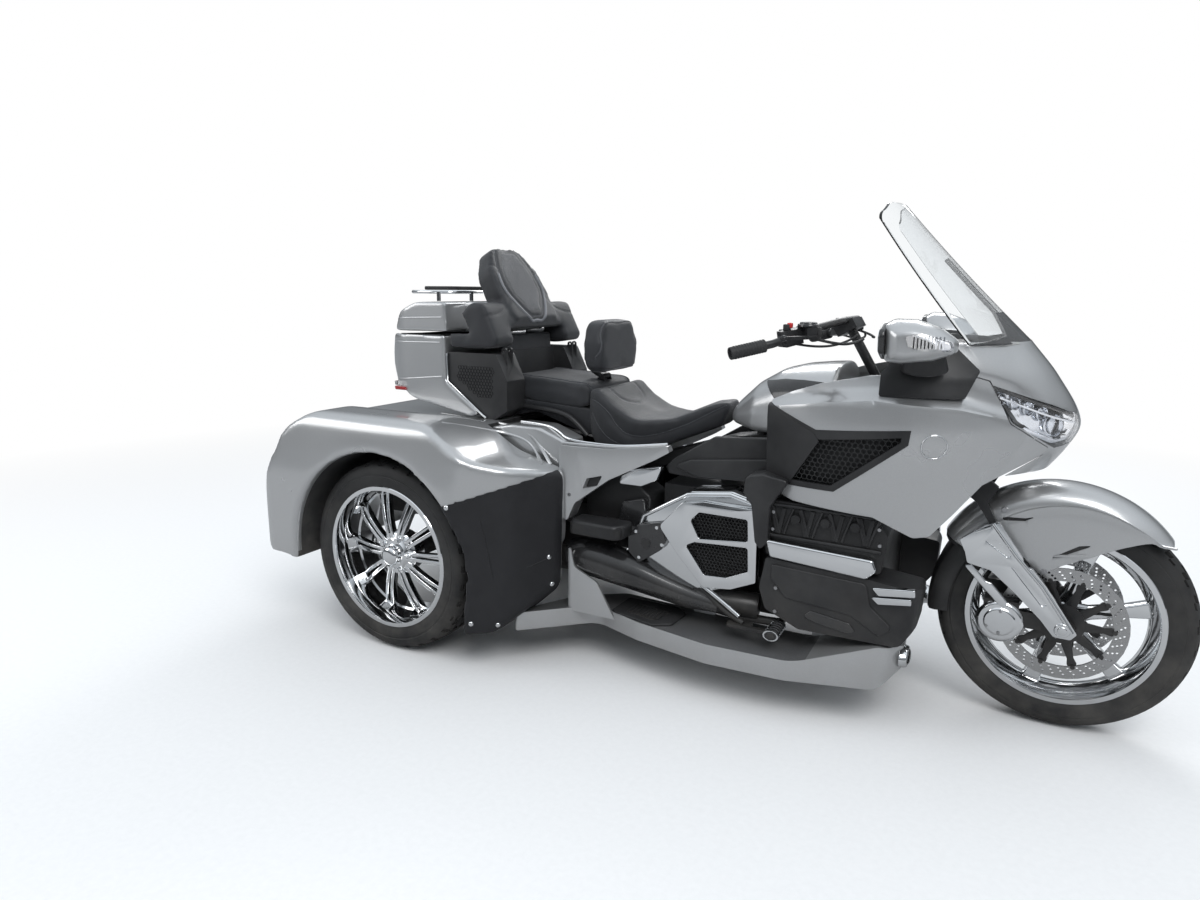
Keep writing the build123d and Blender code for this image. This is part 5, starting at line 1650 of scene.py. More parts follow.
def sewn(piece, hits, depth, width):
    # draws the cover in along a seam
    marks = KDTree(len(hits))
    for i, (place, _) in enumerate(hits):
        marks.insert(place, i)
    marks.balance()
    for vert in piece.data.vertices:
        _, _, gap = marks.find(vert.co)
        if gap < width * 0.003:
            vert.co -= vert.normal * depth / 1000 * math.exp(-((gap * 1000 / width) ** 2))


def welt(name, hits, radius, material, body="chassis", closed=False, sunk=0.35):
    line = [place - normal * radius * sunk / 1000 for place, normal in hits]
    bead = tube(name, line, radius, closed=closed, resolution=2)
    return dress(bead, material, body, degrees=40)


def stitched(name, hits, body, offset=0.0, spacing=6.0, length=3.6, material=None):
    # short threads laid beside a seam
    bm = bmesh.new()
    reach = 0.0
    for (first, normal), (last, _) in zip(hits, hits[1:]):
        step = last - first
        along = step.length
        if along < 1e-6:
            continue
        heading = step.normalized()
        aside = normal.cross(heading).normalized()
        while reach < along:
            spot = first + heading * reach + aside * offset / 1000 + normal * 0.0004
            turn = Matrix((heading, aside, normal)).transposed().to_4x4()
            bmesh.ops.create_cube(
                bm, size=0.001,
                matrix=Matrix.Translation(spot) @ turn @ Matrix.Diagonal((length, 1.0, 0.9, 1)),
            )
            reach += spacing / 1000
        reach -= along
    if not bm.verts:
        bm.free()
        return None
    threads = newObject(name, bm)
    return dress(threads, material or pipingGrey, body, degrees=0)


seatForm = {
    "side": [
        (108, 862, 14), (58, 853, 60), (-70, 795, 120), (-180, 790, 110), (-262, 836, 60), (-318, 884, 40),
        (-352, 884, 24), (-356, 800, 20),
        (-342, 730, 40), (-300, 674, 30), (-180, 668, 30), (-90, 709, 60), (80, 780, 20),
    ],
    "plan": [
        (108, -54, 24), (56, -74, 60), (-60, -104, 80), (-156, -184, 70), (-322, -184, 50),
        (-358, -160, 30),
    ],
    "pillion": [
        (-346, 892, 20), (-352, 826, 18), (-400, 812, 30), (-560, 822, 20), (-684, 840, 14),
        (-686, 912, 20), (-520, 905, 300),
    ],
    "pillionPlan": [(-340, -172, 40), (-430, -163, 60), (-686, -160, 26)],
    "skirt": [
        (-338, 812, 4), (-690, 834, 6), (-690, 768.6, 4), (-652, 768.6, 4), (-560, 790, 40),
        (-352, 724, 20), (-336, 740, 10),
    ],
}


def makeSeat():
    form = seatForm
    saddle = prism("saddle", form["side"], "y", -200, 200)
    combine(saddle, prism("saddlePlan", bothWays(form["plan"]), "z", 600, 960), "INTERSECT")
    swollen(saddle, 0.0062, 3.5, lambda co: co.z < 0.69 or co.x < at(-350, 0, 0).x)
    tree = treeOf(saddle)
    down, inwards = Vector((0, 0, -1)), Vector((0, 1, 0))
    above = lambda x, y: at(x, y, 1400)
    beside = lambda x, z: at(x, -600, z)
    bolster = lineOn(
        tree, [(-352, -98), (-300, -96), (-262, -76), (-236, 0), (-262, 76), (-300, 96), (-352, 98)], above,
        down,
    )
    swoop = lineOn(
        tree,
        [
            (-350, 846), (-310, 838), (-270, 806), (-240, 770), (-196, 742), (-120, 742), (-30, 776),
            (60, 826), (104, 850),
        ],
        beside, inwards,
    )
    lower = lineOn(tree, [(-336, 800), (-306, 760), (-262, 722), (-190, 702), (-110, 716)], beside, inwards)
    for line, depth, width in ((bolster, 3.2, 7), (swoop, 2.2, 6), (lower, 1.6, 5)):
        sewn(saddle, line, depth, width)
        if line is not bolster:
            sewn(saddle, [(Vector((p.x, -p.y, p.z)), n) for p, n in line], depth, width)
    dress(saddle, seatVinyl, replaced=("seat",), degrees=60)
    tree = treeOf(saddle)
    stitched("saddleStitches", [(tree.find_nearest(p)[0], n) for p, n in bolster], "chassis", 3.5)
    for hits, name in ((swoop, "swoopStitches"), (lower, "lowerStitches")):
        fresh = [(tree.find_nearest(p)[0], n) for p, n in hits]
        threads = stitched(name, fresh, "chassis", 3.0)
        if threads:
            mirroredPair(threads)
    pillion = prism("pillionPad", form["pillion"], "y", -190, 190)
    combine(pillion, prism("pillionPlan", bothWays(form["pillionPlan"]), "z", 600, 1000), "INTERSECT")
    swollen(pillion, 0.0062, 3, lambda co: co.z < 0.845)
    tree = treeOf(pillion)
    rim = lineOn(tree, [(-352, -142), (-430, -140), (-560, -136), (-668, -134)], above, down)
    cross = lineOn(tree, [(-668, -134), (-672, -60), (-672, 60), (-668, 134)], above, down)
    front = lineOn(tree, [(-362, -120), (-366, 0), (-362, 120)], above, down)
    other = [(Vector((p.x, -p.y, p.z)), Vector((n.x, -n.y, n.z))) for p, n in rim]
    for line in (rim, other, cross, front):
        sewn(pillion, line, 2.0, 5)
    dress(pillion, seatVinyl, replaced=("seat",), degrees=60)
    mirroredPair(welt("pillionPiping", rim, 2.6, seatPanel))
    skirt = prism("pillionSkirt", form["skirt"], "y", -163, 163)
    bevelled(skirt, 0.006, 3, 40)
    dress(skirt, seatVinyl, degrees=40)
    sides = [
        at(-690, -150, 806), at(-600, -172, 806), at(-470, -176, 800), at(-400, -182, 780),
        at(-352, -176, 726),
    ]
    rail = mirroredPair(tube("grabRails", sides, 9, resolution=4))
    dress(rail, blackPlastic, degrees=50)


makeSeat()
print("seat made")

backForm = {
    "lean": 30, "foot": (-714, 1056), "thick": 82,
    "shield": [
        (-140, 6, 26), (-164, 120, 60), (-154, 208, 60), (-84, 300, 56), (84, 300, 56), (154, 208, 60),
        (164, 120, 60), (140, 6, 26),
    ],
    "insert": [
        (-46, 26, 20), (-104, 118, 40), (-100, 206, 50), (-62, 286, 40), (62, 286, 40), (100, 206, 50),
        (104, 118, 40), (46, 26, 20),
    ],
    "wing": [
        (-834, 1082, 16), (-834, 1008, 12), (-648, 1008, 16), (-634, 1032, 14), (-692, 1158, 20),
        (-742, 1160, 20),
    ],
}


def onBack(across, up, out):
    lean = math.radians(backForm["lean"])
    x, z = backForm["foot"]
    return at(
        x - math.sin(lean) * up + math.cos(lean) * out, across,
        z + math.cos(lean) * up + math.sin(lean) * out,
    )


def backPrism(name, points, low, high):
    bm = bmesh.new()
    roundedFace(bm, [onBack(p[0], p[1], low) for p in points], [p[2] / 1000 for p in points])
    pushOut(bm, onBack(0, 0, high) - onBack(0, 0, low))
    return newObject(name, bm)


def makeBackrest():
    form = backForm
    back = backPrism("passengerBack", form["shield"], 5, form["thick"] - 8)
    wings = prism("wings", form["wing"], "y", -290, 290)
    combine(wings, blockAt("wingGap", (-1200, -176, 860), (-400, 176, 1068)), "DIFFERENCE")
    combine(
        wings,
        slab(
            "lidRoom", [(-1102, 1050), (-1066, 1128), (-985, 1162), (-800, 1163), (-734, 1050)], -285.5,
            285.5,
        ),
        "DIFFERENCE",
    )
    combine(back, wings, "UNION")
    swollen(back, 0.0062, 3.5, lambda co: co.x < at(-790, 0, 0).x and co.z < 1.17)
    tree = treeOf(back)
    facing = (onBack(0, 0, 0) - onBack(0, 0, 1)).normalized()
    before = lambda across, up: onBack(across, up, 400)
    loop = [
        (0, 20), (-44, 30), (-108, 118), (-104, 208), (-62, 290), (0, 294), (62, 290), (104, 208),
        (108, 118), (44, 30),
    ]
    ring = lineOn(tree, loop, before, facing, True)
    sewn(back, ring, 4.0, 8)
    for side in (-1, 1):
        seam = lineOn(
            tree, [(side * 112, 96), (side * 150, 66), (side * 210, 40), (side * 286, 34)], before, facing,
        )
        sewn(back, seam, 2.2, 5)
        upper = lineOn(tree, [(side * 106, 214), (side * 126, 226), (side * 150, 240)], before, facing)
        sewn(back, upper, 2.0, 5)
    dress(back, seatVinyl, "top_lid", replaced=("backrest",), degrees=60)
    insert = backPrism("backInsert", form["insert"], form["thick"] - 30, form["thick"] - 6)
    swollen(
        insert, 0.005, 2.5,
        lambda co: (co - onBack(0, 0, form["thick"] - 22)).dot(onBack(0, 0, 1) - onBack(0, 0, 0)) < 0,
    )
    dress(insert, seatPanel, "top_lid", degrees=60)
    tree = treeOf(back)
    low = lineOn(
        tree, [(-118, 190), (-120, 116), (-52, 16), (0, 6), (52, 16), (120, 116), (118, 190)], before,
        facing,
    )
    welt("backPiping", low, 7.5, pipingGrey, "top_lid", sunk=0.55)
    rim = lineOn(tree, loop, before, facing, True)
    welt("insertPiping", rim, 2.4, seatPanel, "top_lid", closed=True)
    lumbar = prism(
        "lumbarPad", [(-716, 922, 8), (-694, 924, 8), (-704, 1046, 10), (-726, 1046, 8)], "y", -162, 162,
    )
    bevelled(lumbar, 0.006, 3, 40)
    dress(lumbar, seatVinyl, degrees=40)


makeBackrest()
print("backrest made")


def makeRiderPad():
    bm = bmesh.new()
    outline = [
        (-134, -80, 48), (134, -80, 48), (142, 18, 56), (108, 92, 48), (-108, 92, 48), (-142, 18, 56),
    ]
    base = at(-397, 0, 1008)
    along = Vector((1, 0, 0.06)).normalized()
    up = Vector((-0.06, 0, 1)).normalized()

    def spot(across, height, out):
        return base + Vector((0, across / 1000, 0)) + up * height / 1000 + along * out / 1000

    roundedFace(bm, [spot(p[0], p[1], 6) for p in outline], [p[2] / 1000 for p in outline])
    pushOut(bm, along * 0.070)
    pad = newObject("riderPad", bm)
    swollen(pad, 0.0055, 3, lambda co: (co - base).dot(along) < 0.008)
    tree = treeOf(pad)
    loop = [(-124, -66), (-132, 14), (-100, 80), (0, 84), (100, 80), (132, 14), (124, -66), (0, -72)]
    rim = lineOn(tree, loop, lambda a, b: spot(a, b, 300), -along, True)
    back = lineOn(tree, loop, lambda a, b: spot(a, b, -300), along, True)
    for line in (rim, back):
        sewn(pad, line, 2.5, 5)
    dress(pad, seatVinyl, "rider_backrest", replaced=("rider_pad",), degrees=60)
    welt("riderPiping", rim, 2.6, seatPanel, "rider_backrest", closed=True)
    post = bevelled(cleanCopy("backrest_post", "backrestPost"), 0.002, 3, 30)
    dress(post, blackSteel, "rider_backrest", replaced=("backrest_post",), degrees=40)


makeRiderPad()
print("rider pad made")


# panels and engine between the wheels, made on the rider's right and mirrored
def sidePanel(
    name, points, near, far, edge, material=None, body="chassis", replaced=(), segments=3,
):
    panel = prism(name, points, "y", -far, -near)
    if edge:
        bevelled(panel, edge / 1000, segments, 28)
    if material is None:
        return panel
    return dress(mirroredPair(panel), material, body, replaced, 34)


def hexNet(name, outline, spotAt, pitch, wire, thick):
    # a honeycomb of small closed cells inside a convex outline of the side view
    corners = [Vector(p) for p in outline]
    lowX, highX = min(p.x for p in corners), max(p.x for p in corners)
    lowZ, highZ = min(p.y for p in corners), max(p.y for p in corners)
    turn = 1 if sum(a.cross(b) for a, b in zip(corners, corners[1:] + corners[:1])) > 0 else -1
    bm = bmesh.new()
    for row in range(int((highZ - lowZ) / (pitch * 0.866)) + 1):
        for column in range(int((highX - lowX) / pitch) + 1):
            x = lowX + column * pitch + (row % 2) * pitch / 2
            z = lowZ + row * pitch * 0.866
            inside = all(
                turn * (b - a).cross(Vector((x, z)) - a) > 0
                for a, b in zip(corners, corners[1:] + corners[:1])
            )
            spot = spotAt(x, z) if inside else None
            if spot:
                addCell(bm, spot, pitch)
    return netOf(name, bm, wire, thick)


def boltHeads(name, spots, radius, tall, material, body="chassis", hexagon=False):
    # spots are (x, across, z); both sides get them
    bm = bmesh.new()
    for x, y, z in spots:
        addRound(
            bm, 6 if hexagon else 20, radius / 1000, radius * 0.86 / 1000, tall / 1000,
            Matrix.Translation(at(x, y, z)) @ acrossTurn,
        )
    heads = mirroredPair(newObject(name, bm))
    return dress(heads, material, body, degrees=30)


engineCover = {
    "plate": [
        (-108, 466, 14), (-86, 520, 14), (70, 612, 20), (200, 628, 24), (276, 606, 18), (286, 560, 10),
        (290, 372, 10), (206, 330, 20),
        (120, 296, 16), (-56, 348, 14), (-112, 415, 14),
    ],
    "frame": [
        (-18, 500, 16), (54, 582, 24), (120, 594, 20), (286, 590, 6), (290, 372, 6), (214, 338, 16),
        (128, 330, 16), (40, 424, 14),
    ],
    "windows": [
        [(84, 532, 8), (110, 560, 10), (258, 558, 8), (262, 492, 8), (112, 478, 10)],
        [(70, 452, 8), (98, 466, 8), (262, 474, 8), (266, 402, 8), (200, 372, 10), (132, 368, 10)],
    ],
}


def makeEngineCovers():
    form = engineCover
    sidePanel("coverPlates", form["plate"], 194, 298, 9, chrome, replaced=("engine_covers",))
    ring = sidePanel("coverFrames", form["frame"], 290, 326, 0)
    for window in form["windows"]:
        combine(ring, prism("window", window, "y", -340, -294), "DIFFERENCE")
    bevelled(ring, 0.005, 3, 30)
    mirroredPair(ring)
    dress(ring, chrome, degrees=34)
    backs = []
    for window in form["windows"]:
        backs.append(prism("windowBack", [(x, z) for x, z, _ in window], "y", -301, -297))
        flat = [(x, z) for x, z, _ in window]
        net = hexNet("windowMesh", flat, lambda x, z: at(x, -309, z), 11, 2.0, 7)
        mirroredPair(net)
        dress(net, glossBlack, degrees=30)
    dress(mirroredPair(joined("windowBacks", backs)), wellBlack, degrees=30)
    rail = [(-96, 468), (-78, 520), (66, 604), (198, 620), (276, 600)]
    bead = tube("coverRail", [at(x, -304, z) for x, z in rail], 7, smooth=False, resolution=3)
    dress(mirroredPair(bead), chrome, degrees=50)
    sidePanel(
        "coverBrackets",
        [
            (-126, 450, 8), (-92, 492, 10), (-12, 510, 8), (4, 452, 10), (-14, 420, 10), (-88, 366, 12),
            (-124, 400, 10),
        ],
        290, 322, 4, glossBlack,
    )
    boltHeads(
        "bracketBolts", [(-96, -322, 470), (-26, -322, 492), (-8, -322, 440), (-84, -322, 388)], 6, 7,
        chrome,
    )
    boltHeads("bracketHubs", [(-62, -322, 436)], 17, 6, blackPlastic)


makeEngineCovers()


def makeHeads():
    block = bevelled(cleanCopy("engine", "engineBlock"), 0.004, 3, 30)
    dress(block, engineBlack, replaced=("engine",), degrees=34)
    ribs = []
    for x in (356, 436, 516, 588):
        for lean in (-1, 1):
            line = [at(x + lean * 30, -312, 606), at(x + lean * 14, -314, 560), at(x + lean * 6, -312, 530)]
            ribs.append(tube("rib", line, 4.2, smooth=False, resolution=2))
    ribs.append(tube("rib", [at(316, -311, 612), at(616, -311, 608)], 5, smooth=False, resolution=2))
    ribs.append(tube("rib", [at(316, -311, 522), at(626, -311, 516)], 5, smooth=False, resolution=2))
    dress(mirroredPair(joined("headRibs", ribs)), blackSteel, degrees=50)
    caps = [(x, -316, 578) for x in (394, 476, 556)]
    boltHeads("headCaps", caps, 15, 14, engineBlack)
    boltHeads(
        "headBolts", [(330, -312, 590), (330, -312, 540), (618, -312, 580), (622, -312, 536)], 6, 10,
        satinMetal, hexagon=True,
    )
    sidePanel(
        "rockerBars", [(316, 512, 8), (330, 462, 10), (596, 442, 14), (622, 468, 12), (610, 498, 8)], 309,
        338, 9, chrome, replaced=("rocker_guards",), segments=4,
    )
    for low, high in ((404, 426), (380, 399)):
        tip = 724 if low > 400 else 716
        sidePanel(
            "noseStripUpper" if low > 400 else "noseStripLower",
            [(612, high - 2, 4), (632, low, 6), (tip, low + 12, 4), (tip - 2, high + 10, 4)], 320, 341, 3,
            chrome,
        )


makeHeads()


def makeLowerCowls():
    base = sidePanel(
        "lowerCowls",
        [
            (300, 360, 20), (316, 456, 10), (600, 440, 20), (736, 424, 14), (730, 320, 30), (690, 262, 24),
            (420, 258, 20), (320, 300, 16),
        ],
        190.5, 326, 0,
    )
    plan = prism(
        "cowlPlan",
        [(200, -150), (200, -318, 20), (640, -334, 60), (716, -322, 30), (748, -240, 30), (748, -150)], "z",
        0, 1000,
    )
    combine(base, plan, "INTERSECT")
    bevelled(base, 0.008, 3, 30)
    mirroredPair(base)
    dress(base, blackPlastic, replaced=("lower_cowls",), degrees=34)
    sidePanel(
        "cowlStep",
        [
            (334, 398, 10), (336, 440, 8), (598, 428, 20), (612, 366, 20), (676, 312, 16), (640, 284, 12),
            (560, 330, 30), (380, 346, 14),
        ],
        318, 331, 4, blackPlastic,
    )
    sidePanel(
        "cowlSlot",
        [(430, 300, 8), (452, 322, 8), (560, 306, 8), (580, 284, 8), (560, 276, 8), (470, 288, 8)], 318,
        330, 3, glossBlack,
    )
    boltHeads(
        "cowlBolts", [(352, -327, 300), (690, -320, 300), (352, -331, 372)], 6, 6, satinMetal,
    )


makeLowerCowls()


def makeSideCovers():
    cover = prism(
        "sideCovers",
        [
            (-353, 724, 8), (-353, 508, 10), (-330, 470, 14), (-300, 540, 24), (-196, 620, 16),
            (-60, 690, 8), (-18, 716, 4), (-26, 734, 4), (-200, 720, 60),
        ],
        "y", -380, -200,
    )
    plan = prism(
        "coverPlan",
        [
            (-353, -300), (-353, -358), (-300, -352, 30), (-180, -318, 60), (-16, -258), (-16, -226),
            (-180, -280),
        ],
        "z", 300, 900,
    )
    combine(cover, plan, "INTERSECT")
    slot = prism(
        "coverSlot", [(-276, 588, 3), (-262, 622, 3), (-214, 634, 3), (-230, 600, 3)], "y", -400, -318,
    )
    combine(cover, slot, "DIFFERENCE")
    bevelled(cover, 0.0045, 3, 28)
    mirroredPair(cover)
    dress(cover, silverPaint, replaced=("side_covers",), degrees=30)
    back = prism("slotBack", [(-280, 584), (-264, 626), (-208, 638), (-226, 596)], "y", -320, -315)
    dress(mirroredPair(back), wellBlack, degrees=30)
    boltHeads("coverBolts", [(-318, -352, 566)], 7, 6, satinMetal)
    line = [at(-352, -345, 729), at(-200, -316, 724), at(-110, -286, 728), at(-30, -254, 737)]
    bead = mirroredPair(tube("coverLedge", line, 4.5, resolution=3))
    dress(bead, silverPaint, degrees=50)


makeSideCovers()


def makeDeckEdges():
    bridge = sidePanel("deckEdges", [
        (-640, 752), (-560, 766, 40), (-452, 764, 60), (-353, 727, 10), (-353, 506, 10), (-420, 520, 20),
        (-520, 640, 20), (-640, 690),
    ], 196, 322, 12, silverPaint, segments=4)
    trim = [
        (-560, -258, 768), (-470, -262, 768), (-404, -276, 754), (-353, -306, 731), (-200, -300, 726),
        (-110, -274, 730), (-30, -246, 739),
    ]
    bead = mirroredPair(tube("seatEdgeTrims", [at(*spot) for spot in trim], 4, resolution=3))
    dress(bead, chrome, degrees=50)
    body = bpy.data.objects["rearBody"]
    ribTree = treeOf(body, bridge)
    for name, drop in (("deckRib", 0), ("deckRib", 9)):
        spots = [
            (442, 413 + drop), (470, 417 + drop), (500, 423 + drop), (526, 430 + drop),
            (541 - drop / 2, 448 + drop / 2), (551 - drop, 464),
        ]
        beadLine(name, ribTree, spots, 6, silverPaint, sunk=0.55)


makeDeckEdges()


def makeStruts():
    upper = cowlShell("strutShell", -3, 14)
    keptIn(
        upper, slab("strutCut", [(292, 898), (436, 834), (452, 812), (372, 684), (350, 650), (292, 640)]),
    )
    bevelled(upper, 0.003, 3, 40)
    upper.name = "sideStruts"
    dress(upper, blackPlastic, replaced=("side_struts",), degrees=30)
    sidePanel(
        "strutLegs",
        [
            (250, 690, 20), (300, 700, 20), (374, 688, 10), (344, 640, 16), (324, 606, 10), (322, 500, 8),
            (300, 478, 8), (284, 500, 8), (270, 606, 16), (244, 640, 16),
        ],
        256, 338, 6, blackPlastic,
    )
    sidePanel(
        "underSeat",
        [
            (-46, 662, 12), (-20, 690, 12), (110, 770, 16), (424, 790, 10), (330, 716, 20), (296, 690, 10),
            (288, 640, 10), (200, 644, 40), (60, 634, 30), (-36, 640, 8),
        ],
        194, 218, 6, blackPlastic,
    )
    sidePanel(
        "underSeatStep",
        [(-20, 668, 10), (40, 694, 20), (200, 712, 60), (300, 722, 10), (290, 646, 10), (60, 642, 20)], 212,
        230, 5, blackPlastic,
    )
    sidePanel(
        "chromePatch", [(-190, 596, 8), (-176, 640, 8), (-40, 670, 8), (-60, 622, 8), (-110, 596, 8)], 236,
        262, 4, chrome,
    )
    sidePanel(
        "swingBlock",
        [
            (-330, 540, 10), (-320, 590, 10), (-180, 620, 14), (-90, 560, 20), (-96, 420, 20),
            (-300, 400, 20),
        ],
        105, 232, 8, engineBlack,
    )
    sidePanel(
        "heelGuard", [(-190, 470, 10), (-176, 540, 10), (-100, 560, 10), (-86, 470, 10), (-120, 420, 12)],
        228, 262, 5, glossBlack,
    )


makeStruts()
print("engine side made")


def makeBoards():
    board = bevelled(cleanCopy("running_boards", "runningBoards"), 0.0035, 3, 30)
    dress(board, silverPaint, replaced=("running_boards",), degrees=34)
    board.data.materials.append(boardTopShadePaint)
    # the boards' upward faces get a darker paint: painted shade from the body above them
    for face in board.data.polygons:
        if face.normal.z > 0.93 and 0.18 < face.center.z < 0.20:
            face.material_index = 1
    pads = bevelled(cleanCopy("board_pads", "boardPads"), 0.003, 3, 30)
    dress(pads, gripRubber, replaced=("board_pads",), degrees=34)
    inner = prism(
        "padInset", [(-128, -320, 10), (-22, -348, 10), (2, -262, 10), (-120, -242, 10)], "z", 197, 200.4,
    )
    mirroredPair(bevelled(inner, 0.001, 2, 40))
    dress(inner, blackPlastic, degrees=34)
    ribs = []
    for step in range(9):
        x = -118 + step * 13
        ribs.append(
            prism(
                "rib",
                [
                    (x, -312 - step * 3.2), (x + 5, -313 - step * 3.2), (x + 5, -252 - step * 2),
                    (x, -251 - step * 2),
                ],
                "z", 200, 202,
            )
        )
    dress(mirroredPair(joined("padRibs", ribs)), gripRubber, degrees=30)
    lamp = bmesh.new()
    addRound(
        lamp, 40, 0.030, 0.026, 0.022,
        Matrix.Translation(at(702, -262, 216)) @ Matrix.Rotation(
            math.pi / 2, 4, "Y",
        ) @ Matrix.Diagonal((1.05, 1.5, 1, 1)),
    )
    bezel = bevelled(newObject("boardLampRims", lamp), 0.004, 3, 40)
    mirroredPair(bezel)
    dress(bezel, chrome, degrees=34)
    eye = bmesh.new()
    bmesh.ops.create_uvsphere(
        eye, u_segments=32, v_segments=16, radius=0.021,
        matrix=Matrix.Translation(at(712, -262, 216)) @ Matrix.Diagonal((0.35, 1.4, 1, 1)),
    )
    dress(mirroredPair(newObject("boardLamps", eye)), lampGlass, degrees=60)


# painted shade for the running boards' upward faces: a darker copy of the silver paint, with a satin finish
boardTopShadePaint = finish(
    "boardTopShadePaint", {"Metallic": 0.7, "Coat Weight": 0.4, "Coat Roughness": 0.2},
    metalFlake, {"Color": (0.17, 0.173, 0.18, 1), "Roughness": 0.42, "Flake": 0.3}, 0.3, 0.0003,
    (0.35, 0.3),
)
makeBoards()


def shapedTube(name, points, resolution=5):
    # points carry a radius of their own in mm
    curve = bpy.data.curves.new(name, "CURVE")
    curve.dimensions = "3D"
    line = curve.splines.new("NURBS")
    line.points.add(len(points) - 1)
    for spot, (x, y, z, radius) in zip(line.points, points):
        spot.co = (*at(x, y, z), 1)
        spot.radius = radius
    line.order_u = 3
    line.use_endpoint_u = True
    line.resolution_u = 10
    curve.bevel_depth = 0.001
    curve.bevel_resolution = resolution
    return curveMesh(name, curve)


def makeExhausts():
    pipes = bevelled(cleanCopy("exhausts", "exhaustPipes"), 0.0015, 2, 40)
    dress(pipes, blackSteel, replaced=("exhausts",), degrees=34)
    cover = shapedTube("exhaustCovers", [
        (-330, -296, 352, 52), (-300, -300, 356, 58), (-220, -304, 352, 62), (-120, -302, 332, 54),
        (0, -296, 300, 40), (90, -290, 280, 32),
        (170, -284, 268, 28),
    ], 10)
    mirroredPair(cover)
    dress(cover, glossBlack, degrees=50)
    arms = []
    arms.append(
        tube(
            "arm", [at(60, -276, 330), at(140, -300, 300), at(210, -322, 262), at(262, -334, 246)], 9,
            resolution=3,
        )
    )
    arms.append(tube("arm", [at(100, -262, 250), at(220, -268, 232), at(356, -262, 240)], 13, resolution=3))
    dress(mirroredPair(joined("pedalArms", arms)), blackSteel, degrees=50)
    bar = tube("brakeLever", [at(120, -310, 330), at(190, -326, 300), at(250, -338, 266)], 7, resolution=3)
    dress(mirroredPair(bar), chrome, degrees=50)


makeExhausts()


def makeFootRests():
    plain = bevelled(cleanCopy("foot_rests", "footRests"), 0.002, 3, 30)
    dress(plain, blackSteel, replaced=("foot_rests",), degrees=34)
    board = prism(
        "pillionBoards",
        [(-304, -296, 14), (-300, -388, 24), (-140, -394, 24), (-118, -360, 14), (-118, -296, 14)], "z",
        448, 494,
    )
    bevelled(board, 0.010, 3, 40)
    dress(mirroredPair(board), blackPlastic, degrees=34)
    peg = bmesh.new()
    addRound(
        peg, 24, 0.0165, 0.0155, 0.096,
        Matrix.Translation(at(356, -334, 244)) @ acrossTurn @ Matrix.Diagonal((1.15, 0.8, 1, 1)),
    )
    rubber = bevelled(newObject("pegRubbers", peg), 0.003, 3, 40)
    dress(mirroredPair(rubber), gripRubber, degrees=34)
    rings = bmesh.new()
    for reach in (294, 308, 322, 336, 350, 364, 376):
        addRound(
            rings, 24, 0.0195, 0.0195, 0.0045,
            Matrix.Translation(at(356, -reach, 244)) @ acrossTurn @ Matrix.Diagonal((1.15, 0.8, 1, 1)),
        )
    dress(mirroredPair(newObject("pegRings", rings)), chrome, degrees=34)


makeFootRests()
print("boards and rests made")


# fork, its chrome blades and the front fender
def sidePrism(name, points, near, far, edge, segments=3, degrees=28):
    panel = prism(name, points, "y", -far, -near)
    return bevelled(panel, edge / 1000, segments, degrees) if edge else panel


def makeFork():
    legs = cleanCopy("fork", "forkLegs")
    front = [
        (1170, 300), (1108, 322), (1016, 434), (950, 506), (888, 596), (866, 640), (905, 720), (1010, 720),
        (1170, 380),
    ]
    for low, high in ((-150, -84), (84, 150)):
        combine(legs, prism("legCut", front, "y", low, high), "DIFFERENCE")
    bevelled(legs, 0.0025, 3, 30)
    dress(legs, blackSteel, "front_fork", replaced=("fork",), degrees=34)

    blade = sidePrism("forkBlades", [
        (806, 533, 6), (822, 500, 4), (830, 470, 8), (890, 458, 20), (950, 408, 10), (1022, 340, 20),
        (1056, 299, 14), (1096, 298, 8),
        (1110, 316, 6), (1028, 434, 30), (990, 478, 10), (972, 478, 6), (964, 506, 8), (898, 596, 6),
        (868, 585, 8),
    ], 118.6, 135, 0)
    pockets = [
        [(866, 540, 3), (896, 545, 4), (938, 506, 4), (926, 500, 3)],
        [(934, 480, 3), (956, 470, 3), (1034, 384, 4), (1022, 376, 6)],
    ]
    for pocket in pockets:
        combine(blade, prism("pocket", pocket, "y", -150, -126), "DIFFERENCE")
    bevelled(blade, 0.0028, 3, 28)
    mirroredPair(blade)
    dress(blade, chrome, "front_fork", replaced=("fork_covers",), degrees=34)
    rib = tube(
        "bladeRib", [at(884, -134, 590), at(950, -135, 506), at(1018, -135, 432), at(1098, -134, 318)], 5.5,
        smooth=False, resolution=3,
    )
    foot = tube("bladeRib", [at(842, -134, 560), at(880, -135, 580)], 5, smooth=False, resolution=3)
    dress(mirroredPair(joined("bladeRibs", [rib, foot])), chrome, "front_fork", degrees=50)
    second = sidePrism("secondBlades", [
        (822, 460, 4), (842, 466, 6), (880, 424, 10), (896, 420, 4), (940, 372, 4), (936, 358, 4),
        (920, 360, 6), (872, 408, 6),
    ], 119, 131, 3.5)
    dress(mirroredPair(second), chrome, "front_fork", degrees=34)
    cover = bmesh.new()
    for radius, place, tall in ((61, 122, 8), (45, 126, 7)):
        addRound(
            cover, 64, radius / 1000, (radius - 9) / 1000, tall / 1000,
            Matrix.Translation(at(925, -place, 312)) @ acrossTurn,
        )
    rounds = bevelled(newObject("caliperCovers", cover), 0.0025, 3, 30)
    dress(mirroredPair(rounds), chrome, "front_fork", degrees=34)
    caps = bmesh.new()
    for radius, place, tall in ((21, 137, 6), (13, 140, 4)):
        addRound(
            caps, 40, radius / 1000, (radius - 3) / 1000, tall / 1000,
            Matrix.Translation(at(1075, -place, 322)) @ acrossTurn,
        )
    dress(
        mirroredPair(bevelled(newObject("axleCaps", caps), 0.0012, 2, 30)), chrome, "front_fork",
        degrees=34,
    )
    boltHeads(
        "caliperBolts", [(925, -131, 344), (925, -131, 280), (894, -128, 296)], 5, 5, satinMetal,
        "front_fork", True,
    )


makeFork()


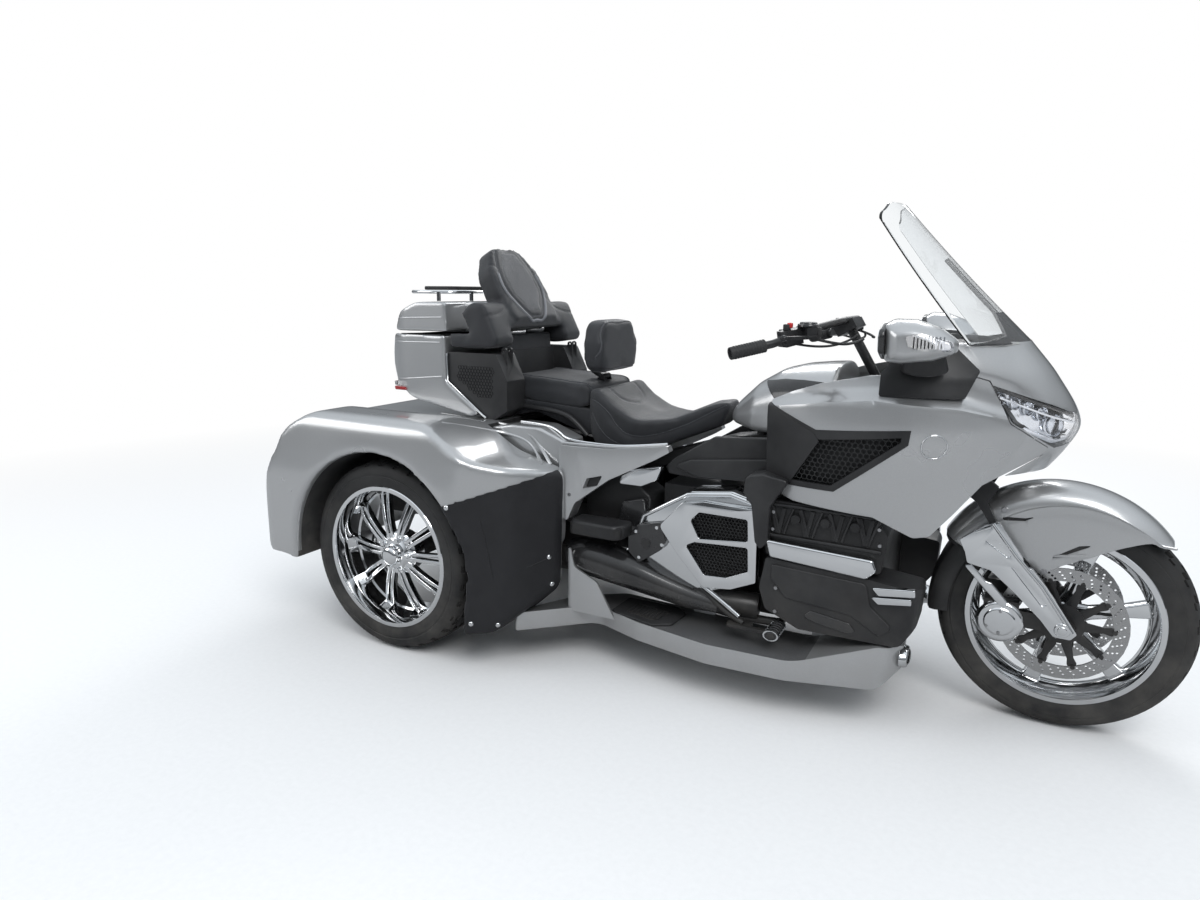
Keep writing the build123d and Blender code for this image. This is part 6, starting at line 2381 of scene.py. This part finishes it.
def sweptShell(name, x, z, angles, section, thick):
    # section(angle) gives (across, radius) pairs from one side over the top to the other
    bm = bmesh.new()
    rows = []
    for angle in angles:
        turn = math.radians(angle)
        rows.append(
            [bm.verts.new(at(x + r * math.cos(turn), y, z + r * math.sin(turn))) for y, r in section(angle)]
        )
    for first, last in zip(rows, rows[1:]):
        for a, b, c, d in zip(first, first[1:], last[1:], last):
            bm.faces.new((a, b, c, d))
    bmesh.ops.recalc_face_normals(bm, faces=bm.faces)
    middle = max(bm.faces, key=lambda f: f.calc_center_median().z)
    if middle.normal.z < 0:
        bmesh.ops.reverse_faces(bm, faces=bm.faces)
    shell = newObject(name, bm)
    return walled(shell, thick / 1000)


frontFender = {
    "foot": [(
        38, 318,
    ), (41, 300), (46, 282), (50, 246), (56, 200), (63, 160), (76, 124), (90, 104), (104, 92), (116, 84), (
        122, 108,
    ), (127, 170),
             (131, 236), (136, 254), (152, 254)],
    "crease": [(38, 318), (56, 308), (80, 300), (104, 290), (124, 282), (152, 290)],
    "crown": [(0, 325), (22, 324.5), (44, 321), (60, 316), (72, 309), (80, 301)],
}


def fenderSection(angle):
    form = frontFender
    foot = readTable(form["foot"], angle)
    crease = readTable(form["crease"], angle) - 18
    fade = min(1, max(0, (angle - 40) / 20)) * min(1, max(0, (152 - angle) / 12))
    side = list(form["crown"])
    side.append((86 + 1.5 * fade, 292))
    side.append((88 + 2.5 * fade, max(crease, foot + 4)))
    side.append((88 - 2.5 * fade, max(crease - 5, foot + 3)))
    low = max(crease - 8, foot + 2)
    for step in range(1, 9):
        side.append((86.5 + 1.5 * fade, low + (foot - low) * step / 8))
    side = [(y, max(r, foot)) for y, r in side]
    return [(-y, r) for y, r in reversed(side)] + side[1:]


def makeFender():
    angles = [38 + i * 1.5 for i in range(77)]
    shell = sweptShell("frontFender", 1050, 375, angles, fenderSection, 3.2)
    vents = [(1026, 500, 6), (1092, 546, 4), (1126, 553, 4), (1056, 512, 6)]
    slot = [(904, 600, 3), (960, 604, 3), (985, 612, 3), (960, 596, 3), (908, 590, 3)]
    for hole in (vents, slot):
        for low, high in ((-100, -80), (80, 100)):
            combine(shell, prism("vent", hole, "y", low, high), "DIFFERENCE")
    bevelled(shell, 0.0008, 2, 35)
    dress(shell, silverPaint, "front_fork", replaced=("front_fender",), degrees=38)
    backs = [
        prism("ventBack", [(1014, 496), (1088, 552), (1134, 557), (1062, 504)], "y", -83, -80),
        prism("ventBack", [(898, 586), (900, 606), (990, 616), (964, 590)], "y", -83, -80),
    ]
    dress(mirroredPair(joined("ventBacks", backs)), wellBlack, "front_fork", degrees=30)
    blade = sidePrism(
        "ventBlades",
        [(1030, 506, 3), (1052, 512, 4), (1104, 516, 4), (1118, 524, 3), (1098, 524, 3), (1050, 516, 4)],
        84, 93, 1.2,
    )
    dress(mirroredPair(blade), silverPaint, "front_fork", degrees=34)
    boltHeads(
        "fenderBolts", [(908, -91, 622), (1018, -89, 462)], 8, 5, satinMetal, "front_fork",
    )

    def guardSection(angle):
        return [
            (-83, 287), (-83, 322), (-76, 336), (-50, 343), (0, 345), (50, 343), (76, 336), (83, 322),
            (83, 287),
        ]

    guard = sweptShell("rearGuard", 1075, 320, [128 + i * 2 for i in range(29)], guardSection, 3.2)
    dress(bevelled(guard, 0.0008, 2, 40), blackPlastic, "front_fork", degrees=38)

    def linerSection(angle):
        return [
            (-80, 262), (-80, 290), (-70, 308), (-40, 316), (0, 319), (40, 316), (70, 308), (80, 290),
            (80, 262),
        ]

    liner = sweptShell("fenderLiner", 1050, 375, [120 + i * 2 for i in range(18)], linerSection, 3)
    dress(liner, blackPlastic, "front_fork", degrees=38)


makeFender()
print("fork and front fender made")


# tank shelter, mirrors and bars
tankForm = {
    "rows": [(116, 78, 800, 812, 846), (
        140, 108, 796, 822, 872,
    ), (200, 148, 786, 846, 930), (270, 176, 786, 862, 972), (330, 196, 790, 872, 988),
             (400, 208, 802, 878, 996), (452, 216, 812, 884, 999)],
}


def makeTank():
    bm = bmesh.new()
    rows = []
    steps = 14
    table = [[(row[0], row[i]) for row in tankForm["rows"]] for i in range(5)]
    for i in range(44):
        x = 116 + 336 * i / 43
        half, low, shoulder, top = (readTable(table[k], x) for k in (1, 2, 3, 4))
        ring = []
        for k in range(2 * steps + 1):
            turn = math.pi * k / (2 * steps)
            across = math.copysign(abs(math.cos(turn)) ** 0.72, math.cos(turn)) * half
            ring.append(bm.verts.new(at(x, across, shoulder + (top - shoulder) * math.sin(turn) ** 0.86)))
        ring.insert(0, bm.verts.new(at(x, half * 0.96, low)))
        ring.append(bm.verts.new(at(x, -half * 0.96, low)))
        rows.append(ring)
    for first, last in zip(rows, rows[1:]):
        for a, b, c, d in zip(first, first[1:], last[1:], last):
            bm.faces.new((a, b, c, d))
        bm.faces.new((first[0], last[0], last[-1], first[-1]))
    bm.faces.new(rows[0])
    bm.faces.new(rows[-1])
    bmesh.ops.recalc_face_normals(bm, faces=bm.faces)
    tank = remeshed(newObject("tankShelter", bm), 0.006, 14)
    dress(tank, silverPaint, replaced=("tank_shelter",), degrees=60)
    return treeOf(tank)


def patchOn(name, tree, upper, lower, steps, rows, lift, thick, material, body="chassis"):
    # a thin panel laid on a surface between two lines of the side view (x, z)
    def along(line, t):
        place = t * (len(line) - 1)
        first = min(int(place), len(line) - 2)
        share = place - first
        return tuple(a + (b - a) * share for a, b in zip(line[first], line[first + 1]))

    bm = bmesh.new()
    grid = []
    for i in range(steps + 1):
        top, bottom = along(upper, i / steps), along(lower, i / steps)
        row = []
        for k in range(rows + 1):
            share = k / rows
            spot = at(top[0] + (bottom[0] - top[0]) * share, -900, top[1] + (bottom[1] - top[1]) * share)
            place, normal, _, _ = tree.ray_cast(spot, Vector((0, 1, 0)))
            row.append(bm.verts.new(place + normal * lift / 1000) if place else None)
        grid.append(row)
    for first, last in zip(grid, grid[1:]):
        for a, b, c, d in zip(first, first[1:], last[1:], last):
            if a and b and c and d:
                bm.faces.new((a, b, c, d))
    bmesh.ops.recalc_face_normals(bm, faces=bm.faces)
    if sum(f.normal.y for f in bm.faces) > 0:
        bmesh.ops.reverse_faces(bm, faces=bm.faces)
    panel = newObject(name, bm)
    walled(panel, thick / 1000)
    bevelled(panel, 0.0007, 2, 50)
    mirroredPair(panel)
    return dress(panel, material, body, degrees=40)


tankTree = makeTank()
patchOn(
    "tankTrim", tankTree, [(236, 938), (300, 950), (360, 952), (420, 950)],
    [(236, 934), (290, 880), (340, 826), (420, 806)], 24, 10, 2.2, 3.5, glossBlack,
)

def makeMirrors():
    # how far out, half length, half height, height
    rows = [
        (338, 50, 26, 1060), (352, 66, 38, 1070), (376, 80, 50, 1082), (420, 84, 55, 1086),
        (462, 80, 50, 1086), (486, 66, 40, 1085), (500, 46, 26, 1084),
    ]
    bm = bmesh.new()
    rings = []
    outline = [
        (-1.0, 0.75), (-0.72, 1.0), (-0.1, 0.98), (0.55, 0.62), (1.0, 0.12), (0.98, -0.42), (0.4, -0.78),
        (-0.5, -0.98), (-0.94, -0.9),
    ]
    for reach, wide, high, lift in rows:
        rings.append([bm.verts.new(at(692 + wide * u, -reach, lift + high * v)) for u, v in outline])
    for first, last in zip(rings, rings[1:]):
        for i in range(len(outline)):
            bm.faces.new((first[i], first[i - 1], last[i - 1], last[i]))
    bm.faces.new(rings[0])
    bm.faces.new(rings[-1])
    bmesh.ops.recalc_face_normals(bm, faces=bm.faces)
    housing = bevelled(newObject("mirrorShells", bm), 0.007, 3, 24)
    mirroredPair(housing)
    dress(housing, silverPaint, replaced=("mirrors",), degrees=40)
    rim = prism(
        "rim",
        [
            (-484, 1062, 20), (-492, 1112, 20), (-440, 1132, 20), (-376, 1126, 24), (-350, 1096, 20),
            (-362, 1056, 20), (-430, 1042, 24),
        ],
        "x", 604, 618,
    )
    rim = bevelled(rim, 0.004, 3, 30)
    dress(mirroredPair(rim), glossBlack, degrees=34).name = "mirrorRims"
    glass = prism(
        "mirrorFaces",
        [
            (-478, 1066, 18), (-484, 1108, 18), (-438, 1125, 18), (-380, 1119, 20), (-358, 1094, 18),
            (-368, 1060, 18), (-430, 1048, 20),
        ],
        "x", 602.4, 604.6,
    )
    dress(mirroredPair(glass), mirrorGlass, degrees=34)
    lens = sidePrism(
        "mirrorLamps",
        [(664, 1104, 6), (700, 1112, 6), (768, 1092, 8), (772, 1072, 8), (720, 1066, 8), (672, 1078, 6)],
        470, 503, 5,
    )
    dress(mirroredPair(lens), lampGlass, degrees=34)
    back = sidePrism(
        "mirrorLampBacks",
        [(668, 1100, 6), (700, 1107, 6), (762, 1089, 8), (766, 1075, 8), (718, 1070, 8), (676, 1081, 6)],
        468, 494, 2,
    )
    dress(mirroredPair(back), lampMirror, degrees=34)
    ribs = [
        prism("rib", [(x, 1076), (x + 3, 1076), (x + 3, 1104), (x, 1104)], "y", -500, -493)
        for x in range(684, 756, 8)
    ]
    dress(mirroredPair(joined("mirrorLampRibs", ribs)), lampMirror, degrees=30)
    neck = bmesh.new()
    addRound(
        neck, 40, 0.046, 0.034, 0.075,
        Matrix.Translation(at(694, -330, 1044)) @ Matrix.Rotation(
            0.42, 4, "X",
        ) @ Matrix.Diagonal((1.25, 0.8, 1, 1)),
    )
    dress(mirroredPair(bevelled(newObject("mirrorNecks", neck), 0.006, 3, 30)), blackPlastic, degrees=34)


makeMirrors()


def makeBars():
    bar = bevelled(cleanCopy("handlebar", "handlebar"), 0.002, 3, 30)
    dress(bar, blackSteel, "bars", replaced=("handlebar",), degrees=34)
    parts = bmesh.new()
    for side in (1, -1):
        for radius, height, tall in ((30, 1114, 8), (24, 1120, 6)):
            addRound(
                parts, 40, radius / 1000, (radius - 2) / 1000, tall / 1000,
                Matrix.Translation(at(394, side * 300, height)),
            )
    dress(bevelled(newObject("reservoirCaps", parts), 0.0015, 3, 30), glossBlack, "bars", degrees=34)
    switches = bmesh.new()
    for side in (1, -1):
        for x, y, z, size in ((334, 308, 1092, 10), (350, 330, 1108, 9), (338, 340, 1078, 8)):
            bmesh.ops.create_cube(
                switches, size=size / 500, matrix=Matrix.Translation(at(x - 6, side * y, z)),
            )
    dress(bevelled(newObject("switches", switches), 0.0025, 3, 30), blackPlastic, "bars", degrees=34)
    red = bmesh.new()
    bmesh.ops.create_cube(red, size=0.014, matrix=Matrix.Translation(at(352, -330, 1114)))
    dress(bevelled(newObject("stopSwitch", red), 0.003, 3, 30), signalRed, "bars", degrees=34)
    balls = bmesh.new()
    for side in (1, -1):
        bmesh.ops.create_uvsphere(
            balls, u_segments=24, v_segments=12, radius=0.0085,
            matrix=Matrix.Translation(at(364, side * 430, 1084.5)),
        )
    dress(newObject("leverEnds", balls), blackSteel, "bars", degrees=60)
    hoses = []
    for side in (1, -1):
        hoses.append(
            tube(
                "hose",
                [
                    at(398, side * 316, 1084), at(450, side * 300, 1070), at(490, side * 200, 1060),
                    at(500, side * 80, 1070),
                ],
                4, resolution=3,
            )
        )
        hoses.append(
            tube(
                "hose",
                [
                    at(350, side * 306, 1066), at(410, side * 270, 1052), at(470, side * 150, 1062),
                    at(480, side * 60, 1082),
                ],
                3.4, resolution=3,
            )
        )
    dress(joined("hoses", hoses), gripRubber, "bars", degrees=60)
    grips = bevelled(cleanCopy("grips", "grips"), 0.002, 3, 30)
    dress(grips, gripRubber, "bars", replaced=("grips",), degrees=34)
    rings = bmesh.new()
    for side in (1, -1):
        start, heading = at(232, side * 452, 1042), Vector((88, -side * 76, 24)).normalized()
        turn = turnTo(heading)
        for step in range(12):
            spot = start + heading * (0.010 + step * 0.0076)
            addRound(rings, 32, 0.0178, 0.0178, 0.0038, Matrix.Translation(spot) @ turn)
    dress(bevelled(newObject("gripRings", rings), 0.0008, 2, 30), gripRubber, "bars", degrees=34)


makeBars()


def makeDash():
    board = bevelled(cleanCopy("dash", "dash"), 0.003, 3, 30)
    dress(board, blackPlastic, replaced=("dash",), degrees=34)
    tree = treeOf(board)
    for name, across, size, tall, material in (
        ("clockRims", 82, 42, 7, chrome), ("clockFaces", 82, 37, 9, glossBlack),
        ("displayRims", 0, 40, 7, satinMetal), ("displayFace", 0, 35, 9, glossBlack),
    ):
        place, normal, _, _ = tree.ray_cast(at(500, across, 1004), Vector((1, 0, 0)))
        if not place:
            continue
        clock = bmesh.new()
        turn = turnTo(-normal if normal.x > 0 else normal)
        wide = 1.35 if across == 0 else 1
        addRound(
            clock, 48, size / 1000, (size - 3) / 1000, tall / 1000,
            Matrix.Translation(place) @ turn @ Matrix.Diagonal((1, wide, 1, 1)),
        )
        face = newObject(name, clock)
        if across:
            mirroredPair(face)
        dress(face, material, degrees=34)


makeDash()
print("tank, mirrors and bars made")


# top box with its lid, rack and pods, and what sits on the tail
boxForm = {
    "base": [
        (-1140, 952, 24), (-1106, 1046, 12), (-858, 1046, 6), (-858, 890, 20), (-716, 786, 10),
        (-752, 771, 6), (-998, 817, 120), (-1090, 870, 20),
    ],
    "room": [
        (-1128, 956, 20), (-1098, 1070, 8), (-861, 1070, 4), (-861, 884, 4), (-1000, 829, 100),
        (-1082, 880, 20),
    ],
    "lid": [
        (-1101, 1056, 8), (-1090, 1078, 20), (-1062, 1126, 40), (-985, 1159, 90), (-856, 1159, 12),
        (-848, 1060, 4),
    ],
    "lidFront": [(-860, 1159, 12), (-800, 1159, 12), (-737, 1056, 4), (-860, 1056)],
    "lidRoom": [(-1096, 1040, 4), (-1056, 1120, 30), (-985, 1151, 80), (-862, 1151, 4), (-862, 1040, 4)],
}


def boxPlan(half, front):
    side = [(-1148, half - 60, 70), (-1060, half, 120), (front, half - 4)]
    return [(x, -y, *r) for x, y, *r in side] + [(x, y, *r) for x, y, *r in reversed(side)]


def softBox(name, points, half, size, ease):
    form = prism(name, points, "y", -half - 10, half + 10)
    combine(form, prism("plan", boxPlan(half, -600), "z", 700, 1300), "INTERSECT")
    return remeshed(form, size, ease)


def makeTopBox():
    base = softBox("topBox", boxForm["base"], 287, 0.0055, 8)
    room = prism("room", boxForm["room"], "y", -300, 300)
    combine(room, prism("plan", boxPlan(276, -600), "z", 700, 1300), "INTERSECT")
    carved(base, room)
    dress(base, silverPaint, replaced=("top_box",), degrees=40)

    lid = softBox("boxLid", boxForm["lid"], 283, 0.0055, 8)
    front = prism("lidFront", boxForm["lidFront"], "y", -167, 167)
    combine(lid, remeshed(front, 0.0055, 4), "UNION", solver="MANIFOLD")
    room = prism("room", boxForm["lidRoom"], "y", -300, 300)
    combine(room, prism("plan", boxPlan(272, -600), "z", 700, 1300), "INTERSECT")
    carved(lid, room)
    dress(lid, silverPaint, "top_lid", replaced=("box_lid",), degrees=40)

    tree = treeOf(base)
    line = []
    for i in range(61):
        turn = math.pi * (0.5 + i / 60)
        spot = at(-860 + 400 * math.cos(turn), 400 * math.sin(turn), 1047)
        place = tree.ray_cast(spot, (at(-900, 0, 1040) - spot).normalized())[0]
        if place:
            line.append(Vector((place.x, place.y, at(0, 0, 1045).z)))
    seal = tube("lidSeal", line, 3, smooth=False, resolution=2)
    dress(seal, gripRubber, degrees=50)
    return tree, treeOf(lid)


boxTree, lidTree = makeTopBox()


def wrapBead(name, tree, heights, radius, material, body="chassis"):
    # a bead along a side at heights given along x
    hits = []
    for x, z in heights:
        place, normal, _, _ = tree.ray_cast(at(x, -900, z), Vector((0, 1, 0)))
        if place:
            hits.append((place, normal))
    if len(hits) > 2:
        bead = tube(
            name, [place - normal * radius * 0.0004 for place, normal in hits], radius, resolution=3,
        )
        dress(mirroredPair(bead), material, body, degrees=50)


wrapBead(
    "boxCrease", boxTree, [(x, 1022 + (x + 860) * 0.02) for x in range(-1104, -866, 12)], 3.4, silverPaint,
)
wrapBead(
    "boxCrease", boxTree, [(x, 905 + (x + 860) * 0.10) for x in range(-1110, -866, 12)], 3.4, silverPaint,
)
wrapBead(
    "lidCrease", lidTree, [(x, 1108 + (x + 860) * 0.03) for x in range(-1060, -860, 12)], 3.2, silverPaint,
    "top_lid",
)


def makeBoxLamps():
    for name, low, high, material, slot in (
        ("boxLampUpper", 862, 878, lampGlass, "clear_lens"),
        ("boxLampLower", 846, 860, redLens, "red_lens"),
    ):
        lamp = prism(
            name, [(-1082, low, 4), (-1086, high, 4), (-1040, high - 2, 4), (-1030, low, 4)], "y", -292,
            -262,
        )
        dress(mirroredPair(bevelled(lamp, 0.003, 3, 30)), material, degrees=34)


makeBoxLamps()


def makePods():
    pod = bevelled(cleanCopy("pods", "speakerPods"), 0.006, 3, 30)
    dress(pod, blackPlastic, replaced=("pods",), degrees=34)
    net = hexNet(
        "podMesh", [(-812, 906), (-716, 836), (-668, 836), (-660, 950), (-800, 950)], lambda x,
        z: at(x, -278, z), 12, 2.4, 3,
    )
    dress(mirroredPair(net), glossBlack, degrees=30)
    edge = [(-851, 986), (-851, 888), (-706, 782), (-690, 772)]
    bead = tube("podEdge", [at(x, -280, z) for x, z in edge], 4, smooth=False, resolution=3)
    dress(mirroredPair(bead), chrome, degrees=50)


makePods()


def makeRack():
    loop = []
    for x, y in (
        (-1125, -130), (-1125, 130), (-1075, 178), (-950, 178), (-899, 130), (-899, -130), (-950, -178),
        (-1075, -178),
    ):
        loop.append(at(x, y, 1193))
    parts = [tube("ring", loop, 6.4, closed=True, resolution=5)]
    for y in (-70, 70):
        parts.append(tube("rail", [at(-1125, y, 1194), at(-899, y, 1194)], 5.2, resolution=4))
    for x, y in ((-960, 184), (-960, -184), (-900, 70), (-900, -70)):
        parts.append(tube("foot", [at(x, y * 0.985, 1161), at(x, y * 0.985, 1193)], 7, resolution=4))
    rack = joined("luggageRack", parts)
    dress(rack, chrome, "top_lid", replaced=("luggage_rack",), degrees=60)
    pad = prism(
        "rackPad", [(-1087, -125, 30), (-937, -125, 30), (-937, 125, 30), (-1087, 125, 30)], "z", 1200,
        1213.6,
    )
    dress(bevelled(pad, 0.004, 3, 30), gripRubber, "top_lid", degrees=34)


makeRack()


def makeTail():
    lamps = bevelled(cleanCopy("tail_lamps", "tailLamps"), 0.003, 3, 30)
    dress(lamps, redLens, replaced=("tail_lamps",), degrees=34)
    bumper = bevelled(cleanCopy("rear_bumper", "rearBumper"), 0.001, 2, 40)
    dress(bumper, chrome, replaced=("rear_bumper",), degrees=40)
    plate = bevelled(
        prism("plateHolder", [(-1370, 600), (-1377, 603), (-1327, 706), (-1319, 703)], "y", -90, 90),
        0.0015, 3, 30,
    )
    dress(plate, blackPlastic, "boot_hatch", degrees=34)


makeTail()
print("top box and tail made")


# the pieces whose CAD shape stays, with their edges broken
slotMaterials = {
    "silver_paint": silverPaint, "black_steel": blackSteel, "black_plastic": blackPlastic,
    "engine_black": engineBlack,
    "bright_chrome": chrome, "axle_iron": blackSteel, "disc_steel": discSteel, "tyre_rubber": tyreRubber,
    "grip_rubber": gripRubber, "seat_vinyl": seatVinyl, "wrap_vinyl": wrapVinyl, "clear_lens": screenGlass,
    "red_lens": redLens,
}
replacedNodes = {name for piece in bpy.data.objects for name in piece.get("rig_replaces", [])}
for node in sorted(set(cadNodes) - replacedNodes):
    piece = bevelled(cleanCopy(node), 0.0012, 2, 30)
    dress(piece, slotMaterials[slotOf[node]], bodyOf[node], (node,))
print("plain pieces made")
